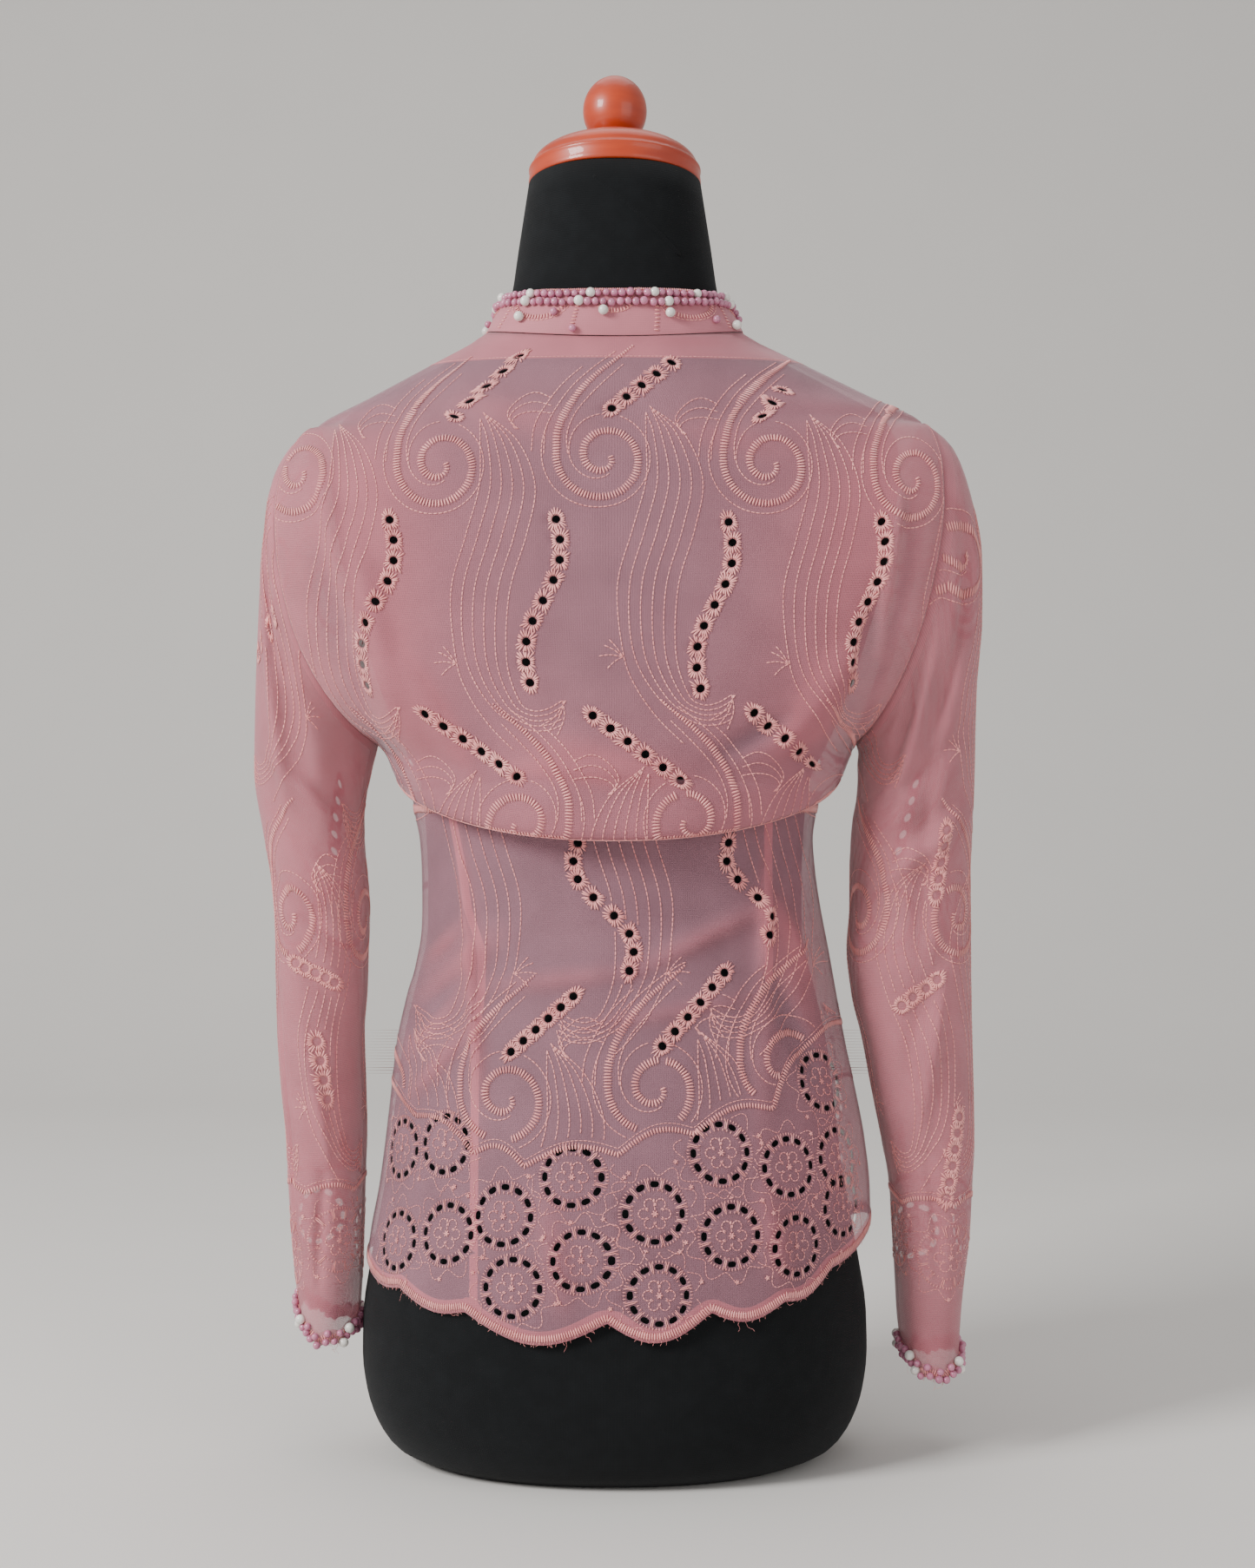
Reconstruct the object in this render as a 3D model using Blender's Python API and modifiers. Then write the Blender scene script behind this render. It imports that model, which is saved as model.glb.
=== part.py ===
"""A long-sleeved kebaya blouse of embroidered voile, worn by a limbless dress form with a domed neck cap.

Metres, +Z up. The blouse's front faces -Y, so +X is the wearer's left. The origin lies on the floor under
the middle of the whole object. Each cloth piece is drawn flat, with its scalloped hem and its eyelets left
open, laid on the rows that the tables below describe, and thickened into a wall.
"""

import math

import bmesh
import bpy
import numpy as np
from mathutils import Vector
from mathutils.geometry import delaunay_2d_cdt

MM = 0.001

# Cloth
CLOTH_WALL = 1.0 * MM
BAND_WALL = 1.6 * MM
SEAM_GAP = 0.4 * MM
CLOTH_CLEARANCE = 2.4 * MM
BAND_CLEARANCE = 0.6 * MM
BAND_FRONT_CLEARANCE = 1.6 * MM
BAND_SEAM = 1.5 * MM
BAND_END = 1.0 * MM
SLEEVE_SEAM = 1.6 * MM
SLEEVE_RADIUS = 50.0 * MM
SLEEVE_SEAM_RADIUS = 30.0 * MM
COLUMNS_ACROSS = 16
HEM_POINTS_BACK = 41
HEM_POINTS_FRONT = 27
CUFF_POINTS = 15
SLEEVE_COLUMNS = 7
EDGE_MARGIN = 7.0 * MM

# Laid flat, a panel's half-width and a degree round a sleeve
PANEL_SPAN = 200.0 * MM
SLEEVE_SPAN = 0.9 * MM

# Worked holes: round eyelets in lines, and slots set in rings above the hem
EYELET_RADIUS = 2.5 * MM
EYELET_SIDES = 6
EYELET_ROOM = 7.0 * MM
SLOT_LENGTH = 6.6 * MM
SLOT_WIDTH = 4.2 * MM
SLOTS_IN_RING = 12
RING_RADIUS = 16.5 * MM

# Where the shoulder seams leave the neck, and the front neckline
NECK_SIDE_X = 77.6 * MM
NECK_SIDE_Z = 704.0 * MM
FRONT_LAP = 9.0 * MM
LAP_DEPTH = 3.0 * MM
LAP_EASE = 50.0 * MM
NECKLINE_ROWS = 9.0

# Neckband
BAND_TOP_BACK = 721.5 * MM
BAND_TOP_SIDE = 724.5 * MM
BAND_TOP_FRONT = 632.0 * MM
BAND_FULLNESS = 1.2 * MM

# Sections are superellipses: 1 gives an ellipse, less gives squarer corners.
SECTION_POWER = 0.92
HEIGHT_POWER = 1.4
SLEEVE_POWER = 0.86
SLOPE_STEP = 4.0 * MM

# Dress form
FORM_COLUMNS = 36
BAND_STEPS = 9
NECK_TOP = 797.0 * MM
CAP_TILT = math.radians(6.0)
CAP_RADIUS = 54.5 * MM
CAP_RIM = 12.0 * MM
CAP_RISE = 31.0 * MM
CAP_STEP_RADIUS = 17.0 * MM
FINIAL_RADIUS = 20.3 * MM
FINIAL_HEIGHT = 41.0 * MM
FINIAL_FOOT = 14.0 * MM
TURNED_STEPS = 24

# The form, from the flat base up to the neck: height, and its reach to the sides, the back and the front
FORM_ROWS = (
    (0.0000, 0.1200, 0.0860, 0.0810),
    (0.0080, 0.1385, 0.0995, 0.0940),
    (0.0240, 0.1500, 0.1090, 0.1030),
    (0.0420, 0.1560, 0.1135, 0.1075),
    (0.0650, 0.1588, 0.1160, 0.1095),
    (0.0900, 0.1582, 0.1170, 0.1105),
    (0.1250, 0.1530, 0.1165, 0.1100),
    (0.1740, 0.1440, 0.1130, 0.1075),
    (0.2200, 0.1382, 0.1070, 0.1050),
    (0.2570, 0.1335, 0.1000, 0.1025),
    (0.2900, 0.1262, 0.0925, 0.1005),
    (0.3300, 0.1178, 0.0852, 0.0995),
    (0.3600, 0.1178, 0.0852, 0.0998),
    (0.3900, 0.1190, 0.0890, 0.1015),
    (0.4210, 0.1225, 0.0950, 0.1045),
    (0.4500, 0.1365, 0.0985, 0.1090),
    (0.5000, 0.1550, 0.0990, 0.1135),
    (0.5400, 0.1670, 0.0960, 0.1080),
    (0.5800, 0.1755, 0.0905, 0.0950),
    (0.6100, 0.1790, 0.0840, 0.0850),
    (0.6300, 0.1790, 0.0770, 0.0765),
    (0.6420, 0.1750, 0.0728, 0.0722),
    (0.6520, 0.1680, 0.0690, 0.0685),
    (0.6620, 0.1500, 0.0655, 0.0650),
    (0.6740, 0.1270, 0.0618, 0.0620),
    (0.6860, 0.1040, 0.0590, 0.0592),
    (0.6950, 0.0885, 0.0573, 0.0576),
    (0.7040, 0.0755, 0.0566, 0.0568),
    (0.7150, 0.0692, 0.0562, 0.0562),
    (0.7280, 0.0652, 0.0558, 0.0558),
    (0.7570, 0.0608, 0.0545, 0.0545),
    (NECK_TOP, 0.0545, 0.0520, 0.0520),
)

# The armholes: the shoulder tip, the underarm point, how far the seam bows out at the back and the front,
# and how far it reaches to the back and the front
ARMHOLES = {
    "left": dict(top=(0.1860, 0.6450), under=(0.1500, 0.4460), bow=(0.0340, 0.0180), reach=(0.0700, 0.0640)),
    "right": dict(top=(0.1930, 0.6475), under=(0.1520, 0.4470), bow=(0.0210, 0.0160), reach=(0.0690, 0.0640)),
}

# The side seams: height, and how far out the wearer's left and right seams lie
SIDE_SEAM_ROWS = (
    (0.0300, 0.1590, 0.1615),
    (0.1000, 0.1570, 0.1615),
    (0.1250, 0.1560, 0.1612),
    (0.1740, 0.1468, 0.1600),
    (0.2070, 0.1428, 0.1557),
    (0.2570, 0.1372, 0.1450),
    (0.2900, 0.1300, 0.1390),
    (0.3060, 0.1235, 0.1364),
    (0.3230, 0.1215, 0.1330),
    (0.3560, 0.1208, 0.1268),
    (0.3890, 0.1228, 0.1242),
    (0.3980, 0.1250, 0.1260),
    (0.4050, 0.1262, 0.1272),
    (0.4090, 0.1268, 0.1282),
    (0.4120, 0.1275, 0.1295),
    (0.4150, 0.1288, 0.1315),
    (0.4175, 0.1306, 0.1340),
    (0.4200, 0.1328, 0.1368),
    (0.4225, 0.1350, 0.1395),
    (0.4260, 0.1372, 0.1420),
    (0.4320, 0.1405, 0.1450),
    (0.4390, 0.1440, 0.1480),
    (0.4480, 0.1500, 0.1520),
)

# Rows of the blouse's body from the neckline down. A row ends on a seam: at a share of the shoulder's
# length, an angle round the armhole in degrees from its top, or a height on the side seam. The other
# columns are the row's height and reach at the centre back, then at the centre front. Rows 16 to 26 are
# the fold in which the blouse's loose back hangs over the waist.
BODICE_ROWS = (
    ("shoulder", 0.00, 0.6920, 0.0590, 0.6720, 0.0620),
    ("shoulder", 0.18, 0.6865, 0.0615, 0.6640, 0.0640),
    ("shoulder", 0.36, 0.6790, 0.0650, 0.6550, 0.0675),
    ("shoulder", 0.54, 0.6700, 0.0690, 0.6450, 0.0725),
    ("shoulder", 0.72, 0.6600, 0.0735, 0.6340, 0.0780),
    ("shoulder", 1.00, 0.6480, 0.0782, 0.6210, 0.0845),
    ("armhole", 20.0, 0.6345, 0.0835, 0.6075, 0.0905),
    ("armhole", 32.0, 0.6170, 0.0890, 0.5920, 0.0970),
    ("armhole", 50.0, 0.5970, 0.0940, 0.5740, 0.1040),
    ("armhole", 68.0, 0.5750, 0.0985, 0.5540, 0.1110),
    ("armhole", 86.0, 0.5510, 0.1020, 0.5330, 0.1170),
    ("armhole", 104.0, 0.5250, 0.1050, 0.5110, 0.1205),
    ("armhole", 122.0, 0.4970, 0.1075, 0.4890, 0.1210),
    ("armhole", 140.0, 0.4690, 0.1100, 0.4670, 0.1190),
    ("armhole", 157.0, 0.4450, 0.1120, 0.4480, 0.1165),
    ("armhole", 172.0, 0.4270, 0.1135, 0.4340, 0.1145),
    ("side", 0.4390, 0.4100, 0.1142, 0.4250, 0.1130),
    ("side", 0.4320, 0.3960, 0.1136, 0.4195, 0.1122),
    ("side", 0.4260, 0.3890, 0.1118, 0.4155, 0.1115),
    ("side", 0.4225, 0.3868, 0.1088, 0.4125, 0.1110),
    ("side", 0.4200, 0.3905, 0.1056, 0.4095, 0.1106),
    ("side", 0.4175, 0.4040, 0.1034, 0.4065, 0.1102),
    ("side", 0.4150, 0.4180, 0.1020, 0.4035, 0.1098),
    ("side", 0.4120, 0.4240, 0.1004, 0.4000, 0.1093),
    ("side", 0.4090, 0.4185, 0.0985, 0.3960, 0.1088),
    ("side", 0.4050, 0.4040, 0.0965, 0.3910, 0.1081),
    ("side", 0.3980, 0.3900, 0.0935, 0.3850, 0.1073),
    ("side", 0.3850, 0.3760, 0.0905, 0.3740, 0.1058),
    ("side", 0.3650, 0.3580, 0.0882, 0.3580, 0.1045),
    ("side", 0.3420, 0.3370, 0.0880, 0.3380, 0.1040),
    ("side", 0.3160, 0.3130, 0.0908, 0.3150, 0.1043),
    ("side", 0.2880, 0.2870, 0.0962, 0.2890, 0.1055),
    ("side", 0.2580, 0.2590, 0.1028, 0.2610, 0.1072),
    ("side", 0.2280, 0.2300, 0.1085, 0.2320, 0.1090),
    ("side", 0.1980, 0.2010, 0.1135, 0.2030, 0.1108),
    ("side", 0.1680, 0.1720, 0.1172, 0.1740, 0.1125),
    ("side", 0.1400, 0.1450, 0.1195, 0.1470, 0.1138),
    ("side", 0.1120, 0.1180, 0.1208, 0.1190, 0.1147),
    ("side", 0.0860, 0.0910, 0.1213, 0.0910, 0.1152),
    ("side", 0.0600, 0.0650, 0.1215, 0.0650, 0.1154),
)
FOLD_HEIGHT = 0.400
FOLD_BOTTOM_ROW = 17.0
FOLD_TOP_ROW = 26.0
ROWS_FOR_BACK_FOLD_ONLY = (17, 18, 20, 21, 23, 24)
SEAM_TURN = {"shoulder": 90.0, "armhole": 78.0, "side": 90.0}

# Hem scallops, each from its first point to the next row's: x, height, and how far the scallop drops
BACK_HEM = (
    (-0.1620, 0.1480, 0.0030),
    (-0.1300, 0.1290, 0.0060),
    (-0.1010, 0.1140, 0.0080),
    (-0.0570, 0.1110, 0.0140),
    (0.0040, 0.1060, 0.0150),
    (0.0880, 0.1090, 0.0060),
    (0.1290, 0.1170, 0.0060),
    (0.1580, 0.1270, 0.0),
)
FRONT_HEM = (
    (-0.1620, 0.1480, 0.0050),
    (-0.1260, 0.1300, 0.0080),
    (-0.0840, 0.1160, 0.0120),
    (-0.0320, 0.1060, 0.0080),
    (0.0, 0.1040, 0.0080),
    (0.0320, 0.1060, 0.0120),
    (0.0840, 0.1140, 0.0080),
    (0.1260, 0.1200, 0.0050),
    (0.1580, 0.1270, 0.0),
)

# Sleeve rings below the armhole: the outer and inner points, x then z, the reach to the back and the
# front, and how far the ring bows out
SLEEVE_ROWS = {
    "left": (
        (0.1980, 0.6330, 0.1515, 0.4395, 0.0670, 0.0620, 0.0300),
        (0.2080, 0.6050, 0.1535, 0.4320, 0.0635, 0.0595, 0.0230),
        (0.2170, 0.5700, 0.1555, 0.4230, 0.0605, 0.0575, 0.0150),
        (0.2225, 0.5260, 0.1580, 0.4120, 0.0580, 0.0560, 0.0070),
        (0.2255, 0.4770, 0.1595, 0.3970, 0.0560, 0.0545, 0.0020),
        (0.2266, 0.4300, 0.1590, 0.3790, 0.0540, 0.0525, 0.0),
        (0.2215, 0.3930, 0.1570, 0.3600, 0.0525, 0.0510, 0.0),
        (0.2160, 0.3620, 0.1560, 0.3400, 0.0505, 0.0495, 0.0),
        (0.2135, 0.3300, 0.1566, 0.3180, 0.0490, 0.0480, 0.0),
        (0.2130, 0.2960, 0.1572, 0.2920, 0.0475, 0.0465, 0.0),
        (0.2120, 0.2620, 0.1592, 0.2620, 0.0460, 0.0450, 0.0),
        (0.2098, 0.2300, 0.1582, 0.2300, 0.0445, 0.0435, 0.0),
        (0.2068, 0.1990, 0.1575, 0.1990, 0.0430, 0.0420, 0.0),
        (0.2055, 0.1680, 0.1582, 0.1680, 0.0415, 0.0410, 0.0),
        (0.2035, 0.1380, 0.1592, 0.1380, 0.0405, 0.0400, 0.0),
        (0.2008, 0.1100, 0.1600, 0.1100, 0.0395, 0.0390, 0.0),
        (0.1975, 0.0850, 0.1615, 0.0850, 0.0385, 0.0380, 0.0),
        (0.1950, 0.0600, 0.1625, 0.0600, 0.0375, 0.0370, 0.0),
        (0.1940, 0.0400, 0.1630, 0.0400, 0.0370, 0.0365, 0.0),
    ),
    "right": (
        (0.2080, 0.6350, 0.1546, 0.4392, 0.0665, 0.0600, 0.0190),
        (0.2205, 0.6050, 0.1538, 0.4320, 0.0640, 0.0580, 0.0150),
        (0.2285, 0.5680, 0.1540, 0.4225, 0.0610, 0.0575, 0.0100),
        (0.2300, 0.5250, 0.1532, 0.4100, 0.0585, 0.0560, 0.0050),
        (0.2270, 0.4770, 0.1508, 0.3960, 0.0565, 0.0545, 0.0020),
        (0.2262, 0.4300, 0.1495, 0.3790, 0.0550, 0.0530, 0.0),
        (0.2250, 0.3930, 0.1492, 0.3600, 0.0535, 0.0515, 0.0),
        (0.2236, 0.3600, 0.1490, 0.3400, 0.0515, 0.0500, 0.0),
        (0.2240, 0.3260, 0.1472, 0.3160, 0.0500, 0.0485, 0.0),
        (0.2244, 0.2920, 0.1500, 0.2880, 0.0485, 0.0470, 0.0),
        (0.2250, 0.2580, 0.1570, 0.2580, 0.0470, 0.0455, 0.0),
        (0.2258, 0.2260, 0.1630, 0.2260, 0.0455, 0.0440, 0.0),
        (0.2262, 0.1960, 0.1690, 0.1960, 0.0440, 0.0425, 0.0),
        (0.2250, 0.1660, 0.1740, 0.1660, 0.0425, 0.0415, 0.0),
        (0.2232, 0.1370, 0.1760, 0.1370, 0.0415, 0.0405, 0.0),
        (0.2200, 0.1090, 0.1775, 0.1090, 0.0405, 0.0395, 0.0),
        (0.2175, 0.0830, 0.1790, 0.0830, 0.0395, 0.0385, 0.0),
        (0.2162, 0.0570, 0.1820, 0.0570, 0.0385, 0.0375, 0.0),
        (0.2150, 0.0350, 0.1830, 0.0350, 0.0380, 0.0370, 0.0),
    ),
}

# Cuff edges: height at the outer side, at the middle of the back and front, and at the inner side
CUFFS = {"left": (0.0900, 0.0720, 0.0780), "right": (0.0590, 0.0500, 0.0620)}

# Soft folds of the panels, as seen from outside, from one point to another: which panel, x and height at
# each end, half-width, and how far the cloth is raised or, below zero, let down
PANEL_FOLDS = (
    ("back", 0.112, 0.435, 0.150, 0.500, 0.012, 0.0050),
    ("back", 0.140, 0.420, 0.178, 0.560, 0.010, -0.0040),
    ("back", -0.100, 0.440, -0.150, 0.500, 0.012, 0.0050),
    ("back", -0.148, 0.460, -0.176, 0.570, 0.010, -0.0040),
    ("back", -0.030, 0.428, 0.060, 0.445, 0.011, 0.0035),
    ("back", 0.070, 0.330, 0.118, 0.290, 0.009, 0.0045),
    ("back", 0.086, 0.305, 0.126, 0.255, 0.008, 0.0040),
    ("back", -0.094, 0.345, -0.120, 0.270, 0.010, 0.0040),
    ("back", 0.086, 0.380, 0.080, 0.200, 0.007, 0.0020),
    ("back", -0.093, 0.380, -0.088, 0.200, 0.007, 0.0020),
    ("front", 0.120, 0.560, 0.060, 0.500, 0.012, 0.0040),
    ("front", -0.120, 0.560, -0.060, 0.505, 0.012, 0.0040),
    ("front", 0.100, 0.380, 0.118, 0.280, 0.010, 0.0040),
    ("front", -0.100, 0.385, -0.124, 0.275, 0.010, 0.0040),
)

# Soft folds of the sleeves: sleeve, angle round it in degrees and height at each end, half-width, height
SLEEVE_FOLDS = (
    ("right", 62.0, 0.600, 100.0, 0.420, 0.009, -0.0060),
    ("right", 95.0, 0.560, 112.0, 0.400, 0.007, 0.0035),
    ("right", 40.0, 0.420, 120.0, 0.375, 0.010, -0.0035),
    ("right", 60.0, 0.330, 118.0, 0.230, 0.009, -0.0035),
    ("right", 250.0, 0.520, 300.0, 0.420, 0.011, -0.0050),
    ("right", 235.0, 0.360, 300.0, 0.310, 0.010, -0.0040),
    ("left", 80.0, 0.550, 96.0, 0.430, 0.011, -0.0040),
    ("left", 50.0, 0.410, 128.0, 0.370, 0.010, -0.0040),
    ("left", 60.0, 0.330, 120.0, 0.280, 0.010, -0.0035),
    ("left", 240.0, 0.500, 290.0, 0.400, 0.011, -0.0050),
    ("left", 245.0, 0.350, 310.0, 0.300, 0.010, -0.0040),
)

# Lines of eyelets: panel, x and height of the first, the run to the last, the sway to each side, how many
EYELET_LINES = (
    ("back", 0.1333, 0.5770, 0.0133, -0.0980, 0.0060, 9),
    ("back", 0.0342, 0.5765, 0.0150, -0.0970, 0.0060, 9),
    ("back", -0.0679, 0.5750, 0.0170, -0.0990, 0.0060, 9),
    ("back", -0.1594, 0.5765, 0.0160, -0.0960, 0.0050, 9),
    ("back", 0.0215, 0.3850, -0.0306, -0.0760, -0.0090, 8),
    ("back", -0.0684, 0.3850, -0.0230, -0.0560, -0.0060, 6),
    ("back", -0.0347, 0.6750, 0.0362, -0.0300, 0.0, 5),
    ("back", 0.0577, 0.6800, 0.0383, -0.0390, 0.0, 5),
    ("back", -0.1020, 0.6590, 0.0130, -0.0180, 0.0, 3),
    ("back", 0.1098, 0.4614, -0.0531, -0.0370, 0.0, 6),
    ("back", 0.0123, 0.4600, -0.0511, -0.0380, 0.0, 6),
    ("back", -0.0827, 0.4620, -0.0360, -0.0300, 0.0, 5),
    ("back", 0.0240, 0.2940, 0.0370, -0.0330, 0.0, 6),
    ("back", -0.0659, 0.3070, 0.0373, -0.0420, 0.0, 6),
    ("left_front", 0.0450, 0.5100, 0.0130, -0.0960, 0.0060, 8),
    ("left_front", 0.1200, 0.5300, 0.0130, -0.0960, 0.0050, 8),
    ("left_front", 0.0500, 0.3300, 0.0160, -0.0700, 0.0060, 6),
    ("right_front", -0.0450, 0.5100, -0.0130, -0.0960, -0.0060, 8),
    ("right_front", -0.1200, 0.5300, -0.0130, -0.0960, -0.0050, 8),
    ("right_front", -0.0500, 0.3300, -0.0160, -0.0700, -0.0060, 6),
)

# Rings of slots above the hem: panel, x and height of the middle
SLOT_RINGS = (
    ("back", 0.0245, 0.1900),
    ("back", -0.0240, 0.1690),
    ("back", 0.0648, 0.1660),
    ("back", -0.0630, 0.2030),
    ("left_front", 0.0550, 0.1720),
    ("right_front", -0.0550, 0.1720),
)

# Lines of eyelets down the sleeves: sleeve, angle round it and height of the first, the run, how many
SLEEVE_EYELETS = (
    ("left", 70.0, 0.310, 45.0, -0.012, 5),
    ("left", 95.0, 0.262, 8.0, -0.036, 4),
    ("left", 40.0, 0.500, 45.0, 0.022, 4),
    ("right", 70.0, 0.392, 6.0, -0.040, 5),
    ("right", 60.0, 0.215, 22.0, -0.050, 6),
    ("right", 75.0, 0.300, 30.0, -0.016, 4),
    ("left", 250.0, 0.420, 12.0, -0.044, 5),
    ("right", 280.0, 0.420, -12.0, -0.044, 5),
)

# Colours, roughness and, last, the coat of the finish
FINISHES = {
    "voile": ((0.560, 0.205, 0.240), 0.75, 0.0),
    "beaded_band": ((0.600, 0.230, 0.260), 0.60, 0.0),
    "jersey": ((0.006, 0.008, 0.010), 0.80, 0.0),
    "lacquered_wood": ((0.580, 0.090, 0.025), 0.18, 0.8),
}

# The middle of the whole object's box, before it is brought over the origin
BOX_MIDDLE = (-0.0017, -0.0014)


def smooth(column, at):
    """Follow a table's column without overshoot, at places counted in rows."""
    column = np.asarray(column, float)
    at = np.clip(np.asarray(at, float), 0.0, len(column) - 1.0)
    steps = np.diff(column)
    slopes = np.zeros(len(column))
    same_way = steps[:-1] * steps[1:] > 0
    both = np.where(same_way, steps[:-1] + steps[1:], 1.0)
    slopes[1:-1] = np.where(same_way, 2.0 * steps[:-1] * steps[1:] / both, 0.0)
    slopes[0], slopes[-1] = steps[0], steps[-1]
    row = np.minimum(at.astype(int), len(column) - 2)
    t = at - row
    bend_start = slopes[row] * t * (1.0 - t) ** 2
    bend_end = slopes[row + 1] * t ** 2 * (t - 1.0)
    return column[row] + steps[row] * t ** 2 * (3.0 - 2.0 * t) + bend_start + bend_end


def rounded(value, power):
    """A sine or cosine raised to a section's power, keeping its sign."""
    return np.sign(value) * np.abs(value) ** power


def near_segment(u, v, start, end):
    """Distance to a segment, and a weight that fades towards its two ends."""
    along = np.array(end) - np.array(start)
    share = ((u - start[0]) * along[0] + (v - start[1]) * along[1]) / along.dot(along)
    held = np.clip(share, 0.0, 1.0)
    distance = np.hypot(u - start[0] - held * along[0], v - start[1] - held * along[1])
    return distance, 0.35 + 0.65 * np.sin(np.pi * held)


def form_reach(z):
    heights = [row[0] for row in FORM_ROWS]
    return [np.interp(z, heights, [row[column] for row in FORM_ROWS]) for column in (1, 2, 3)]


def size_in_form(points, rise):
    """A point's distance from the axis over the form's reach that way, some way above the point."""
    half_width, back, front = form_reach(points[:, 2] + rise)
    depth = np.where(points[:, 1] > 0, back, front)
    power = 2.0 / SECTION_POWER
    parts = np.abs(points[:, 0] / half_width) ** power + np.abs(points[:, 1] / depth) ** power
    return np.maximum(parts ** (1.0 / power), 1e-6)


def clear_of_form(points, clearance):
    """Move points outwards, level, until they are clear of the form: further where it slopes."""
    distance = np.hypot(points[:, 0], points[:, 1])
    size = size_in_form(points, 0.0)
    surface = distance / size
    slope = (surface - distance / size_in_form(points, SLOPE_STEP)) / SLOPE_STEP
    grow = np.maximum(size, 1.0 + clearance * np.hypot(1.0, slope) / surface) / size
    moved = points.copy()
    moved[:, 0] *= grow
    moved[:, 1] *= grow
    return moved


def form_point(angle, z, clearance=0.0):
    """A point of the form at an angle from the centre back towards the wearer's left."""
    half_width, back, front = form_reach(z)
    depth = np.where(np.cos(angle) > 0, back, front)
    x = half_width * rounded(np.sin(angle), SECTION_POWER)
    y = depth * rounded(np.cos(angle), SECTION_POWER)
    grow = 1.0 + clearance / np.hypot(x, y)
    return np.stack([x * grow, y * grow, z + 0.0 * x], axis=-1)


def armhole_point(hand, angle):
    """The armhole seam on the outward side: 0 degrees is the shoulder tip, 90 the back, 180 the underarm."""
    hole = ARMHOLES[hand]
    top, under = np.array(hole["top"]), np.array(hole["under"])
    rise = rounded(math.cos(math.radians(angle)), SLEEVE_POWER)
    swing = rounded(math.sin(math.radians(angle)), SLEEVE_POWER)
    side = 0 if swing > 0 else 1
    x, z = (top + under) / 2 + (top - under) / 2 * rise
    return np.array([x + hole["bow"][side] * swing ** 2, hole["reach"][side] * swing, z])


def seam_point(row, facing, hand):
    """Where a row of the body ends: on the shoulder seam, the armhole or the side seam."""
    edge, place = row[0], row[1]
    if edge == "armhole":
        return armhole_point(hand, place * facing)
    if edge == "shoulder":
        neck = np.array([NECK_SIDE_X, 0.0, NECK_SIDE_Z])
        point = neck + (armhole_point(hand, 0.0) - neck) * place
    else:
        heights = [seam[0] for seam in SIDE_SEAM_ROWS]
        column = 1 if hand == "left" else 2
        point = np.array([np.interp(place, heights, [seam[column] for seam in SIDE_SEAM_ROWS]), 0.0, place])
    return point + np.array([0.0, facing * SEAM_GAP / 2, 0.0])


SEAMS = {
    (facing, hand): np.array([seam_point(row, facing, hand) for row in BODICE_ROWS])
    for facing in (1, -1)
    for hand in ("left", "right")
}
TURNS = [math.radians(SEAM_TURN[row[0]]) for row in BODICE_ROWS]


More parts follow.
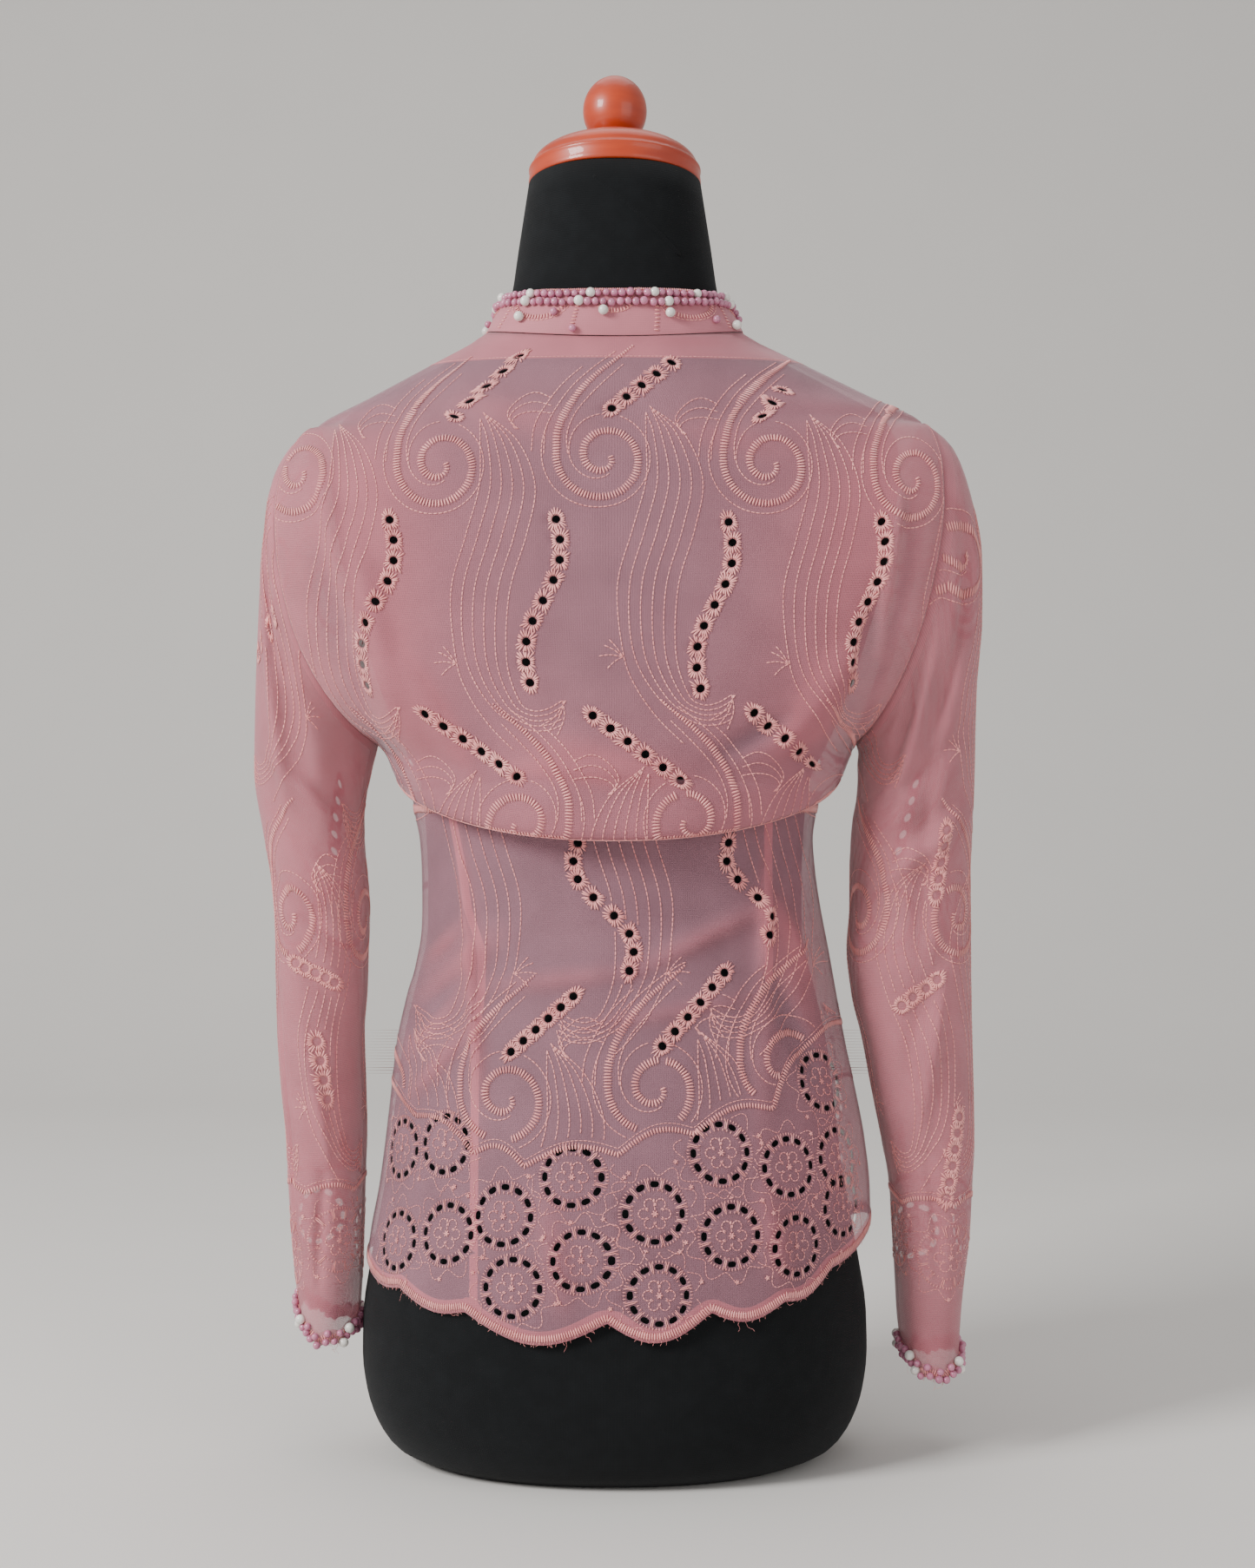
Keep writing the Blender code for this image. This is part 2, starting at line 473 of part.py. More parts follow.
class BodyPanel:
    """The blouse's back or front as a surface: across from -1 to 1, and down in rows of the table."""

    def __init__(self, facing, name):
        self.facing = facing
        self.name = name
        first = 2 if facing > 0 else 4
        self.middle_z = [row[first] for row in BODICE_ROWS]
        self.middle_reach = [row[first + 1] for row in BODICE_ROWS]
        self.rows = len(BODICE_ROWS) - 1
        self.lap = 0.0

    def seam(self, across, down):
        left, right = SEAMS[self.facing, "left"], SEAMS[self.facing, "right"]
        leftward = across >= 0
        ends = [np.where(leftward, smooth(left[:, k], down), smooth(right[:, k], down)) for k in range(3)]
        return ends, np.where(leftward, 1.0, -1.0)

    def draped(self, across, down):
        """The surface before its folds."""
        (edge_x, edge_y, edge_z), sign = self.seam(across, down)
        turn = smooth(TURNS, down)
        angle = np.abs(across) * turn
        outward = rounded(np.sin(angle) / np.sin(turn), SECTION_POWER)
        inward = (np.cos(angle) - np.cos(turn)) / (1.0 - np.cos(turn))
        inward = np.maximum(inward, 0.0) ** SECTION_POWER
        reach = self.facing * smooth(self.middle_reach, down)
        x = sign * edge_x * outward
        y = edge_y + (reach - edge_y) * inward
        z = edge_z + (smooth(self.middle_z, down) - edge_z) * inward ** HEIGHT_POWER
        return np.stack([x, y, z], axis=-1)

    def across_at(self, x, down):
        """How far across the panel a place lies that is x from the middle."""
        down = np.asarray(down, float)
        sign = 1.0 if x >= 0 else -1.0
        (edge_x, _, _), _ = self.seam(np.full(down.shape, sign), down)
        turn = smooth(TURNS, down)
        share = np.minimum(abs(x) / edge_x, 1.0) ** (1.0 / SECTION_POWER)
        return sign * np.arcsin(share * np.sin(turn)) / turn

    def points(self, across, down):
        across = np.asarray(across, float)
        down = np.asarray(down, float)
        surface = self.draped(across, down)
        outward = surface[:, :2] * [0.35, 1.0]
        outward /= np.linalg.norm(outward, axis=1)[:, None]
        seam_fade = np.clip((1.0 - np.abs(across)) / 0.12, 0.0, 1.0)
        fold_zone = np.clip(np.abs(down - (FOLD_BOTTOM_ROW + FOLD_TOP_ROW) / 2) / 5.5 - 0.4, 0.0, 1.0)
        raised = np.zeros(len(surface))
        for panel, x0, z0, x1, z1, half_width, height in PANEL_FOLDS:
            if (panel == "back") == (self.facing > 0):
                distance, fade = near_segment(surface[:, 0], surface[:, 2], (x0, z0), (x1, z1))
                raised += height * fade * np.exp(-(distance / half_width) ** 2)
        if self.facing > 0:
            raised *= fold_zone
        surface[:, :2] += outward * (raised * seam_fade)[:, None]
        surface = clear_of_form(surface, CLOTH_CLEARANCE)
        if self.lap:
            past = (surface[:, 0] + LAP_EASE) / (LAP_EASE - FRONT_LAP - 2 * MM)
            past = np.clip(past, 0.0, 1.0)
            surface[:, 1] -= LAP_DEPTH * past ** 2 * (3.0 - 2.0 * past)
        return surface

    def length_down(self):
        """Distance down the cloth at the middle, for each tenth of a row."""
        down = np.linspace(0.0, self.rows, self.rows * 10 + 1)
        line = self.points(np.full(len(down), 0.3), down)
        return down, np.concatenate([[0.0], np.cumsum(np.linalg.norm(np.diff(line, axis=0), axis=1))])

    def place(self, x, z, first_row, last_row):
        """The place on the panel that is seen at x and z, looked for between two rows."""
        low, high = first_row, last_row
        for _ in range(30):
            down = (low + high) / 2
            across = self.across_at(x, np.array([down]))
            if self.draped(across, np.array([down]))[0, 2] > z:
                low = down
            else:
                high = down
        return float(across[0]), down

    def hem_row(self, hem, across):
        """The row at which a panel ends, so that its edge follows the hem's scallops."""
        low, high = FOLD_TOP_ROW + 2.0, float(self.rows)
        for _ in range(30):
            down = (low + high) / 2
            x, _, z = self.draped(np.array([across]), np.array([down]))[0]
            if z > scallop(hem, x):
                low = down
            else:
                high = down
        return down


class SleeveTube:
    """A sleeve as a surface: degrees round it from the outer side towards the back, and down in rows."""

    def __init__(self, hand):
        hole = ARMHOLES[hand]
        self.hand = hand
        self.sign = 1.0 if hand == "left" else -1.0
        first = (*hole["top"], *hole["under"], *hole["reach"], 0.0)
        self.table = np.array((first,) + SLEEVE_ROWS[hand])
        self.rows = len(self.table) - 1
        self.seam_bow = hole["bow"]

    def draped(self, turned, down):
        angle = np.radians(turned)
        rise = rounded(np.cos(angle), SLEEVE_POWER)
        swing = rounded(np.sin(angle), SLEEVE_POWER)
        top_x, top_z, in_x, in_z, back, front = (smooth(self.table[:, k], down) for k in range(6))
        bow = smooth([self.seam_bow[0], *self.table[1:, 6]], down)
        bow = np.where(swing > 0, bow, bow * self.seam_bow[1] / self.seam_bow[0])
        x = (top_x + in_x) / 2 + (top_x - in_x) / 2 * rise + bow * swing ** 2
        z = (top_z + in_z) / 2 + (top_z - in_z) / 2 * rise
        y = np.where(swing > 0, back, front) * swing
        return np.stack([x, y, z], axis=-1)

    def points(self, turned, down):
        turned = np.asarray(turned, float)
        down = np.asarray(down, float)
        surface = self.draped(turned, down)
        angle = np.radians(turned)
        outward = np.stack([np.cos(angle), np.sin(angle)], axis=-1)
        raised = np.zeros(len(surface))
        for hand, turn0, z0, turn1, z1, half_width, height in SLEEVE_FOLDS:
            if hand == self.hand:
                start = (math.radians(turn0) * SLEEVE_RADIUS, z0)
                end = (math.radians(turn1) * SLEEVE_RADIUS, z1)
                distance, fade = near_segment(angle * SLEEVE_RADIUS, surface[:, 2], start, end)
                raised += height * fade * np.exp(-(distance / half_width) ** 2)
        raised *= np.clip((down - 0.6) / 2.0, 0.0, 1.0)
        surface[:, :2] += outward * raised[:, None]
        surface[:, 0] *= self.sign
        return surface

    def length_down(self):
        down = np.linspace(0.0, self.rows, self.rows * 10 + 1)
        line = self.points(np.full(len(down), 90.0), down)
        return down, np.concatenate([[0.0], np.cumsum(np.linalg.norm(np.diff(line, axis=0), axis=1))])

    def row_at(self, turned, z):
        low, high = 0.0, float(self.rows)
        for _ in range(30):
            down = (low + high) / 2
            if self.draped(np.array([turned]), np.array([down]))[0, 2] > z:
                low = down
            else:
                high = down
        return down

    def cuff_row(self, turned):
        outer, middle, inner = CUFFS[self.hand]
        lean = math.cos(math.radians(turned))
        return self.row_at(turned, middle + ((outer if lean > 0 else inner) - middle) * lean ** 2)


def scallop(hem, x):
    """Height of a scalloped hem at x."""
    starts = [row[0] for row in hem]
    x = min(max(x, starts[0]), starts[-1])
    lobe = min(max(int(np.searchsorted(starts, x)) - 1, 0), len(hem) - 2)
    share = (x - starts[lobe]) / (starts[lobe + 1] - starts[lobe])
    level = hem[lobe][1] + (hem[lobe + 1][1] - hem[lobe][1]) * share
    return level - hem[lobe][2] * math.sin(math.pi * share)


def hole_outline(surface, middle, corners):
    """Corners given in metres along and down the cloth, as places on the surface round a middle."""
    nudge = 0.01 if abs(middle[0]) <= 1.0 else 1.0
    at = surface.points([middle[0], middle[0] + nudge, middle[0]], [middle[1], middle[1], middle[1] + 0.05])
    per_across = np.linalg.norm(at[1] - at[0]) / nudge
    per_down = np.linalg.norm(at[2] - at[0]) / 0.05
    return [(middle[0] + u / per_across, middle[1] + v / per_down) for u, v in corners]


def eyelet_corners():
    angles = [math.tau * (k + 0.5) / EYELET_SIDES for k in range(EYELET_SIDES)]
    return [(EYELET_RADIUS * math.cos(a), EYELET_RADIUS * math.sin(a)) for a in angles]


def slot_corners(angle):
    """A slot of a ring: four corners, longer round the ring than across it."""
    out, round_ = (math.cos(angle), math.sin(angle)), (-math.sin(angle), math.cos(angle))
    corners = []
    for a, b in ((-1, -1), (1, -1), (1, 1), (-1, 1)):
        r, t = RING_RADIUS + a * SLOT_WIDTH / 2, b * SLOT_LENGTH / 2
        corners.append((r * out[0] + t * round_[0], r * out[1] + t * round_[1]))
    return corners


def body_holes(panel):
    holes = []
    for name, x, z, run_x, run_z, sway, count in EYELET_LINES:
        if name != panel.name:
            continue
        if panel.facing < 0:
            rows = (0.0, panel.rows)
        elif z > FOLD_HEIGHT:
            rows = (0.0, FOLD_BOTTOM_ROW)
        else:
            rows = (FOLD_TOP_ROW - 1.0, panel.rows)
        for k in range(count):
            t = k / (count - 1)
            at = x + run_x * t - sway * math.sin(math.tau * t), z + run_z * t
            middle = panel.place(*at, *rows)
            holes.append(hole_outline(panel, middle, eyelet_corners()))
    for name, x, z in SLOT_RINGS:
        if name == panel.name:
            middle = panel.place(x, z, FOLD_TOP_ROW, panel.rows)
            for k in range(SLOTS_IN_RING):
                holes.append(hole_outline(panel, middle, slot_corners(math.tau * k / SLOTS_IN_RING)))
    return holes


def sleeve_holes(sleeve, first, last):
    holes = []
    for hand, turned, z, run_turned, run_z, count in SLEEVE_EYELETS:
        if hand == sleeve.hand and first < turned < last:
            for k in range(count):
                t = k / (count - 1)
                angle = turned + run_turned * t
                middle = (angle, sleeve.row_at(angle, z + run_z * t))
                holes.append(hole_outline(sleeve, middle, eyelet_corners()))
    return holes


def new_object(name, mesh, finish, parts):
    mesh.materials.append(finish)
    piece = bpy.data.objects.new(name, mesh)
    parts.objects.link(piece)
    return piece


def cloth_piece(name, surface, outline, inner, holes, span, finish, parts, inward=False):
    """Triangulate a flat piece with its holes, lay it on its surface, and give the cloth its thickness."""
    rows, lengths = surface.length_down()
    room = [np.mean(hole, axis=0) for hole in holes]
    flat = [(u * span, -np.interp(v, rows, lengths)) for u, v in outline]
    places = list(outline)
    rings = [list(range(len(outline)))]
    for hole in holes:
        rings.append(list(range(len(places), len(places) + len(hole))))
        places += hole
        flat += [(u * span, -np.interp(v, rows, lengths)) for u, v in hole]
    middles = np.array([(u * span, -np.interp(v, rows, lengths)) for u, v in room] or [(9.0, 9.0)])
    border = np.array(flat[:len(outline)])
    for u, v in inner:
        spot = np.array([u * span, -np.interp(v, rows, lengths)])
        clear_of_holes = np.hypot(*(middles - spot).T).min() > EYELET_ROOM
        if clear_of_holes and inside(border, spot) and np.hypot(*(border - spot).T).min() > EDGE_MARGIN:
            places.append((u, v))
            flat.append(tuple(spot))
    edges = [(ring[k], ring[(k + 1) % len(ring)]) for ring in rings for k in range(len(ring))]
    result = delaunay_2d_cdt([Vector(point) for point in flat], edges, [], 1, 1e-7, True)
    corners, faces, sources = result[0], result[2], result[3]
    origin = [source[0] for source in sources]
    owner = {index: number for number, ring in enumerate(rings[1:]) for index in ring}
    kept = []
    for face in faces:
        owners = {owner.get(origin[corner], -1) for corner in face}
        in_hole = len(owners) == 1 and -1 not in owners
        if not in_hole and inside(border, np.mean([flat[origin[corner]] for corner in face], axis=0)):
            kept.append(tuple(face))
    points = surface.points([places[k][0] for k in origin], [places[k][1] for k in origin])
    mesh = bpy.data.meshes.new(name)
    mesh.from_pydata([tuple(point) for point in centred(points)], [], kept)
    lean = sum(polygon.normal.y for polygon in mesh.polygons)
    middle_y = sum(polygon.center.y for polygon in mesh.polygons)
    if lean * middle_y < 0:
        mesh.flip_normals()
    mesh.shade_smooth()
    piece = new_object(name, mesh, finish, parts)
    wall = piece.modifiers.new("Cloth wall", "SOLIDIFY")
    wall.thickness = CLOTH_WALL
    wall.offset = -1.0 if inward else 1.0
    return piece


def inside(border, spot):
    """Whether a flat point lies inside an outline."""
    a, b = border, np.roll(border, -1, axis=0)
    crosses = (a[:, 1] > spot[1]) != (b[:, 1] > spot[1])
    rise = np.where(crosses, b[:, 1] - a[:, 1], 1.0)
    at = a[:, 0] + (spot[1] - a[:, 1]) * (b[:, 0] - a[:, 0]) / rise
    return bool(np.count_nonzero(crosses & (at > spot[0])) % 2)


def centred(points):
    """Bring the model over the origin."""
    return np.asarray(points) - [BOX_MIDDLE[0], BOX_MIDDLE[1], 0.0]


def make_back(finish, parts):
    panel = BodyPanel(1, "back")
    columns = np.linspace(-1.0, 1.0, COLUMNS_ACROSS + 1)
    ends = {side: panel.hem_row(BACK_HEM, side) for side in (-1.0, 1.0)}
    neckline = [(u, 0.0) for u in np.linspace(-1.0, 1.0, 2 * BAND_STEPS + 1)]
    left = [(1.0, v) for v in range(1, panel.rows) if v < ends[1.0] - 0.3]
    hem = [(u, panel.hem_row(BACK_HEM, u)) for u in np.linspace(1.0, -1.0, HEM_POINTS_BACK)]
    right = [(-1.0, v) for v in range(panel.rows, 0, -1) if v < ends[-1.0] - 0.3]
    outline = neckline + left + hem + right
    inner = [(u, v) for v in range(1, panel.rows) for u in columns[1:-1]]
    cloth_piece("back", panel, outline, inner, body_holes(panel), PANEL_SPAN, finish, parts)


def neckline_shares():
    """Shares of the front neckline, closest together at the neck's side, where it turns most."""
    return 1.0 - np.cos(np.linspace(0.0, math.pi / 2, BAND_STEPS + 1))


def neckline_place(panel, hand_sign, down):
    """The front neckline: a V from the neck's side to the centre."""
    x = NECK_SIDE_X * (1.0 - down / NECKLINE_ROWS)
    return float(panel.across_at(hand_sign * max(x, 1e-6), np.array([down]))[0])


def make_front(hand, finish, parts):
    sign = 1.0 if hand == "left" else -1.0
    panel = BodyPanel(-1, hand + "_front")
    panel.lap = 1.0 if hand == "right" else 0.0
    side_end = panel.hem_row(FRONT_HEM, sign)
    lap_rows = [NECKLINE_ROWS + 0.25] + list(range(int(NECKLINE_ROWS) + 1, panel.rows))
    neckline = [(neckline_place(panel, sign, v), v) for v in NECKLINE_ROWS * neckline_shares()]
    lap_edge = [(float(panel.across_at(-sign * FRONT_LAP, np.array([v]))[0]), v) for v in lap_rows]
    lap_hem = panel.hem_row(FRONT_HEM, lap_edge[-1][0])
    lap_edge = [place for place in lap_edge if place[1] < lap_hem - 0.3]
    hem = [(u, panel.hem_row(FRONT_HEM, u)) for u in np.linspace(lap_edge[-1][0], sign, HEM_POINTS_FRONT)]
    side = [(sign, v) for v in range(panel.rows, 0, -1) if v < side_end - 0.3]
    outline = neckline + lap_edge + hem + side
    columns = np.linspace(0.0, 1.0, COLUMNS_ACROSS // 2 + 1)
    rows = [v for v in range(1, panel.rows) if v not in ROWS_FOR_BACK_FOLD_ONLY]
    inner = [(sign * u, v) for v in rows for u in columns[:-1]]
    cloth_piece(hand + "_front", panel, outline, inner, body_holes(panel), PANEL_SPAN, finish, parts)


def make_sleeve_half(hand, half, finish, parts):
    sleeve = SleeveTube(hand)
    gap = math.degrees(SEAM_GAP / 2 / SLEEVE_SEAM_RADIUS)
    first, last = (gap, 180.0 - gap) if half == "back" else (180.0 + gap, 360.0 - gap)
    angles = np.linspace(first, last, SLEEVE_COLUMNS + 1)
    first_ring = sleeve.draped(angles, np.zeros(len(angles)))
    step = np.linalg.norm(sleeve.draped(angles, np.full(len(angles), 0.5)) - first_ring, axis=1) / 0.5
    top = [(a, SLEEVE_SEAM / length) for a, length in zip(angles, step)]
    down = [(last, v) for v in range(1, sleeve.rows) if v < sleeve.cuff_row(last) - 0.3]
    cuff = [(a, sleeve.cuff_row(a)) for a in np.linspace(last, first, CUFF_POINTS)]
    up = [(first, v) for v in range(sleeve.rows, 0, -1) if v < sleeve.cuff_row(first) - 0.3]
    inner = [(a, v) for v in range(1, sleeve.rows) for a in angles[1:-1]]
    holes = sleeve_holes(sleeve, first, last)
    name = hand + "_sleeve_" + half
    cloth_piece(name, sleeve, top + down + cuff + up, inner, holes, SLEEVE_SPAN, finish, parts, inward=True)


def band_stations(hand_sign):
    """The neckband's lower and upper edges, from the centre back round to the centre front."""
    back, front = BodyPanel(1, "back"), BodyPanel(-1, "front")
    front.lap = 0.0
    lower, upper = [], []
    for share in np.linspace(0.0, 1.0, BAND_STEPS + 1):
        angle = hand_sign * share * math.pi / 2
        lower.append(back.points([hand_sign * share], [0.0])[0])
        top = BAND_TOP_BACK + (BAND_TOP_SIDE - BAND_TOP_BACK) * math.sin(angle) ** 2
        upper.append(form_point(angle, top, BAND_CLEARANCE))
    side_x = upper[-1][0]
    for share in neckline_shares()[1:]:
        down = NECKLINE_ROWS * share
        lower.append(front.points([neckline_place(front, hand_sign, down)], [down])[0])
        z = BAND_TOP_SIDE + (BAND_TOP_FRONT - BAND_TOP_SIDE) * share
        half_width, _, _ = form_reach(z)
        x = abs(side_x) * (1.0 - share)
        angle = math.pi - math.asin(min(x / half_width, 1.0) ** (1.0 / SECTION_POWER))
        upper.append(form_point(hand_sign * angle, z, BAND_FRONT_CLEARANCE))
    return np.array(lower), np.array(upper)


def make_neckband(finish, parts):
    sides = {sign: band_stations(sign) for sign in (1.0, -1.0)}
    lower = np.concatenate([sides[-1.0][0][:0:-1], sides[1.0][0]])
    upper = np.concatenate([sides[-1.0][1][:0:-1], sides[1.0][1]])
    lower[0, 0], upper[0, 0], lower[-1, 0], upper[-1, 0] = np.array([-1, -1, 1, 1]) * BAND_END
    rise = upper - lower
    along = np.gradient(lower, axis=0)
    along /= np.linalg.norm(along, axis=1)[:, None]
    across = np.linalg.norm(rise - along * np.sum(rise * along, axis=1)[:, None], axis=1)[:, None]
    lower = lower + rise / across * BAND_SEAM
    rows = []
    for share in (0.0, 0.5, 1.0):
        line = lower + (upper - lower) * share
        outward = line * [1.0, 1.0, 0.0]
        outward /= np.linalg.norm(outward, axis=1)[:, None]
        line = line + outward * BAND_FULLNESS * math.sin(math.pi * share)
        rows.append(clear_of_form(line, BAND_CLEARANCE))
    bm = bmesh.new()
    verts = [[bm.verts.new(point) for point in centred(row)] for row in rows]
    for below, above in zip(verts, verts[1:]):
        for k in range(len(below) - 1):
            bm.faces.new((below[k], below[k + 1], above[k + 1], above[k]))
    mesh = bpy.data.meshes.new("neckband")
    bm.to_mesh(mesh)
    bm.free()
    middle = mesh.polygons[len(mesh.polygons) // 4]
    if middle.normal.y * middle.center.y < 0:
        mesh.flip_normals()
    mesh.shade_smooth()
    band = new_object("neckband", mesh, finish, parts)
    wall = band.modifiers.new("Band wall", "SOLIDIFY")
    wall.thickness = BAND_WALL
    wall.offset = 1.0


def make_form(finish, parts):
    """Loft the form's rings, and close it flat below and, tilted like the cap, above."""
    angles = np.linspace(0.0, math.tau, FORM_COLUMNS, endpoint=False)
    bm = bmesh.new()
    rings = []
    for number, row in enumerate(FORM_ROWS):
        ring = form_point(angles, np.full(FORM_COLUMNS, row[0]))
        if number == len(FORM_ROWS) - 1:
            ring[:, 2] += ring[:, 1] * math.tan(CAP_TILT)
        rings.append([bm.verts.new(point) for point in centred(ring)])
    for below, above in zip(rings, rings[1:]):
        for k in range(FORM_COLUMNS):
            after = (k + 1) % FORM_COLUMNS
            bm.faces.new((below[k], above[k], above[after], below[after]))
    bm.faces.new(rings[0])
    bm.faces.new(rings[-1][::-1])
    bmesh.ops.recalc_face_normals(bm, faces=bm.faces)
    mesh = bpy.data.meshes.new("form_body")
    bm.to_mesh(mesh)
    bm.free()
    mesh.shade_smooth()
    new_object("form_body", mesh, finish, parts)


def turned_piece(name, profile, finish, parts):
    """Turn a profile, given from the top down its outer side, about the cap's axis."""
    mesh = bpy.data.meshes.new(name)
    corners = [(radius, 0.0, height) for radius, height in profile]
    mesh.from_pydata(corners, [(k, k + 1) for k in range(len(corners) - 1)], [])
    piece = new_object(name, mesh, finish, parts)
    piece.location = (-BOX_MIDDLE[0], -BOX_MIDDLE[1], NECK_TOP)
    piece.rotation_euler = (CAP_TILT, 0.0, 0.0)
    turn = piece.modifiers.new("Turned", "SCREW")
    turn.steps = TURNED_STEPS
    turn.render_steps = TURNED_STEPS
    turn.use_merge_vertices = True
    turn.merge_threshold = 0.0001
    turn.use_smooth_shade = True


def arc(middle, radius_x, radius_z, first, last, steps):
    """Points of an ellipse between two angles, from the top down."""
    angles = [math.radians(first + (last - first) * k / steps) for k in range(steps + 1)]
    return [(middle[0] + radius_x * math.sin(a), middle[1] + radius_z * math.cos(a)) for a in angles]


def make_cap(finish, parts):
    base = SEAM_GAP
    rim_top = base + CAP_RIM
    dome = arc((0.0, rim_top), CAP_RADIUS - 2 * MM, CAP_RISE - CAP_RIM, 18.0, 88.0, 6)
    step = [(0.0, base + CAP_RISE), (CAP_STEP_RADIUS - 2 * MM, base + CAP_RISE)]
    rim = [(CAP_RADIUS, base + 2 * MM), (CAP_RADIUS - 1 * MM, base), (0.0, base)]
    turned_piece("neck_cap", step + dome + rim, finish, parts)


def make_finial(finish, parts):
    base = SEAM_GAP * 2 + CAP_RISE
    half_height = FINIAL_RADIUS * 1.1
    ball = arc((0.0, base + FINIAL_HEIGHT - half_height), FINIAL_RADIUS, half_height, 0.0, 136.0, 9)
    foot = [(FINIAL_FOOT, base + 2 * MM), (FINIAL_FOOT, base), (0.0, base)]
    turned_piece("finial", ball + foot, finish, parts)


def make_finish(name):
    colour, roughness, coat = FINISHES[name]
    material = bpy.data.materials.new(name)
    material.use_nodes = True
    shader = material.node_tree.nodes["Principled BSDF"]
    shader.inputs["Base Color"].default_value = (*colour, 1.0)
    shader.inputs["Roughness"].default_value = roughness
    shader.inputs["Metallic"].default_value = 0.0
    shader.inputs["Coat Weight"].default_value = coat
    return material


def main():
    for thing in list(bpy.data.objects):
        bpy.data.objects.remove(thing, do_unlink=True)
    parts = bpy.data.collections.new("kebaya_blouse_on_dress_form")
    bpy.context.scene.collection.children.link(parts)
    finishes = {name: make_finish(name) for name in FINISHES}
    make_form(finishes["jersey"], parts)
    make_cap(finishes["lacquered_wood"], parts)
    make_finial(finishes["lacquered_wood"], parts)
    make_back(finishes["voile"], parts)
    for hand in ("left", "right"):
        make_front(hand, finishes["voile"], parts)
        for half in ("back", "front"):
            make_sleeve_half(hand, half, finishes["voile"], parts)
    make_neckband(finishes["beaded_band"], parts)


main()
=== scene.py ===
"""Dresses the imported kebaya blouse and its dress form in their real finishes.

The blouse is sheer rose voile, worked with rayon thread in running stitch, satin stitch and cut eyelets, with
a scalloped border and glass pearls. It hangs on a black jersey form with a lacquered cap. Metres, +Z up; the
camera looks at the back of the blouse, which faces +Y, and the wearer's left is +X.
"""

import math

import bmesh
import bpy
import numpy as np
from bpy.props import FloatProperty, FloatVectorProperty, PointerProperty
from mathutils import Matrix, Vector
from mathutils.geometry import delaunay_2d_cdt


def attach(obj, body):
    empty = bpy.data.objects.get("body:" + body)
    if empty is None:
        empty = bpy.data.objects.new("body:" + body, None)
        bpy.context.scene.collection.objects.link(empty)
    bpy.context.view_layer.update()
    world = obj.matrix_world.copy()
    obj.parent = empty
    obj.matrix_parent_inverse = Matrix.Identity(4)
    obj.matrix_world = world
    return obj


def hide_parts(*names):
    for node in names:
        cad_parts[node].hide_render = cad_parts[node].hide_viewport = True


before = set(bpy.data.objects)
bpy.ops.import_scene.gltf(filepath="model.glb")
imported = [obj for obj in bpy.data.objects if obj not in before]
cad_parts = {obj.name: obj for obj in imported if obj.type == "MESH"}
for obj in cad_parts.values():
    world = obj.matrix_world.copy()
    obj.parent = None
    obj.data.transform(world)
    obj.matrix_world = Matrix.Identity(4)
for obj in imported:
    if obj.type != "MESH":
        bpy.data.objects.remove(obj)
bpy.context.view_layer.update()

bl_info = {
    "name": "Kebaya blouse on a dress form",
    "version": (1, 0, 0),
    "blender": (4, 5, 0),
    "location": "3D View > Sidebar > Kebaya",
    "description": "Sheer embroidered blouse with worked eyelets and pearls, on a jersey dress form",
    "category": "Object",
}

BODY = "root"
MM = 0.001
TENTHS = 10000.0


def tenths(rows):
    """A table written in tenths of a millimetre, in metres."""
    return np.array(rows) / TENTHS


def columns(*parts):
    """Numbers side by side, one row for each place."""
    return np.stack(parts, axis=-1)


# Cloth
SHELL = 0.45 * MM
CLOTH_STEP = 4.0 * MM
FACING_DEPTH = 24.0 * MM
SEAM_ALLOWANCE = 8.0 * MM
SEAM_GAP = 0.4 * MM
CLOTH_CLEARANCE = 2.4 * MM
BAND_CLEARANCE = 0.6 * MM
BAND_FRONT_CLEARANCE = 1.6 * MM
BAND_SEAM = 1.5 * MM
BAND_END = 1.0 * MM
SLEEVE_RADIUS = 50.0 * MM

# Laid flat, a panel's half-width and a degree round a sleeve
PANEL_SPAN = 200.0 * MM
SLEEVE_SPAN = 0.9 * MM

# Worked holes: round eyelets in lines, and slots set in rings above the hem
EYELET_RADIUS = 2.5 * MM
SLOT_WIDTH = 4.2 * MM
SLOTS_IN_RING = 12
RING_RADIUS = 16.5 * MM

# Where the shoulder seams leave the neck, and the front neckline
NECK_SIDE_X = 77.6 * MM
NECK_SIDE_Z = 704.0 * MM
FRONT_LAP = 9.0 * MM
LAP_DEPTH = 3.0 * MM
LAP_EASE = 50.0 * MM
NECKLINE_ROWS = 9.0

# Neckband
BAND_TOP_BACK = 721.5 * MM
BAND_TOP_SIDE = 724.5 * MM
BAND_TOP_FRONT = 632.0 * MM
BAND_FULLNESS = 1.2 * MM

# Sections are superellipses: 1 gives an ellipse, less gives squarer corners.
SECTION_POWER = 0.92
HEIGHT_POWER = 1.4
SLEEVE_POWER = 0.86
SLOPE_STEP = 4.0 * MM
NECK_TOP = 797.0 * MM
CAP_TILT = math.radians(6.0)
CAP_RADIUS = 54.5 * MM
CAP_RIM = 12.0 * MM
CAP_RISE = 31.0 * MM
CAP_STEP_RADIUS = 17.0 * MM
FINIAL_RADIUS = 20.3 * MM
FINIAL_HEIGHT = 41.0 * MM
FINIAL_FOOT = 14.0 * MM

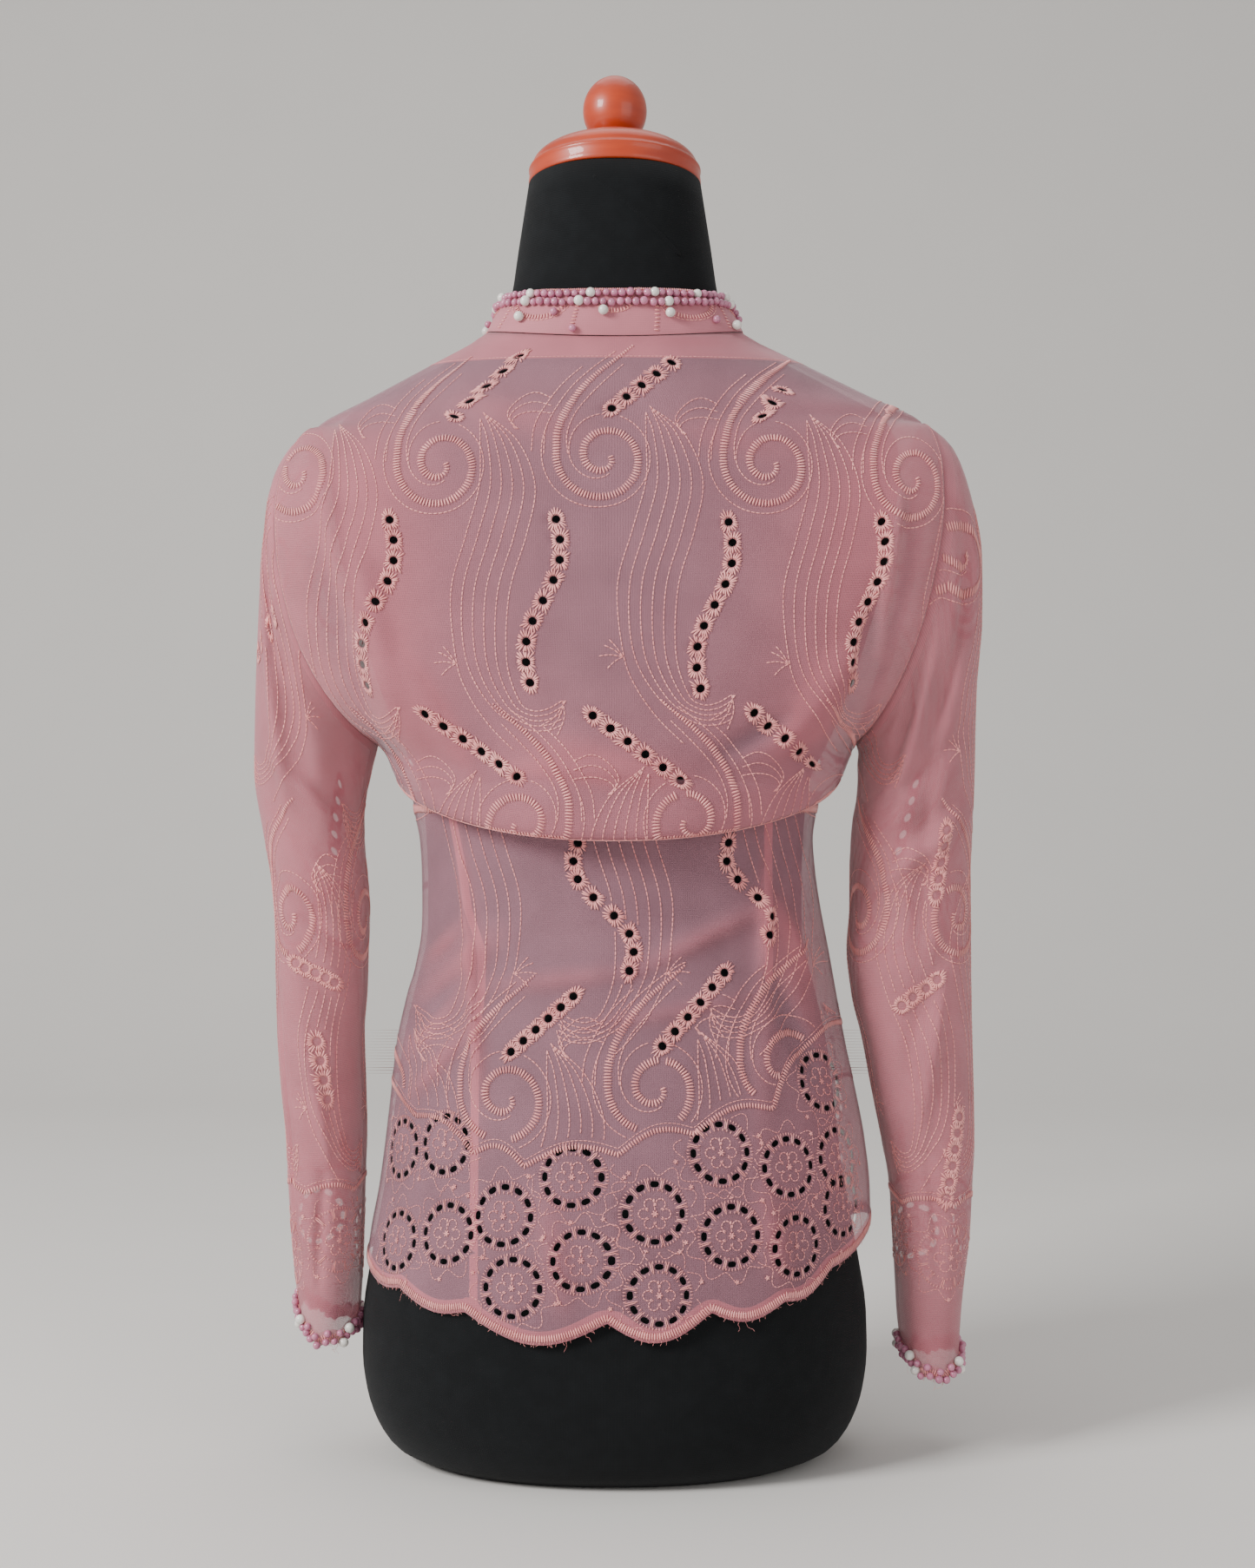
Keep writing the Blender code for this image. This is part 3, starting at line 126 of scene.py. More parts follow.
# The tables from here on are in tenths of a millimetre, with angles in degrees.
# The form, from the flat base up to the neck: height, and its reach to the sides, the back and the front
FORM_ROWS = tenths([
    (0, 1200, 860, 810), (80, 1385, 995, 940), (240, 1500, 1090, 1030), (420, 1560, 1135, 1075),
    (650, 1588, 1160, 1095), (900, 1582, 1170, 1105), (1250, 1530, 1165, 1100), (1740, 1440, 1130, 1075),
    (2200, 1382, 1070, 1050), (2570, 1335, 1000, 1025), (2900, 1262, 925, 1005), (3300, 1178, 852, 995),
    (3600, 1178, 852, 998), (3900, 1190, 890, 1015), (4210, 1225, 950, 1045), (4500, 1365, 985, 1090),
    (5000, 1550, 990, 1135), (5400, 1670, 960, 1080), (5800, 1755, 905, 950), (6100, 1790, 840, 850),
    (6300, 1790, 770, 765), (6420, 1750, 728, 722), (6520, 1680, 690, 685), (6620, 1500, 655, 650),
    (6740, 1270, 618, 620), (6860, 1040, 590, 592), (6950, 885, 573, 576), (7040, 755, 566, 568),
    (7150, 692, 562, 562), (7280, 652, 558, 558), (7570, 608, 545, 545), (7970, 545, 520, 520),
])

# The armholes: the shoulder tip, the underarm point, how far the seam bows out at the back and the front,
# and how far it reaches to the back and the front
ARMHOLES = {
    "left": dict(top=(0.186, 0.645), under=(0.15, 0.446), bow=(0.034, 0.018), reach=(0.07, 0.064)),
    "right": dict(top=(0.193, 0.6475), under=(0.152, 0.447), bow=(0.021, 0.016), reach=(0.069, 0.064)),
}

# The side seams: height, and how far out the wearer's left and right seams lie
SIDE_SEAM_ROWS = tenths([
    (300, 1590, 1615), (1000, 1570, 1615), (1250, 1560, 1612), (1740, 1468, 1600), (2070, 1428, 1557),
    (2570, 1372, 1450), (2900, 1300, 1390), (3060, 1235, 1364), (3230, 1215, 1330), (3560, 1208, 1268),
    (3890, 1228, 1242), (3980, 1250, 1260), (4050, 1262, 1272), (4090, 1268, 1282), (4120, 1275, 1295),
    (4150, 1288, 1315), (4175, 1306, 1340), (4200, 1328, 1368), (4225, 1350, 1395), (4260, 1372, 1420),
    (4320, 1405, 1450), (4390, 1440, 1480), (4480, 1500, 1520),
])

# Rows of the blouse's body from the neckline down. A row ends on a seam: at a share of the shoulder's
# length, an angle round the armhole in degrees from its top, or a height on the side seam. The other
# columns are the row's height and reach at the centre back, then at the centre front. Rows 16 to 26 are
# the fold in which the blouse's loose back hangs over the waist.
BODICE = {
    "shoulder": (100, (
        (0, 6920, 590, 6720, 620), (18, 6865, 615, 6640, 640), (36, 6790, 650, 6550, 675),
        (54, 6700, 690, 6450, 725), (72, 6600, 735, 6340, 780), (100, 6480, 782, 6210, 845),
    )),
    "armhole": (1, (
        (20, 6345, 835, 6075, 905), (32, 6170, 890, 5920, 970), (50, 5970, 940, 5740, 1040),
        (68, 5750, 985, 5540, 1110), (86, 5510, 1020, 5330, 1170), (104, 5250, 1050, 5110, 1205),
        (122, 4970, 1075, 4890, 1210), (140, 4690, 1100, 4670, 1190), (157, 4450, 1120, 4480, 1165),
        (172, 4270, 1135, 4340, 1145),
    )),
    "side": (10000, (
        (4390, 4100, 1142, 4250, 1130), (4320, 3960, 1136, 4195, 1122), (4260, 3890, 1118, 4155, 1115),
        (4225, 3868, 1088, 4125, 1110), (4200, 3905, 1056, 4095, 1106), (4175, 4040, 1034, 4065, 1102),
        (4150, 4180, 1020, 4035, 1098), (4120, 4240, 1004, 4000, 1093), (4090, 4185, 985, 3960, 1088),
        (4050, 4040, 965, 3910, 1081), (3980, 3900, 935, 3850, 1073), (3850, 3760, 905, 3740, 1058),
        (3650, 3580, 882, 3580, 1045), (3420, 3370, 880, 3380, 1040), (3160, 3130, 908, 3150, 1043),
        (2880, 2870, 962, 2890, 1055), (2580, 2590, 1028, 2610, 1072), (2280, 2300, 1085, 2320, 1090),
        (1980, 2010, 1135, 2030, 1108), (1680, 1720, 1172, 1740, 1125), (1400, 1450, 1195, 1470, 1138),
        (1120, 1180, 1208, 1190, 1147), (860, 910, 1213, 910, 1152), (600, 650, 1215, 650, 1154),
    )),
}
BODICE_ROWS = [(edge, place / unit, *tenths(row)) for edge, (unit, rows) in BODICE.items() for place,
               *row in rows]
FOLD_HEIGHT = 0.4
FOLD_BOTTOM_ROW = 17.0
FOLD_TOP_ROW = 26.0
SEAM_TURN = {"shoulder": 90.0, "armhole": 78.0, "side": 90.0}

# Hem scallops, each from its first point to the next row's: x, height, and how far the scallop drops
BACK_HEM = tenths([
    (-1620, 1480, 30), (-1300, 1290, 60), (-1010, 1140, 80), (-570, 1110, 140), (40, 1060, 150),
    (880, 1090, 60), (1290, 1170, 60), (1580, 1270, 0),
])
FRONT_HEM = tenths([
    (-1620, 1480, 50), (-1260, 1300, 80), (-840, 1160, 120), (-320, 1060, 80), (0, 1040, 80),
    (320, 1060, 120), (840, 1140, 80), (1260, 1200, 50), (1580, 1270, 0),
])

# Sleeve rings below the armhole: the outer and inner points, x then z, the reach to the back and the
# front, and how far the ring bows out
SLEEVE_ROWS = {
    "left": tenths([
        (1980, 6330, 1515, 4395, 670, 620, 300), (2080, 6050, 1535, 4320, 635, 595, 230),
        (2170, 5700, 1555, 4230, 605, 575, 150), (2225, 5260, 1580, 4120, 580, 560, 70),
        (2255, 4770, 1595, 3970, 560, 545, 20), (2266, 4300, 1590, 3790, 540, 525, 0),
        (2215, 3930, 1570, 3600, 525, 510, 0), (2160, 3620, 1560, 3400, 505, 495, 0),
        (2135, 3300, 1566, 3180, 490, 480, 0), (2130, 2960, 1572, 2920, 475, 465, 0),
        (2120, 2620, 1592, 2620, 460, 450, 0), (2098, 2300, 1582, 2300, 445, 435, 0),
        (2068, 1990, 1575, 1990, 430, 420, 0), (2055, 1680, 1582, 1680, 415, 410, 0),
        (2035, 1380, 1592, 1380, 405, 400, 0), (2008, 1100, 1600, 1100, 395, 390, 0),
        (1975, 850, 1615, 850, 385, 380, 0), (1950, 600, 1625, 600, 375, 370, 0),
        (1940, 400, 1630, 400, 370, 365, 0),
    ]),
    "right": tenths([
        (2080, 6350, 1546, 4392, 665, 600, 190), (2205, 6050, 1538, 4320, 640, 580, 150),
        (2285, 5680, 1540, 4225, 610, 575, 100), (2300, 5250, 1532, 4100, 585, 560, 50),
        (2270, 4770, 1508, 3960, 565, 545, 20), (2262, 4300, 1495, 3790, 550, 530, 0),
        (2250, 3930, 1492, 3600, 535, 515, 0), (2236, 3600, 1490, 3400, 515, 500, 0),
        (2240, 3260, 1472, 3160, 500, 485, 0), (2244, 2920, 1500, 2880, 485, 470, 0),
        (2250, 2580, 1570, 2580, 470, 455, 0), (2258, 2260, 1630, 2260, 455, 440, 0),
        (2262, 1960, 1690, 1960, 440, 425, 0), (2250, 1660, 1740, 1660, 425, 415, 0),
        (2232, 1370, 1760, 1370, 415, 405, 0), (2200, 1090, 1775, 1090, 405, 395, 0),
        (2175, 830, 1790, 830, 395, 385, 0), (2162, 570, 1820, 570, 385, 375, 0),
        (2150, 350, 1830, 350, 380, 370, 0),
    ]),
}

# Cuff edges: height at the outer side, at the middle of the back and front, and at the inner side
CUFFS = {"left": (0.09, 0.072, 0.078), "right": (0.059, 0.05, 0.062)}

# Soft folds of the panels, as seen from outside, from one point to another: which panel, x and height at
# each end, half-width, and how far the cloth is raised or, below zero, let down
PANEL_FOLDS = {
    "back": (
        (1120, 4350, 1500, 5000, 120, 50), (1400, 4200, 1780, 5600, 100, -40),
        (-1000, 4400, -1500, 5000, 120, 50), (-1480, 4600, -1760, 5700, 100, -40),
        (-300, 4280, 600, 4450, 110, 35), (700, 3300, 1180, 2900, 90, 45), (860, 3050, 1260, 2550, 80, 40),
        (-940, 3450, -1200, 2700, 100, 40), (860, 3800, 800, 2000, 70, 20),
        (-930, 3800, -880, 2000, 70, 20),
    ),
    "front": (
        (1200, 5600, 600, 5000, 120, 40), (-1200, 5600, -600, 5050, 120, 40),
        (1000, 3800, 1180, 2800, 100, 40), (-1000, 3850, -1240, 2750, 100, 40),
    ),
}

# Soft folds of the sleeves: sleeve, angle round it in degrees and height at each end, half-width, height
SLEEVE_FOLDS = {
    "right": (
        (62, 6000, 100, 4200, 90, -60), (95, 5600, 112, 4000, 70, 35), (40, 4200, 120, 3750, 100, -35),
        (60, 3300, 118, 2300, 90, -35), (250, 5200, 300, 4200, 110, -50), (235, 3600, 300, 3100, 100, -40),
    ),
    "left": (
        (80, 5500, 96, 4300, 110, -40), (50, 4100, 128, 3700, 100, -40), (60, 3300, 120, 2800, 100, -35),
        (240, 5000, 290, 4000, 110, -50), (245, 3500, 310, 3000, 100, -40),
    ),
}

# Lines of eyelets: panel, x and height of the first, the run to the last, the sway to each side, how many
EYELET_LINES = {
    "back": (
        (1333, 5770, 133, -980, 60, 9), (342, 5765, 150, -970, 60, 9), (-679, 5750, 170, -990, 60, 9),
        (-1594, 5765, 160, -960, 50, 9), (215, 3850, -306, -760, -90, 8), (-684, 3850, -230, -560, -60, 6),
        (-347, 6750, 362, -300, 0, 5), (577, 6800, 383, -390, 0, 5), (-1020, 6590, 130, -180, 0, 3),
        (1098, 4614, -531, -370, 0, 6), (123, 4600, -511, -380, 0, 6), (-827, 4620, -360, -300, 0, 5),
        (240, 2940, 370, -330, 0, 6), (-659, 3070, 373, -420, 0, 6),
    ),
    "left_front": (
        (450, 5100, 130, -960, 60, 8), (1200, 5300, 130, -960, 50, 8), (500, 3300, 160, -700, 60, 6),
    ),
    "right_front": (
        (-450, 5100, -130, -960, -60, 8), (-1200, 5300, -130, -960, -50, 8),
        (-500, 3300, -160, -700, -60, 6),
    ),
}

# Lines of eyelets down the sleeves: sleeve, angle round it and height of the first, the run, how many
SLEEVE_EYELETS = (
    ("left", 70.0, 0.31, 45.0, -0.012, 5),
    ("left", 95.0, 0.262, 8.0, -0.036, 4),
    ("left", 40.0, 0.5, 45.0, 0.022, 4),
    ("right", 70.0, 0.392, 6.0, -0.04, 5),
    ("right", 60.0, 0.215, 22.0, -0.05, 6),
    ("right", 75.0, 0.3, 30.0, -0.016, 4),
    ("left", 250.0, 0.42, 12.0, -0.044, 5),
    ("right", 280.0, 0.42, -12.0, -0.044, 5),
)

# The middle of the whole object's box, before it is brought over the origin
BOX_MIDDLE = (-0.0017, -0.0014)

EYELET_SIDES = 14
SLOT_SIDES = 10

# Sewing, as it measures on the cloth
RUNNING_LENGTH = 3.0 * MM
RUNNING_GAP = 0.35 * MM
RUNNING_WIDTH = 0.78 * MM
SATIN_WIDTH = 1.15 * MM
SATIN_SPACING = 1.8 * MM
SATIN_LIFT = 0.15 * MM
BAND_HALF = 2.4 * MM
THREAD_SINK = 0.15
EYELET_BAND = 5.4 * MM
EYELET_SPOKES = 22
ROW_NUDGE = 0.02
EDGE_SHARE = 0.985
FINE_STITCH = 2.2 * MM
FINE_THREAD = 0.55 * MM

# A border ring's rim, the bars between its slots, its flower, and the winding line and knots round it
RIM_THREAD = 0.62 * MM
BAR_THREAD = 0.7 * MM
FLOWER_RADIUS = 6.6 * MM
PETAL_RADIUS = 3.1 * MM
KNOT_THREAD = 0.9 * MM
KNOT_RADIUS = 27.0 * MM
WINDINGS = 9
WINDING_RADIUS = 24.6
WINDING_SWAY = 3.4
WINDING_STITCH = 2.4 * MM

# The repeat of the cloth's design: spirals with a feathered tail, leaves of running lines, crescents, sprigs
ROUNDING = 1.8
SPIRAL_OUTER = 28.5
SPIRAL_INNER = 4.0
TAIL = ((-28.5, 0.0), (-28.0, 14.0), (-23.0, 28.0), (-14.5, 42.0), (-3.0, 54.0), (9.0, 64.0), (17.0, 71.0))
LOOSE_LINE = ((150.0, 39.0), (200.0, 36.0), (270.0, 30.5), (360.0, 27.5), (450.0, 27.0), (540.0, 20.5),
              (600.0, 15.0), (650.0, 10.5))
LEAF_LINES = 6
SPRIG_RAYS = ((3.0, -109.5), (0.0, -113.0), (-3.0, -119.5), (2.0, -127.0))

# Where the design's spirals lie on the back: across and height of the middle, and which way round
UPPER_CELLS = (
    (2060, 6080, 1), (1060, 6110, 1), (60, 6146, 1), (-940, 6110, 1), (-1920, 6040, 1), (1530, 3960, -1),
    (546, 3960, -1), (-450, 3980, -1), (-1450, 3990, -1),
)
LOWER_CELLS = (
    (1400, 4270, -1), (481, 4262, -1), (-429, 4270, -1), (-1340, 4290, -1), (1530, 2380, 1), (646, 2344, 1),
    (-248, 2406, 1), (-1040, 2535, 1),
)
FRONT_CELLS = (
    (1900, 5750, 1), (900, 5720, 1), (-100, 5720, 1), (-1100, 5720, 1), (-2050, 5720, 1), (1400, 3750, -1),
    (400, 3750, -1), (-600, 3750, -1), (-1550, 3750, -1), (900, 2450, 1), (-100, 2400, 1), (-1100, 2450, 1),
)
SLEEVE_CELLS = (
    (600, 5800, 1), (1500, 5500, 1), (-500, 5600, 1), (-1300, 5400, 1), (150, 3400, -1), (950, 3360, -1),
    (-650, 3400, -1), (1650, 3380, -1),
)
SLEEVE_ROUND = 45.0 * MM

# The border above the hem: cusps of the satin line that tops it, and the middles of its rings
BACK_BORDER = tenths([
    (1700, 2400), (1200, 2191), (828, 2014), (525, 1953), (-27, 2029), (-472, 2141), (-943, 2267),
    (-1130, 2571), (-1450, 2697), (-1750, 2750),
])
FRONT_BORDER = tenths([
    (1700, 2700), (1350, 2300), (900, 2100), (450, 2000), (0, 1950), (-450, 2000), (-900, 2100),
    (-1350, 2200), (-1750, 2400),
])
BORDER_RISE = 8.0 * MM
BACK_RINGS = tenths([
    (245, 1900), (-240, 1690), (648, 1660), (-630, 2030), (-1039, 1923), (-1356, 1938), (1010, 2050),
    (1290, 1980), (990, 1533), (1310, 1440), (191, 1422), (-690, 1549), (-1079, 1458), (596, 1250),
    (-265, 1220), (-1258, 2394), (-1380, 1640),
])
FRONT_RINGS = tenths([
    (180, 1480), (180, 1480), (550, 1720), (550, 1240), (985, 1560), (985, 2030), (1380, 1760),
    (1380, 2180),
])
SLEEVE_RINGS = ((28.0, 0.128), (118.0, 0.138), (208.0, 0.13), (298.0, 0.14))
SLEEVE_BORDER = {"left": 0.168, "right": 0.16}

# Fine creases, with the columns of the folds above, and how much deeper they are made
CREASE_GAIN = 1.55
CREASES = {
    "back": (
        (760, 2990, -120, 3090, 60, 24), (-120, 3090, -910, 3460, 60, 27), (180, 2770, -800, 2920, 50, 19),
        (500, 3250, -200, 3330, 50, -15), (960, 4000, 860, 3200, 35, 33), (860, 3200, 800, 2350, 35, 30),
        (920, 3350, 1160, 3100, 50, 30), (900, 3050, 1220, 2700, 50, -27), (860, 2750, 1240, 2300, 50, 30),
        (-910, 3900, -900, 3100, 35, 24), (-980, 3500, -1200, 3000, 50, 27),
        (-950, 3000, -1220, 2400, 60, -24), (1560, 5700, 1280, 4700, 70, 27),
        (1750, 6100, 1600, 5300, 50, 30), (1250, 4900, 850, 4280, 80, 30), (600, 4300, -400, 4220, 60, 27),
        (-600, 4350, -1050, 4600, 60, -24), (-1700, 5950, -1600, 5000, 50, 33),
        (-1550, 5200, -1350, 4500, 60, -27), (900, 6500, 200, 6300, 100, 18),
        (-300, 6350, -1000, 6200, 90, 15), (400, 1750, 300, 1150, 80, 24),
        (-900, 1800, -1000, 1250, 80, 27),
    ),
    "front": (
        (900, 4600, 1200, 5400, 70, 30), (-900, 4600, -1200, 5400, 70, 30), (350, 4000, 1050, 3600, 60, 24),
        (-400, 4050, -1050, 3700, 60, 27), (300, 3400, 1050, 3200, 60, -21),
        (-250, 3300, -1050, 3350, 60, 24), (150, 5300, 500, 3600, 60, 18), (-800, 2500, -900, 1300, 90, 33),
        (700, 2400, 780, 1300, 80, 30), (1250, 2800, 1400, 1600, 70, -27),
    ),
}
SLEEVE_CREASES = {
    "right": (
        (80, 6650, 74, 5450, 60, -36), (62, 6500, 56, 5500, 50, 26), (84, 4800, 88, 3100, 60, -26),
        (70, 6200, 92, 4700, 50, 34), (110, 5600, 128, 4300, 60, -41), (55, 4000, 118, 3600, 60, 31),
        (50, 4550, 125, 4050, 70, -27), (70, 3000, 105, 2000, 60, 31), (100, 1900, 88, 1100, 60, -24),
        (270, 4700, 310, 3900, 70, 37), (240, 3000, 300, 2700, 70, 31),
    ),
    "left": (
        (60, 6200, 74, 5000, 60, -30), (96, 6000, 84, 4900, 50, 24), (35, 2900, 42, 1200, 50, -28),
        (60, 5200, 80, 4100, 60, 31), (60, 4400, 120, 4000, 60, 31), (45, 3600, 115, 3250, 60, -27),
        (80, 2700, 100, 1900, 60, 27), (95, 1800, 85, 1100, 50, -20), (250, 4500, 300, 3700, 70, 37),
        (240, 2900, 300, 2600, 60, 27),
    ),
}

# Sewn edges and shapes of the blouse's details
BAND_STEPS = 36
BAND_SHELL = 1.3 * MM
BAND_WIDTH = 28.0 * MM
BAND_WAVER = 0.25 * MM
CUFF_POINT = 3.0 * MM
CUFF_POINTS = 9
EDGE_SHEER = 1.5 * MM
EDGE_SATIN = 4.5 * MM
FRAY_STEP = 0.006
FORM_COLUMNS = 96
FORM_GIRTH = 0.9
TURNED_STEPS = 96
NECK_SEAM = ((-38.0, 0.745), (12.0, 0.792))
PRINCESS_SEAM = ((0.08, 0.195), (0.08, 0.27), (0.077, 0.295), (0.077, 0.32), (0.086, 0.345),
                 (0.0895, 0.37), (0.0965, 0.405))
DART_X = -0.0905
DART_FOOT = 0.3
TUCK_WIDTH = 5.0 * MM

# Cloth shows as denser and pinker between these distances from the form; a fold's relief adds this much more,
# as painted shade: troughs greyer and darker, ridges pinker
FREED = (4.0 * MM, 30.0 * MM)
FOLD_SHADE_SHARE = 3.0
# Pearls: where their lines lie up the band, how far they stand out, and single ones along and up the band
PEARL_LINES = (0.87, 0.68)
PEARL_RISE = 0.42
LONE_WHITE = ((0.185, 0.33), (0.02, 0.5), (-0.105, 0.44), (-0.245, 0.1), (0.42, 0.4), (-0.47, 0.38),
              (0.66, 0.3))
LONE_PINK = ((0.115, 0.46), (-0.2, 0.26), (0.075, 0.12), (0.33, 0.22), (-0.36, 0.44), (-0.6, 0.24))
# A slot's length and width, and how far the design is turned round each sleeve
RIM_SLOT = (5.4 * MM, 3.5 * MM)
SLEEVE_SHIFT = {"left": -0.035, "right": 0.035}

CAMERA_PLACE = (-0.0063, 1.5014, 0.42)


def smooth(column, at):
    """Follow a table's column without overshoot, at places counted in rows."""
    column = np.asarray(column, float)
    at = np.clip(np.asarray(at, float), 0.0, len(column) - 1.0)
    steps = np.diff(column)
    slopes = np.zeros(len(column))
    same_way = steps[:-1] * steps[1:] > 0
    both = np.where(same_way, steps[:-1] + steps[1:], 1.0)
    slopes[1:-1] = np.where(same_way, 2.0 * steps[:-1] * steps[1:] / both, 0.0)
    slopes[0], slopes[-1] = steps[0], steps[-1]
    row = np.minimum(at.astype(int), len(column) - 2)
    t = at - row
    bend_start = slopes[row] * t * (1.0 - t) ** 2
    bend_end = slopes[row + 1] * t ** 2 * (t - 1.0)
    return column[row] + steps[row] * t ** 2 * (3.0 - 2.0 * t) + bend_start + bend_end


def rounded(value, power):
    """A sine or cosine raised to a section's power, keeping its sign."""
    return np.sign(value) * np.abs(value) ** power


def form_reach(z):
    return [np.interp(z, FORM_ROWS[:, 0], FORM_ROWS[:, column]) for column in (1, 2, 3)]


def size_in_form(points, rise):
    """A point's distance from the axis over the form's reach that way, some way above the point."""
    half_width, back, front = form_reach(points[:, 2] + rise)
    depth = np.where(points[:, 1] > 0, back, front)
    power = 2.0 / SECTION_POWER
    parts = np.abs(points[:, 0] / half_width) ** power + np.abs(points[:, 1] / depth) ** power
    return np.maximum(parts ** (1.0 / power), 1e-6)


def clear_of_form(points, clearance):
    """Move points outwards, level, until they are clear of the form: further where it slopes."""
    distance = np.hypot(points[:, 0], points[:, 1])
    size = size_in_form(points, 0.0)
    surface = distance / size
    slope = (surface - distance / size_in_form(points, SLOPE_STEP)) / SLOPE_STEP
    grow = np.maximum(size, 1.0 + clearance * np.hypot(1.0, slope) / surface) / size
    moved = points.copy()
    moved[:, 0] *= grow
    moved[:, 1] *= grow
    return moved


def form_point(angle, z, clearance=0.0):
    """A point of the form at an angle from the centre back towards the wearer's left."""
    half_width, back, front = form_reach(z)
    depth = np.where(np.cos(angle) > 0, back, front)
    x = half_width * rounded(np.sin(angle), SECTION_POWER)
    y = depth * rounded(np.cos(angle), SECTION_POWER)
    grow = 1.0 + clearance / np.hypot(x, y)
    return columns(x * grow, y * grow, z + 0.0 * x)


def armhole_point(hand, angle):
    """The armhole seam on the outward side: 0 degrees is the shoulder tip, 90 the back, 180 the underarm."""
    hole = ARMHOLES[hand]
    top, under = np.array(hole["top"]), np.array(hole["under"])
    rise = rounded(math.cos(math.radians(angle)), SLEEVE_POWER)
    swing = rounded(math.sin(math.radians(angle)), SLEEVE_POWER)
    side = 0 if swing > 0 else 1
    x, z = (top + under) / 2 + (top - under) / 2 * rise
    return np.array([x + hole["bow"][side] * swing ** 2, hole["reach"][side] * swing, z])


def seam_point(row, facing, hand):
    """Where a row of the body ends: on the shoulder seam, the armhole or the side seam."""
    edge, place = row[0], row[1]
    if edge == "armhole":
        return armhole_point(hand, place * facing)
    if edge == "shoulder":
        neck = np.array([NECK_SIDE_X, 0.0, NECK_SIDE_Z])
        point = neck + (armhole_point(hand, 0.0) - neck) * place
    else:
        reach = SIDE_SEAM_ROWS[:, 1 if hand == "left" else 2]
        point = np.array([np.interp(place, SIDE_SEAM_ROWS[:, 0], reach), 0.0, place])
    return point + np.array([0.0, facing * SEAM_GAP / 2, 0.0])


SEAMS = {
    (facing, hand): np.array([seam_point(row, facing, hand) for row in BODICE_ROWS])
    for facing in (1, -1)
    for hand in ("left", "right")
}
TURNS = [math.radians(SEAM_TURN[row[0]]) for row in BODICE_ROWS]


def folds_of(broad, fine):
    """The broad folds and fine creases of one panel or sleeve, with the creases deepened."""
    folds = tenths(broad + fine)
    folds[len(broad):, -1] *= CREASE_GAIN
    return folds


def raised_by(folds, u, v):
    """How far folds raise the cloth at places: each is a segment with a half width and a height."""
    start_u, start_v, end_u, end_v, half_width, height = folds.T
    run_u, run_v = end_u - start_u, end_v - start_v
    past_u, past_v = u[:, None] - start_u, v[:, None] - start_v
    held = np.clip((past_u * run_u + past_v * run_v) / (run_u ** 2 + run_v ** 2), 0.0, 1.0)
    distance = np.hypot(past_u - held * run_u, past_v - held * run_v)
    fade = 0.35 + 0.65 * np.sin(np.pi * held)
    return (height * fade * np.exp(-(distance / half_width) ** 2)).sum(axis=1)


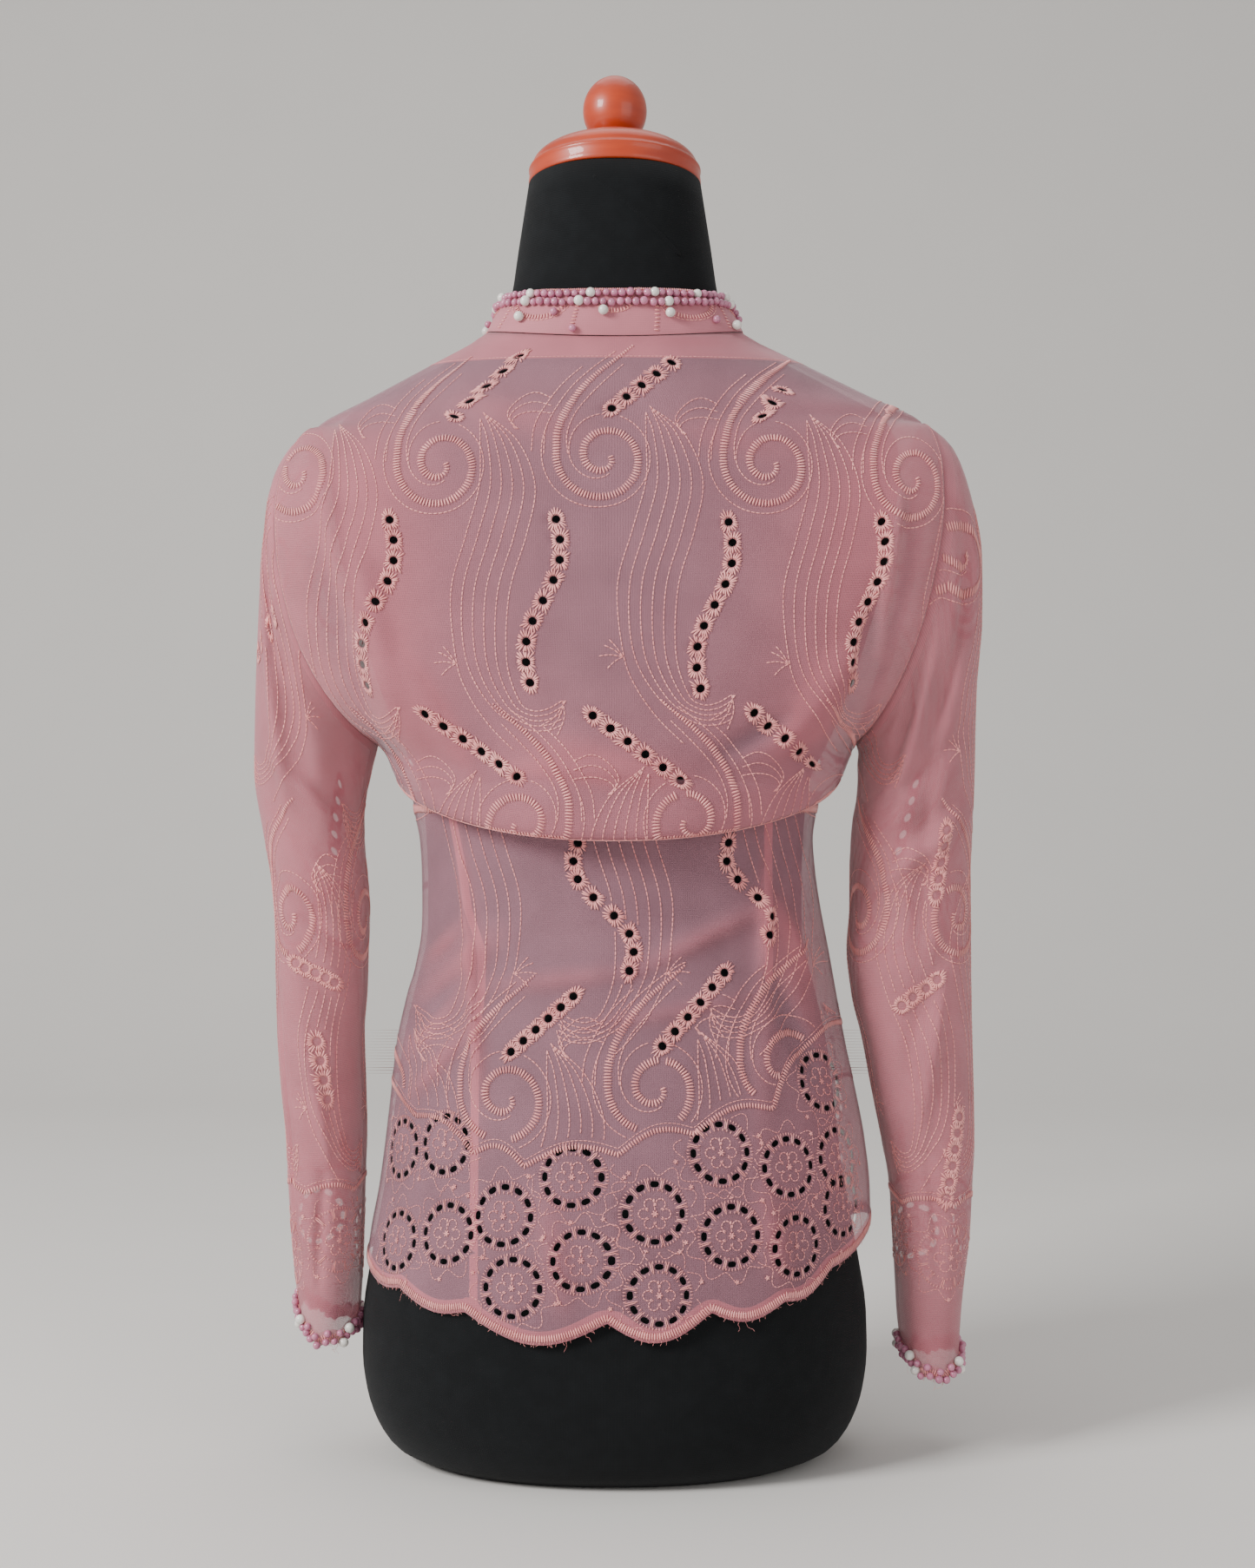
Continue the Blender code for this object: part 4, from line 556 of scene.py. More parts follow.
class BodyPanel:
    """The blouse's back or front as a surface: across from -1 to 1, and down in rows of the table."""
    nudge = 0.004
    outer = SHELL
    span = PANEL_SPAN
    plumb = 0.3

    def __init__(self, facing, name, lap=False):
        self.facing = facing
        self.name = name
        side = "back" if facing > 0 else "front"
        self.folds = folds_of(PANEL_FOLDS[side], CREASES[side])
        self.hand_sign = {"left_front": 1.0, "right_front": -1.0}.get(name, 0.0)
        first = 2 if facing > 0 else 4
        self.middle_z = [row[first] for row in BODICE_ROWS]
        self.middle_reach = [row[first + 1] for row in BODICE_ROWS]
        self.rows = len(BODICE_ROWS) - 1
        self.lap = lap
        self.hem = BACK_HEM if facing > 0 else FRONT_HEM
        self.hem_across = np.linspace(-1.0, 1.0, 161)
        self.hem_down = self.hem_rows(self.hem_across)

    def rows_at(self, z):
        """The rows between which a height is looked for: above the fold at the waist, or below it."""
        if self.facing < 0:
            return 0.0, self.rows
        return (0.0, FOLD_BOTTOM_ROW) if z > FOLD_HEIGHT else (FOLD_TOP_ROW - 1.0, self.rows)

    def border_span(self):
        lap = -self.hand_sign * (FRONT_LAP - 2.0 * MM) if self.hand_sign else -0.16
        return np.linspace(lap, 0.159 * (self.hand_sign or 1.0), 240)

    def edge_span(self):
        lap = self.across_at(-self.hand_sign * (FRONT_LAP - 1.5 * MM),
                             self.rows - 2.0) if self.hand_sign else -EDGE_SHARE
        return tuple(sorted((float(lap), EDGE_SHARE * (self.hand_sign or 1.0))))

    def on_cloth(self, places):
        """A test that places lie on the piece, a little inside its edges."""
        across, down = places.T
        kept = (np.abs(across) < EDGE_SHARE) & (down > 0.1)
        kept &= down < np.interp(across, self.hem_across, self.hem_down) - 0.05
        if self.hand_sign:
            x = self.draped(across, down)[:, 0] * self.hand_sign
            edge = np.where(down < NECKLINE_ROWS, NECK_SIDE_X * (1.0 - down / NECKLINE_ROWS), -FRONT_LAP)
            kept &= x > edge + 1.5 * MM
        return kept

    def seam(self, across, down):
        left, right = SEAMS[self.facing, "left"], SEAMS[self.facing, "right"]
        leftward = across >= 0
        ends = [np.where(leftward, smooth(left[:, k], down), smooth(right[:, k], down)) for k in range(3)]
        return ends, np.where(leftward, 1.0, -1.0)

    def draped(self, across, down):
        """The surface before its folds."""
        (edge_x, edge_y, edge_z), sign = self.seam(across, down)
        turn = smooth(TURNS, down)
        angle = np.minimum(np.abs(across), 1.0) * turn
        outward = rounded(np.sin(angle) / np.sin(turn), SECTION_POWER)
        inward = (np.cos(angle) - np.cos(turn)) / (1.0 - np.cos(turn))
        inward = np.maximum(inward, 0.0) ** SECTION_POWER
        reach = self.facing * smooth(self.middle_reach, down)
        x = sign * edge_x * outward
        y = edge_y + (reach - edge_y) * inward
        z = edge_z + (smooth(self.middle_z, down) - edge_z) * inward ** HEIGHT_POWER
        return columns(x, y, z)

    def across_at(self, x, down):
        """How far across the panel a place lies that is x from the middle."""
        x, down = np.broadcast_arrays(np.asarray(x, float), np.asarray(down, float))
        sign = np.where(x >= 0, 1.0, -1.0)
        (edge_x, _, _), _ = self.seam(sign, down)
        turn = smooth(TURNS, down)
        share = np.minimum(np.abs(x) / edge_x, 1.0) ** (1.0 / SECTION_POWER)
        return sign * np.arcsin(share * np.sin(turn)) / turn

    def points(self, across, down):
        across, down = np.asarray(across, float), np.asarray(down, float)
        surface = self.draped(across, down)
        outward = surface[:, :2] * [0.35, 1.0]
        outward /= np.linalg.norm(outward, axis=1)[:, None]
        seam_fade = np.clip((1.0 - np.abs(across)) / 0.12, 0.0, 1.0)
        fold_zone = np.clip(np.abs(down - (FOLD_BOTTOM_ROW + FOLD_TOP_ROW) / 2) / 5.5 - 0.4, 0.0, 1.0)
        raised = raised_by(self.folds, surface[:, 0], surface[:, 2])
        if self.facing > 0:
            raised *= fold_zone
        surface[:, :2] += outward * (raised * seam_fade)[:, None]
        surface = clear_of_form(surface, CLOTH_CLEARANCE)
        if self.lap:
            past = np.clip((surface[:, 0] + LAP_EASE) / (LAP_EASE - FRONT_LAP - 2 * MM), 0.0, 1.0)
            surface[:, 1] -= LAP_DEPTH * past ** 2 * (3.0 - 2.0 * past)
        return surface

    def relief(self, places, points):
        """How far folds raise the cloth at each place."""
        return raised_by(self.folds, points[:, 0], points[:, 2])

    def outward(self, places, base):
        level = [1.0, 1.0, 0.0]
        return base * level + [0.0, 0.02 * self.facing, 0.0] + np.maximum(base - 0.55, 0.0) * [0.0, 0.0, 1.0]

    def hem_rows(self, across):
        """The rows at which a panel ends, so that its edge follows the hem's scallops."""
        across = np.asarray(across, float)
        low, high = np.full(across.shape, FOLD_TOP_ROW + 2.0), np.full(across.shape, float(self.rows))
        for _ in range(24):
            down = (low + high) / 2
            spot = self.draped(across, down)
            above = spot[:, 2] > heights(self.hem, spot[:, 0])
            low, high = np.where(above, down, low), np.where(above, high, down)
        return down

    def doubled(self, flat, border, places, points):
        """How far inside a doubled part of the cloth each place lies: facing, seam allowance, hem or dart."""
        deep = SEAM_ALLOWANCE - edge_distance(border, flat)
        deep = np.maximum(deep, FACING_DEPTH + flat[:, 1] if self.facing > 0 else deep)
        x, z, below_fold = points[:, 0], points[:, 2], places[:, 1] > FOLD_TOP_ROW - 1.0
        if self.facing > 0:
            side = np.interp(z, [row[1] for row in PRINCESS_SEAM], [row[0] for row in PRINCESS_SEAM])
            pieced = TUCK_WIDTH / 2 - np.abs(x - side - TUCK_WIDTH / 2)
            dart = np.minimum(TUCK_WIDTH / 2 - np.abs(DART_X - x - TUCK_WIDTH / 2), z - DART_FOOT)
            deep = np.where(below_fold, np.maximum(deep, np.maximum(pieced, dart)), deep)
        return deep


class SleeveTube:
    """A sleeve as a surface: degrees round it from the outer side towards the back, and down in rows."""
    nudge = 0.5
    outer = 0.0
    span = SLEEVE_SPAN
    plumb = 90.0

    def __init__(self, hand):
        hole = ARMHOLES[hand]
        self.hand = hand
        self.sign = 1.0 if hand == "left" else -1.0
        first = (*hole["top"], *hole["under"], *hole["reach"], 0.0)
        self.table = np.vstack([first, SLEEVE_ROWS[hand]])
        self.rows = len(self.table) - 1
        self.seam_bow = hole["bow"]
        self.folds = folds_of(SLEEVE_FOLDS[hand], SLEEVE_CREASES[hand])
        self.folds[:, [0, 2]] *= TENTHS * math.radians(SLEEVE_RADIUS)

    def draped(self, turned, down):
        angle = np.radians(turned)
        rise = rounded(np.cos(angle), SLEEVE_POWER)
        swing = rounded(np.sin(angle), SLEEVE_POWER)
        top_x, top_z, in_x, in_z, back, front = (smooth(self.table[:, k], down) for k in range(6))
        bow = smooth([self.seam_bow[0], *self.table[1:, 6]], down)
        bow = np.where(swing > 0, bow, bow * self.seam_bow[1] / self.seam_bow[0])
        x = (top_x + in_x) / 2 + (top_x - in_x) / 2 * rise + bow * swing ** 2
        z = (top_z + in_z) / 2 + (top_z - in_z) / 2 * rise
        y = np.where(swing > 0, back, front) * swing
        return columns(x, y, z)

    def across_at(self, turned, down):
        return np.asarray(turned, float) + 0.0 * np.asarray(down, float)

    def points(self, turned, down):
        turned, down = np.mod(np.asarray(turned, float), 360.0), np.asarray(down, float)
        surface = self.draped(turned, down)
        angle = np.radians(turned)
        outward = columns(np.cos(angle), np.sin(angle))
        raised = raised_by(self.folds, angle * SLEEVE_RADIUS, surface[:, 2])
        raised *= np.clip((down - 0.6) / 2.0, 0.0, 1.0)
        surface[:, :2] += outward * raised[:, None]
        surface[:, 0] *= self.sign
        return surface

    def relief(self, places, points):
        return raised_by(self.folds, np.radians(places[:, 0]) * SLEEVE_RADIUS, points[:, 2])

    def outward(self, places, base):
        angle = np.radians(places[:, 0])
        return columns(np.cos(angle) * self.sign, np.sin(angle), 0.15 + 0.0 * angle)

    def cuff_rows(self, turned, rise=0.0):
        """The row of the cuff's edge, which ends in shallow points, or a level above it."""
        turned = np.asarray(turned, float)
        outer, middle, inner = CUFFS[self.hand]
        lean = np.cos(np.radians(turned))
        level = middle + (np.where(lean > 0, outer, inner) - middle) * lean ** 2
        level = level + CUFF_POINT * np.abs(np.sin(np.radians(turned) * CUFF_POINTS / 2)) + rise
        return locate(self, turned, level, (0.0, self.rows))[:, 1]

    def edge_span(self):
        return 0.0, 360.0

    def on_cloth(self, places):
        turned, down = np.mod(places[:, 0], 360.0), places[:, 1]
        around = np.linspace(0.0, 360.0, 181)
        return (down > 0.12) & (down < np.interp(turned, around, self.cuff_rows(around)) - 0.04)

    def doubled(self, flat, border, places, points):
        deep = SEAM_ALLOWANCE - edge_distance(border, flat)
        around = np.abs(np.mod(places[:, 0] - 172.0, 360.0) - 8.0)
        return np.maximum(deep, 7.0 * MM - around * self.span)


class Neckband:
    """The standing band as a surface: -1 at its right front end to 1 at its left one, and up from 0 to 1."""
    nudge = 0.004
    outer = BAND_SHELL

    def __init__(self):
        sides = {sign: band_stations(sign) for sign in (1.0, -1.0)}
        lower = np.concatenate([sides[-1.0][0][:0:-1], sides[1.0][0]])
        upper = np.concatenate([sides[-1.0][1][:0:-1], sides[1.0][1]])
        lower[0, 0], upper[0, 0], lower[-1, 0], upper[-1, 0] = np.array([-1, -1, 1, 1]) * BAND_END
        rise = upper - lower
        along = np.gradient(lower, axis=0)
        along /= np.linalg.norm(along, axis=1)[:, None]
        across = np.linalg.norm(rise - along * np.sum(rise * along, axis=1)[:, None], axis=1)[:, None]
        self.lower, self.upper = lower + rise / across * BAND_SEAM * 0.4, upper
        walked = np.concatenate([[0.0], np.cumsum(np.linalg.norm(np.diff(lower, axis=0), axis=1))])
        self.length = walked[-1]
        self.stations = walked / walked[-1] * 2.0 - 1.0

    def points(self, along, up):
        along, up = np.asarray(along, float), np.asarray(up, float)
        low, high = (columns(*[np.interp(along, self.stations, line[:, k]) for k in range(3)])
                     for line in (self.lower, self.upper))
        line = low + (high - low) * up[:, None]
        outward = line * [1.0, 1.0, 0.0]
        outward /= np.linalg.norm(outward, axis=1)[:, None]
        full = BAND_FULLNESS * np.sin(math.pi * np.clip(up, 0.0, 1.0))
        full += BAND_WAVER * np.sin(along * 17.0 + up * 4.0)
        return clear_of_form(line + outward * full[:, None], BAND_CLEARANCE)

    def relief(self, places, points):
        return 0.0 * places[:, 0]

    def outward(self, places, base):
        return base * [1.0, 1.0, 0.0]


def neckline_across(panel, hand_sign, down):
    """The front neckline: a V from the neck's side to the centre."""
    x = NECK_SIDE_X * (1.0 - np.asarray(down, float) / NECKLINE_ROWS)
    return panel.across_at(hand_sign * np.maximum(x, 1e-6), down)


def neckline_shares(steps):
    """Shares of the front neckline, closest together at the neck's side, where it turns most."""
    return 1.0 - np.cos(np.linspace(0.0, math.pi / 2, steps + 1))


def band_stations(hand_sign):
    """The neckband's lower and upper edges, from the centre back round to the centre front."""
    back, front = BodyPanel(1, "back"), BodyPanel(-1, "front")
    share = np.linspace(0.0, 1.0, BAND_STEPS + 1)
    angle = hand_sign * share * math.pi / 2
    top = BAND_TOP_BACK + (BAND_TOP_SIDE - BAND_TOP_BACK) * np.sin(angle) ** 2
    lower, upper = back.points(hand_sign * share, 0.0 * share), form_point(angle, top, BAND_CLEARANCE)
    share = neckline_shares(BAND_STEPS)[1:]
    down = NECKLINE_ROWS * share
    front_lower = front.points(neckline_across(front, hand_sign, down), down)
    z = BAND_TOP_SIDE + (BAND_TOP_FRONT - BAND_TOP_SIDE) * share
    half_width = form_reach(z)[0]
    x = np.abs(upper[-1, 0]) * (1.0 - share)
    angle = math.pi - np.arcsin(np.minimum(x / half_width, 1.0) ** (1.0 / SECTION_POWER))
    front_upper = form_point(hand_sign * angle, z, BAND_FRONT_CLEARANCE)
    return np.concatenate([lower, front_lower]), np.concatenate([upper, front_upper])


class Stitches:
    """Stitches gathered for one piece of cloth: both ends as places on its surface, width and lift."""

    def __init__(self, surface):
        self.surface = surface
        self.starts, self.ends, self.widths, self.lifts = [], [], [], []

    def add(self, starts, ends, width, lift=0.0):
        starts, ends = np.atleast_2d(starts), np.atleast_2d(ends)
        self.starts.append(starts)
        self.ends.append(ends)
        self.widths.append(np.full(len(starts), width))
        self.lifts.append(np.full(len(starts), lift))

    def run(self, line, length=RUNNING_LENGTH, width=RUNNING_WIDTH):
        """Running stitches end to end along a line of places, with a short gap between them."""
        walked, line = measured(self.surface, line)
        count = max(1, int(round(walked[-1] / length)))
        at = np.linspace(0.0, walked[-1], count + 1)
        starts = spread(line, walked, at[:-1])
        ends = spread(line, walked, at[1:] - RUNNING_GAP * walked[-1] / count / length)
        self.add(starts, ends, width)

    def comb(self, line, reach, width=SATIN_WIDTH, spacing=SATIN_SPACING, lift=SATIN_LIFT):
        """Satin stitches across a line, reaching so far to its left and right."""
        walked, line = measured(self.surface, line)
        count = max(2, int(walked[-1] / spacing))
        at = np.linspace(0.0, walked[-1], count)
        middle = spread(line, walked, at)
        step = spread(line, walked, np.minimum(at + MM, walked[-1])) - spread(line, walked,
                                                                              np.maximum(at - MM, 0.0))
        per_u, per_v = metric(self.surface, middle)
        across = columns(-step[:, 1] * per_v, step[:, 0] * per_u)
        across /= np.maximum(np.linalg.norm(across, axis=1), 1e-9)[:, None]
        across /= columns(per_u, per_v)
        reach = np.array([[value(t) if callable(value) else value for value in reach] for t in at / walked[-1]])
        reach *= np.random.default_rng(count).uniform(0.88, 1.1, reach.shape)
        self.add(middle - across * reach[:, :1], middle + across * reach[:, 1:], width, lift)

    def spokes(self, middle, angles, inner, outer, width=SATIN_WIDTH, lift=SATIN_LIFT):
        """Stitches that point away from a middle, from one radius to another."""
        per_u, per_v = (value[0] for value in metric(self.surface, np.array([middle])))
        way = columns(np.cos(angles) / per_u, np.sin(angles) / per_v)
        inner, outer = np.broadcast_to(inner, len(angles)), np.broadcast_to(outer, len(angles))
        self.add(middle + way * inner[:, None], middle + way * outer[:, None], width, lift)

    def keep(self, *tests):
        """Leave out the stitches whose ends don't pass all tests."""
        starts, ends = np.concatenate(self.starts), np.concatenate(self.ends)
        kept = np.ones(len(starts), bool)
        for test in tests:
            kept &= test(starts) & test(ends)
        self.starts, self.ends = [starts[kept]], [ends[kept]]
        self.widths, self.lifts = [np.concatenate(self.widths)[kept]], [np.concatenate(self.lifts)[kept]]

    def mesh(self, name):
        """A mesh of the stitches' middles, which carries the way each one runs."""
        starts, ends = np.concatenate(self.starts), np.concatenate(self.ends)
        widths, lifts = np.concatenate(self.widths), np.concatenate(self.lifts)
        first, last = (self.surface.points(*places.T) for places in (starts, ends))
        facing = facings(self.surface, (starts + ends) / 2)
        rise = self.surface.outer + lifts + widths * THREAD_SINK
        middle = (first + last) / 2 + facing * rise[:, None]
        way = last - first
        mesh = bpy.data.meshes.new(name)
        mesh.from_pydata([tuple(point) for point in centred(middle)], [], [])
        for label, kind, values in (("way", "FLOAT_VECTOR", way), ("facing", "FLOAT_VECTOR", facing),
                                    ("width", "FLOAT", widths)):
            layer = mesh.attributes.new(label, kind, "POINT")
            layer.data.foreach_set("vector" if kind == "FLOAT_VECTOR" else "value", np.ravel(values))
        return mesh


def metric(surface, places):
    """Metres of cloth for one unit across, or round, and for one row down."""
    places = np.asarray(places, float)
    base = surface.points(*places.T)
    aside = surface.points(places[:, 0] + surface.nudge, places[:, 1])
    below = surface.points(places[:, 0], places[:, 1] + ROW_NUDGE)
    per_u = np.linalg.norm(aside - base, axis=1) / surface.nudge
    per_v = np.linalg.norm(below - base, axis=1) / ROW_NUDGE
    return np.maximum(per_u, 1e-6), np.maximum(per_v, 1e-6)


def facings(surface, places):
    """The way that the cloth faces at each place."""
    base = surface.points(*places.T)
    aside = surface.points(places[:, 0] + surface.nudge, places[:, 1])
    below = surface.points(places[:, 0], places[:, 1] + ROW_NUDGE)
    facing = np.cross(below - base, aside - base)
    facing /= np.maximum(np.linalg.norm(facing, axis=1), 1e-12)[:, None]
    outward = surface.outward(places, base)
    return facing * np.where(np.sum(facing * outward, axis=1) < 0, -1.0, 1.0)[:, None]


def measured(surface, line):
    """How far along each place of a line lies, in metres of cloth."""
    line = np.asarray(line, float)
    points = surface.points(*line.T)
    return np.concatenate([[0.0], np.cumsum(np.linalg.norm(np.diff(points, axis=0), axis=1))]), line


def length_down(surface):
    """How far down the cloth each tenth of a row lies."""
    down = np.linspace(0.0, surface.rows, surface.rows * 10 + 1)
    return down, measured(surface, columns(np.full(len(down), surface.plumb), down))[0]


def spread(line, walked, at):
    return columns(*[np.interp(at, walked, line[:, k]) for k in (0, 1)])


def curve(*knots, steps=8):
    """A smooth line through a few given points."""
    knots = np.array(knots, float)
    ends = np.concatenate([[2 * knots[0] - knots[1]], knots, [2 * knots[-1] - knots[-2]]])
    line = []
    for k in range(len(knots) - 1):
        a, b, c, d = ends[k:k + 4]
        for t in np.linspace(0.0, 1.0, steps, endpoint=False):
            line.append(0.5 * (2 * b + (c - a) * t + (2 * a - 5 * b + 4 * c - d) * t ** 2
                               + (3 * b - a - 3 * c + d) * t ** 3))
    return np.array(line + [knots[-1]])


def locate(surface, x, z, rows):
    """Places on a panel or sleeve that are seen at x (or round it, in degrees) and height."""
    x, z = np.asarray(x, float), np.asarray(z, float)
    low, high = np.full(x.shape, float(rows[0])), np.full(x.shape, float(rows[1]))
    for _ in range(22):
        down = (low + high) / 2
        across = surface.across_at(x, down)
        above = surface.draped(across, down)[:, 2] > z
        low, high = np.where(above, down, low), np.where(above, high, down)
    return columns(surface.across_at(x, down), down)


def stamped(surface, middle, corners):
    """Corners given in metres along and down the cloth, as places round a middle."""
    per_u, per_v = (value[0] for value in metric(surface, np.array([middle])))
    return np.asarray(middle) + np.asarray(corners) / [per_u, per_v]


def heights(hem, x):
    """A scalloped edge's height at each x, from rows of x, height and, where given, the scallop's drop."""
    hem = hem[np.argsort(hem[:, 0])]
    starts, levels = hem[:, 0], hem[:, 1]
    drops = hem[:, 2] if hem.shape[1] > 2 else np.full(len(hem), -BORDER_RISE)
    x = np.clip(x, starts[0], starts[-1])
    lobe = np.clip(np.searchsorted(starts, x) - 1, 0, len(hem) - 2)
    share = (x - starts[lobe]) / (starts[lobe + 1] - starts[lobe])
    return levels[lobe] + (levels[lobe + 1] - levels[lobe]) * share - drops[lobe] * np.sin(math.pi * share)


def cell_lines(middle_s, middle_z, hand):
    """One repeat of the design, in metres: satin lines with their reach, and running lines."""
    def laid(points):
        points = np.asarray(points, float) * MM
        return columns(middle_s - hand * points[:, 0], middle_z + points[:, 1])

    turn = np.linspace(math.pi, 4.0 * math.pi, 60)
    radius = SPIRAL_OUTER + (SPIRAL_INNER - SPIRAL_OUTER) * (turn - math.pi) / (3.0 * math.pi)
    tail = curve(*TAIL[::-1])
    band = np.concatenate([tail, columns(radius * np.cos(turn), radius * np.sin(turn))[1:]])

    def reach(share):
        return BAND_HALF * min(1.0, 0.3 + share * 4.0) * (1.0 if share < 0.96 else 0.7)

    satin = [(laid(band), (reach, reach))]
    running = []
    around = np.linspace(LOOSE_LINE[0][0], LOOSE_LINE[-1][0], 70)
    loose = smooth([row[1] for row in LOOSE_LINE],
                   np.interp(around, [row[0] for row in LOOSE_LINE], np.arange(len(LOOSE_LINE))))
    around = np.radians(around)
    running.append(laid(columns(loose * np.cos(around), loose * np.sin(around))))
    for aside, top in ((-7.5, 0.86), (-15.0, 0.66)):
        line = curve(*[(u + aside * (1.0 - 0.5 * k / 6), w + abs(aside) * 0.25) for k,
                       (u, w) in enumerate(TAIL)])
        running.append(laid(line[:int(len(line) * top) + 1]))
    running.append(laid(curve((-21.5, 2.0), (-22.0, 14.0), (-17.5, 27.0), (-9.0, 38.5), (2.0, 50.0),
                              (12.0, 59.5))))
    for k in range(3):
        shrink = 1.0 - 0.27 * k
        running.append(laid(curve((-53.0 + k, 17.5), (-53.0 - 4.5 * shrink, 17.5 + 10.0 * shrink),
                                  (-50.0, 17.5 + 20.0 * shrink), (-41.0, 17.5 + 23.5 * shrink),
                                  (-31.0, 37.0 - 5.0 * k))))
    for k in range(LEAF_LINES):
        top = (28.0 - 0.2 * k, 32.0) if k > 1 else (25.0, 28.0)
        knots = [top, (25.0 + 4.6 * k, 14.0), (25.0 + 6.8 * k, -14.0), (17.0 + 7.4 * k, -44.0),
                 (8.0 + 7.2 * k, -78.0), (11.5 + 6.2 * k, -118.0)]
        if k == 0:
            knots += [(19.0, -138.0), (31.7, -156.0), (47.0, -171.0)]
        else:
            knots += [(29.0 + 4.2 * k, -146.0 + 0.8 * k), (52.0 + 1.2 * k, -161.0 + 2.6 * k),
                      (67.0, -163.0 + 3.2 * k), (76.0, -160.0 + 3.6 * k)]
        running.append(laid(curve(*knots)))
    for k in range(3):
        running.append(laid(curve((76.0 + k, -142.0), (77.0 - 3.0 * k, -152.0),
                                  (73.0 - 5.0 * k, -163.0 + 3.0 * k))))
    for ray in SPRIG_RAYS:
        running.append(laid(curve((11.3, -120.0), ((11.3 + ray[0]) / 2, (ray[1] - 120.0) / 2 + 1.0), ray)))
    return satin, running


def sew_cells(stitches, cells, rows, wrap=False):
    """Sew each repeat of the design where it lies on a panel, or round a sleeve."""
    def placed(line):
        if wrap:
            return locate(stitches.surface, 90.0 + np.degrees(line[:, 0] / SLEEVE_ROUND), line[:, 1], rows)
        x = line[:, 0] - ROUNDING * line[:, 0] ** 3
        return locate(stitches.surface, x, line[:, 1], rows)

    for middle_s, middle_z, hand in cells:
        satin, running = cell_lines(middle_s, middle_z, hand)
        for line, reach in satin:
            stitches.comb(placed(line), reach)
        for line in running:
            stitches.run(placed(line))


def sew_eyelets(stitches, holes, seed):
    """Close satin stitches round each eyelet, out to the edges of the band that its line forms."""
    rng = np.random.default_rng(seed)
    per_line = {}
    for line, middle in holes:
        per_line.setdefault(line, []).append(middle)
    for middles in per_line.values():
        middles = np.array(middles)
        for k, middle in enumerate(middles):
            per_u, per_v = (value[0] for value in metric(stitches.surface, np.array([middle])))
            way = (middles[min(k + 1, len(middles) - 1)] - middles[max(k - 1, 0)]) * [per_u, per_v]
            lean = math.atan2(way[1], way[0])
            angles = math.tau * (np.arange(EYELET_SPOKES)
                                 + rng.uniform(-0.2, 0.2, EYELET_SPOKES)) / EYELET_SPOKES
            sideways, along = np.abs(np.sin(angles - lean)), np.cos(angles - lean)
            half = np.hypot(*way) / (1.0 if k in (0, len(middles) - 1) else 2.0) / 2.0 + 0.4 * MM
            outer = np.minimum(EYELET_BAND / np.maximum(sideways, 0.1), half / np.maximum(np.abs(along), 0.1))
            free = ((k == 0) & (along < 0.0)) | ((k == len(middles) - 1) & (along > 0.0))
            outer = np.where(free, EYELET_BAND * (0.95 + 0.55 * along ** 4), outer)
            outer = np.minimum(outer, 1.45 * EYELET_BAND) * rng.uniform(0.88, 1.1, EYELET_SPOKES)
            stitches.spokes(middle, angles, EYELET_RADIUS + 0.1 * MM, outer, SATIN_WIDTH * 0.95)


def sew_ring(stitches, middle):
    """A ring of slots: a satin rim inside and out, bars between the slots, and a small flower."""
    around = np.linspace(0.0, math.tau, 64, endpoint=False)
    inner, outer = RING_RADIUS - SLOT_WIDTH / 2, RING_RADIUS + SLOT_WIDTH / 2
    stitches.spokes(middle, around, outer + 0.1 * MM, outer + 1.8 * MM, RIM_THREAD)
    stitches.spokes(middle, around[::2] + 0.05, inner - 1.7 * MM, inner - 0.1 * MM, RIM_THREAD)
    for k in range(SLOTS_IN_RING):
        bar = math.tau * (k + 0.5) / SLOTS_IN_RING
        stitches.spokes(middle, np.array([bar - 0.03, bar + 0.03]), inner - 1.0 * MM, outer + 1.2 * MM,
                        BAR_THREAD)
    for k in range(6):
        petal = math.tau * k / 6
        turn = np.linspace(-2.6, 2.6, 9)
        u = FLOWER_RADIUS * math.cos(petal) + PETAL_RADIUS * np.cos(petal + turn)
        v = FLOWER_RADIUS * math.sin(petal) + PETAL_RADIUS * np.sin(petal + turn)
        stitches.run(stamped(stitches.surface, middle, columns(u, v)), FINE_STITCH)
    stitches.spokes(middle, np.linspace(0.0, math.tau, 7)[:-1], 0.0, 2.1 * MM, KNOT_THREAD)
    stitches.run(stamped(stitches.surface, middle, [(0.0, -2.0 * MM), (0.6 * MM, -9.0 * MM)]), FINE_STITCH)


def sew_filling(stitches, middles):
    """Winding running lines and small knots between the rings."""
    for number, middle in enumerate(middles):
        turn = np.linspace(0.0, math.tau, 120)
        radius = (WINDING_RADIUS + WINDING_SWAY * np.sin(WINDINGS * turn + number)) * MM
        corners = columns(radius * np.cos(turn), radius * np.sin(turn))
        line = stamped(stitches.surface, middle, corners)
        stitches.run(line, WINDING_STITCH, FINE_THREAD)
        for k in range(4):
            knot = math.tau * (k + 0.37 * number) / 4
            spot = stamped(stitches.surface, middle,
                           [(KNOT_RADIUS * math.cos(knot), KNOT_RADIUS * math.sin(knot))])[0]
            stitches.spokes(spot, np.linspace(0.0, math.tau, 6)[:-1], 0.0, 1.5 * MM, KNOT_THREAD)


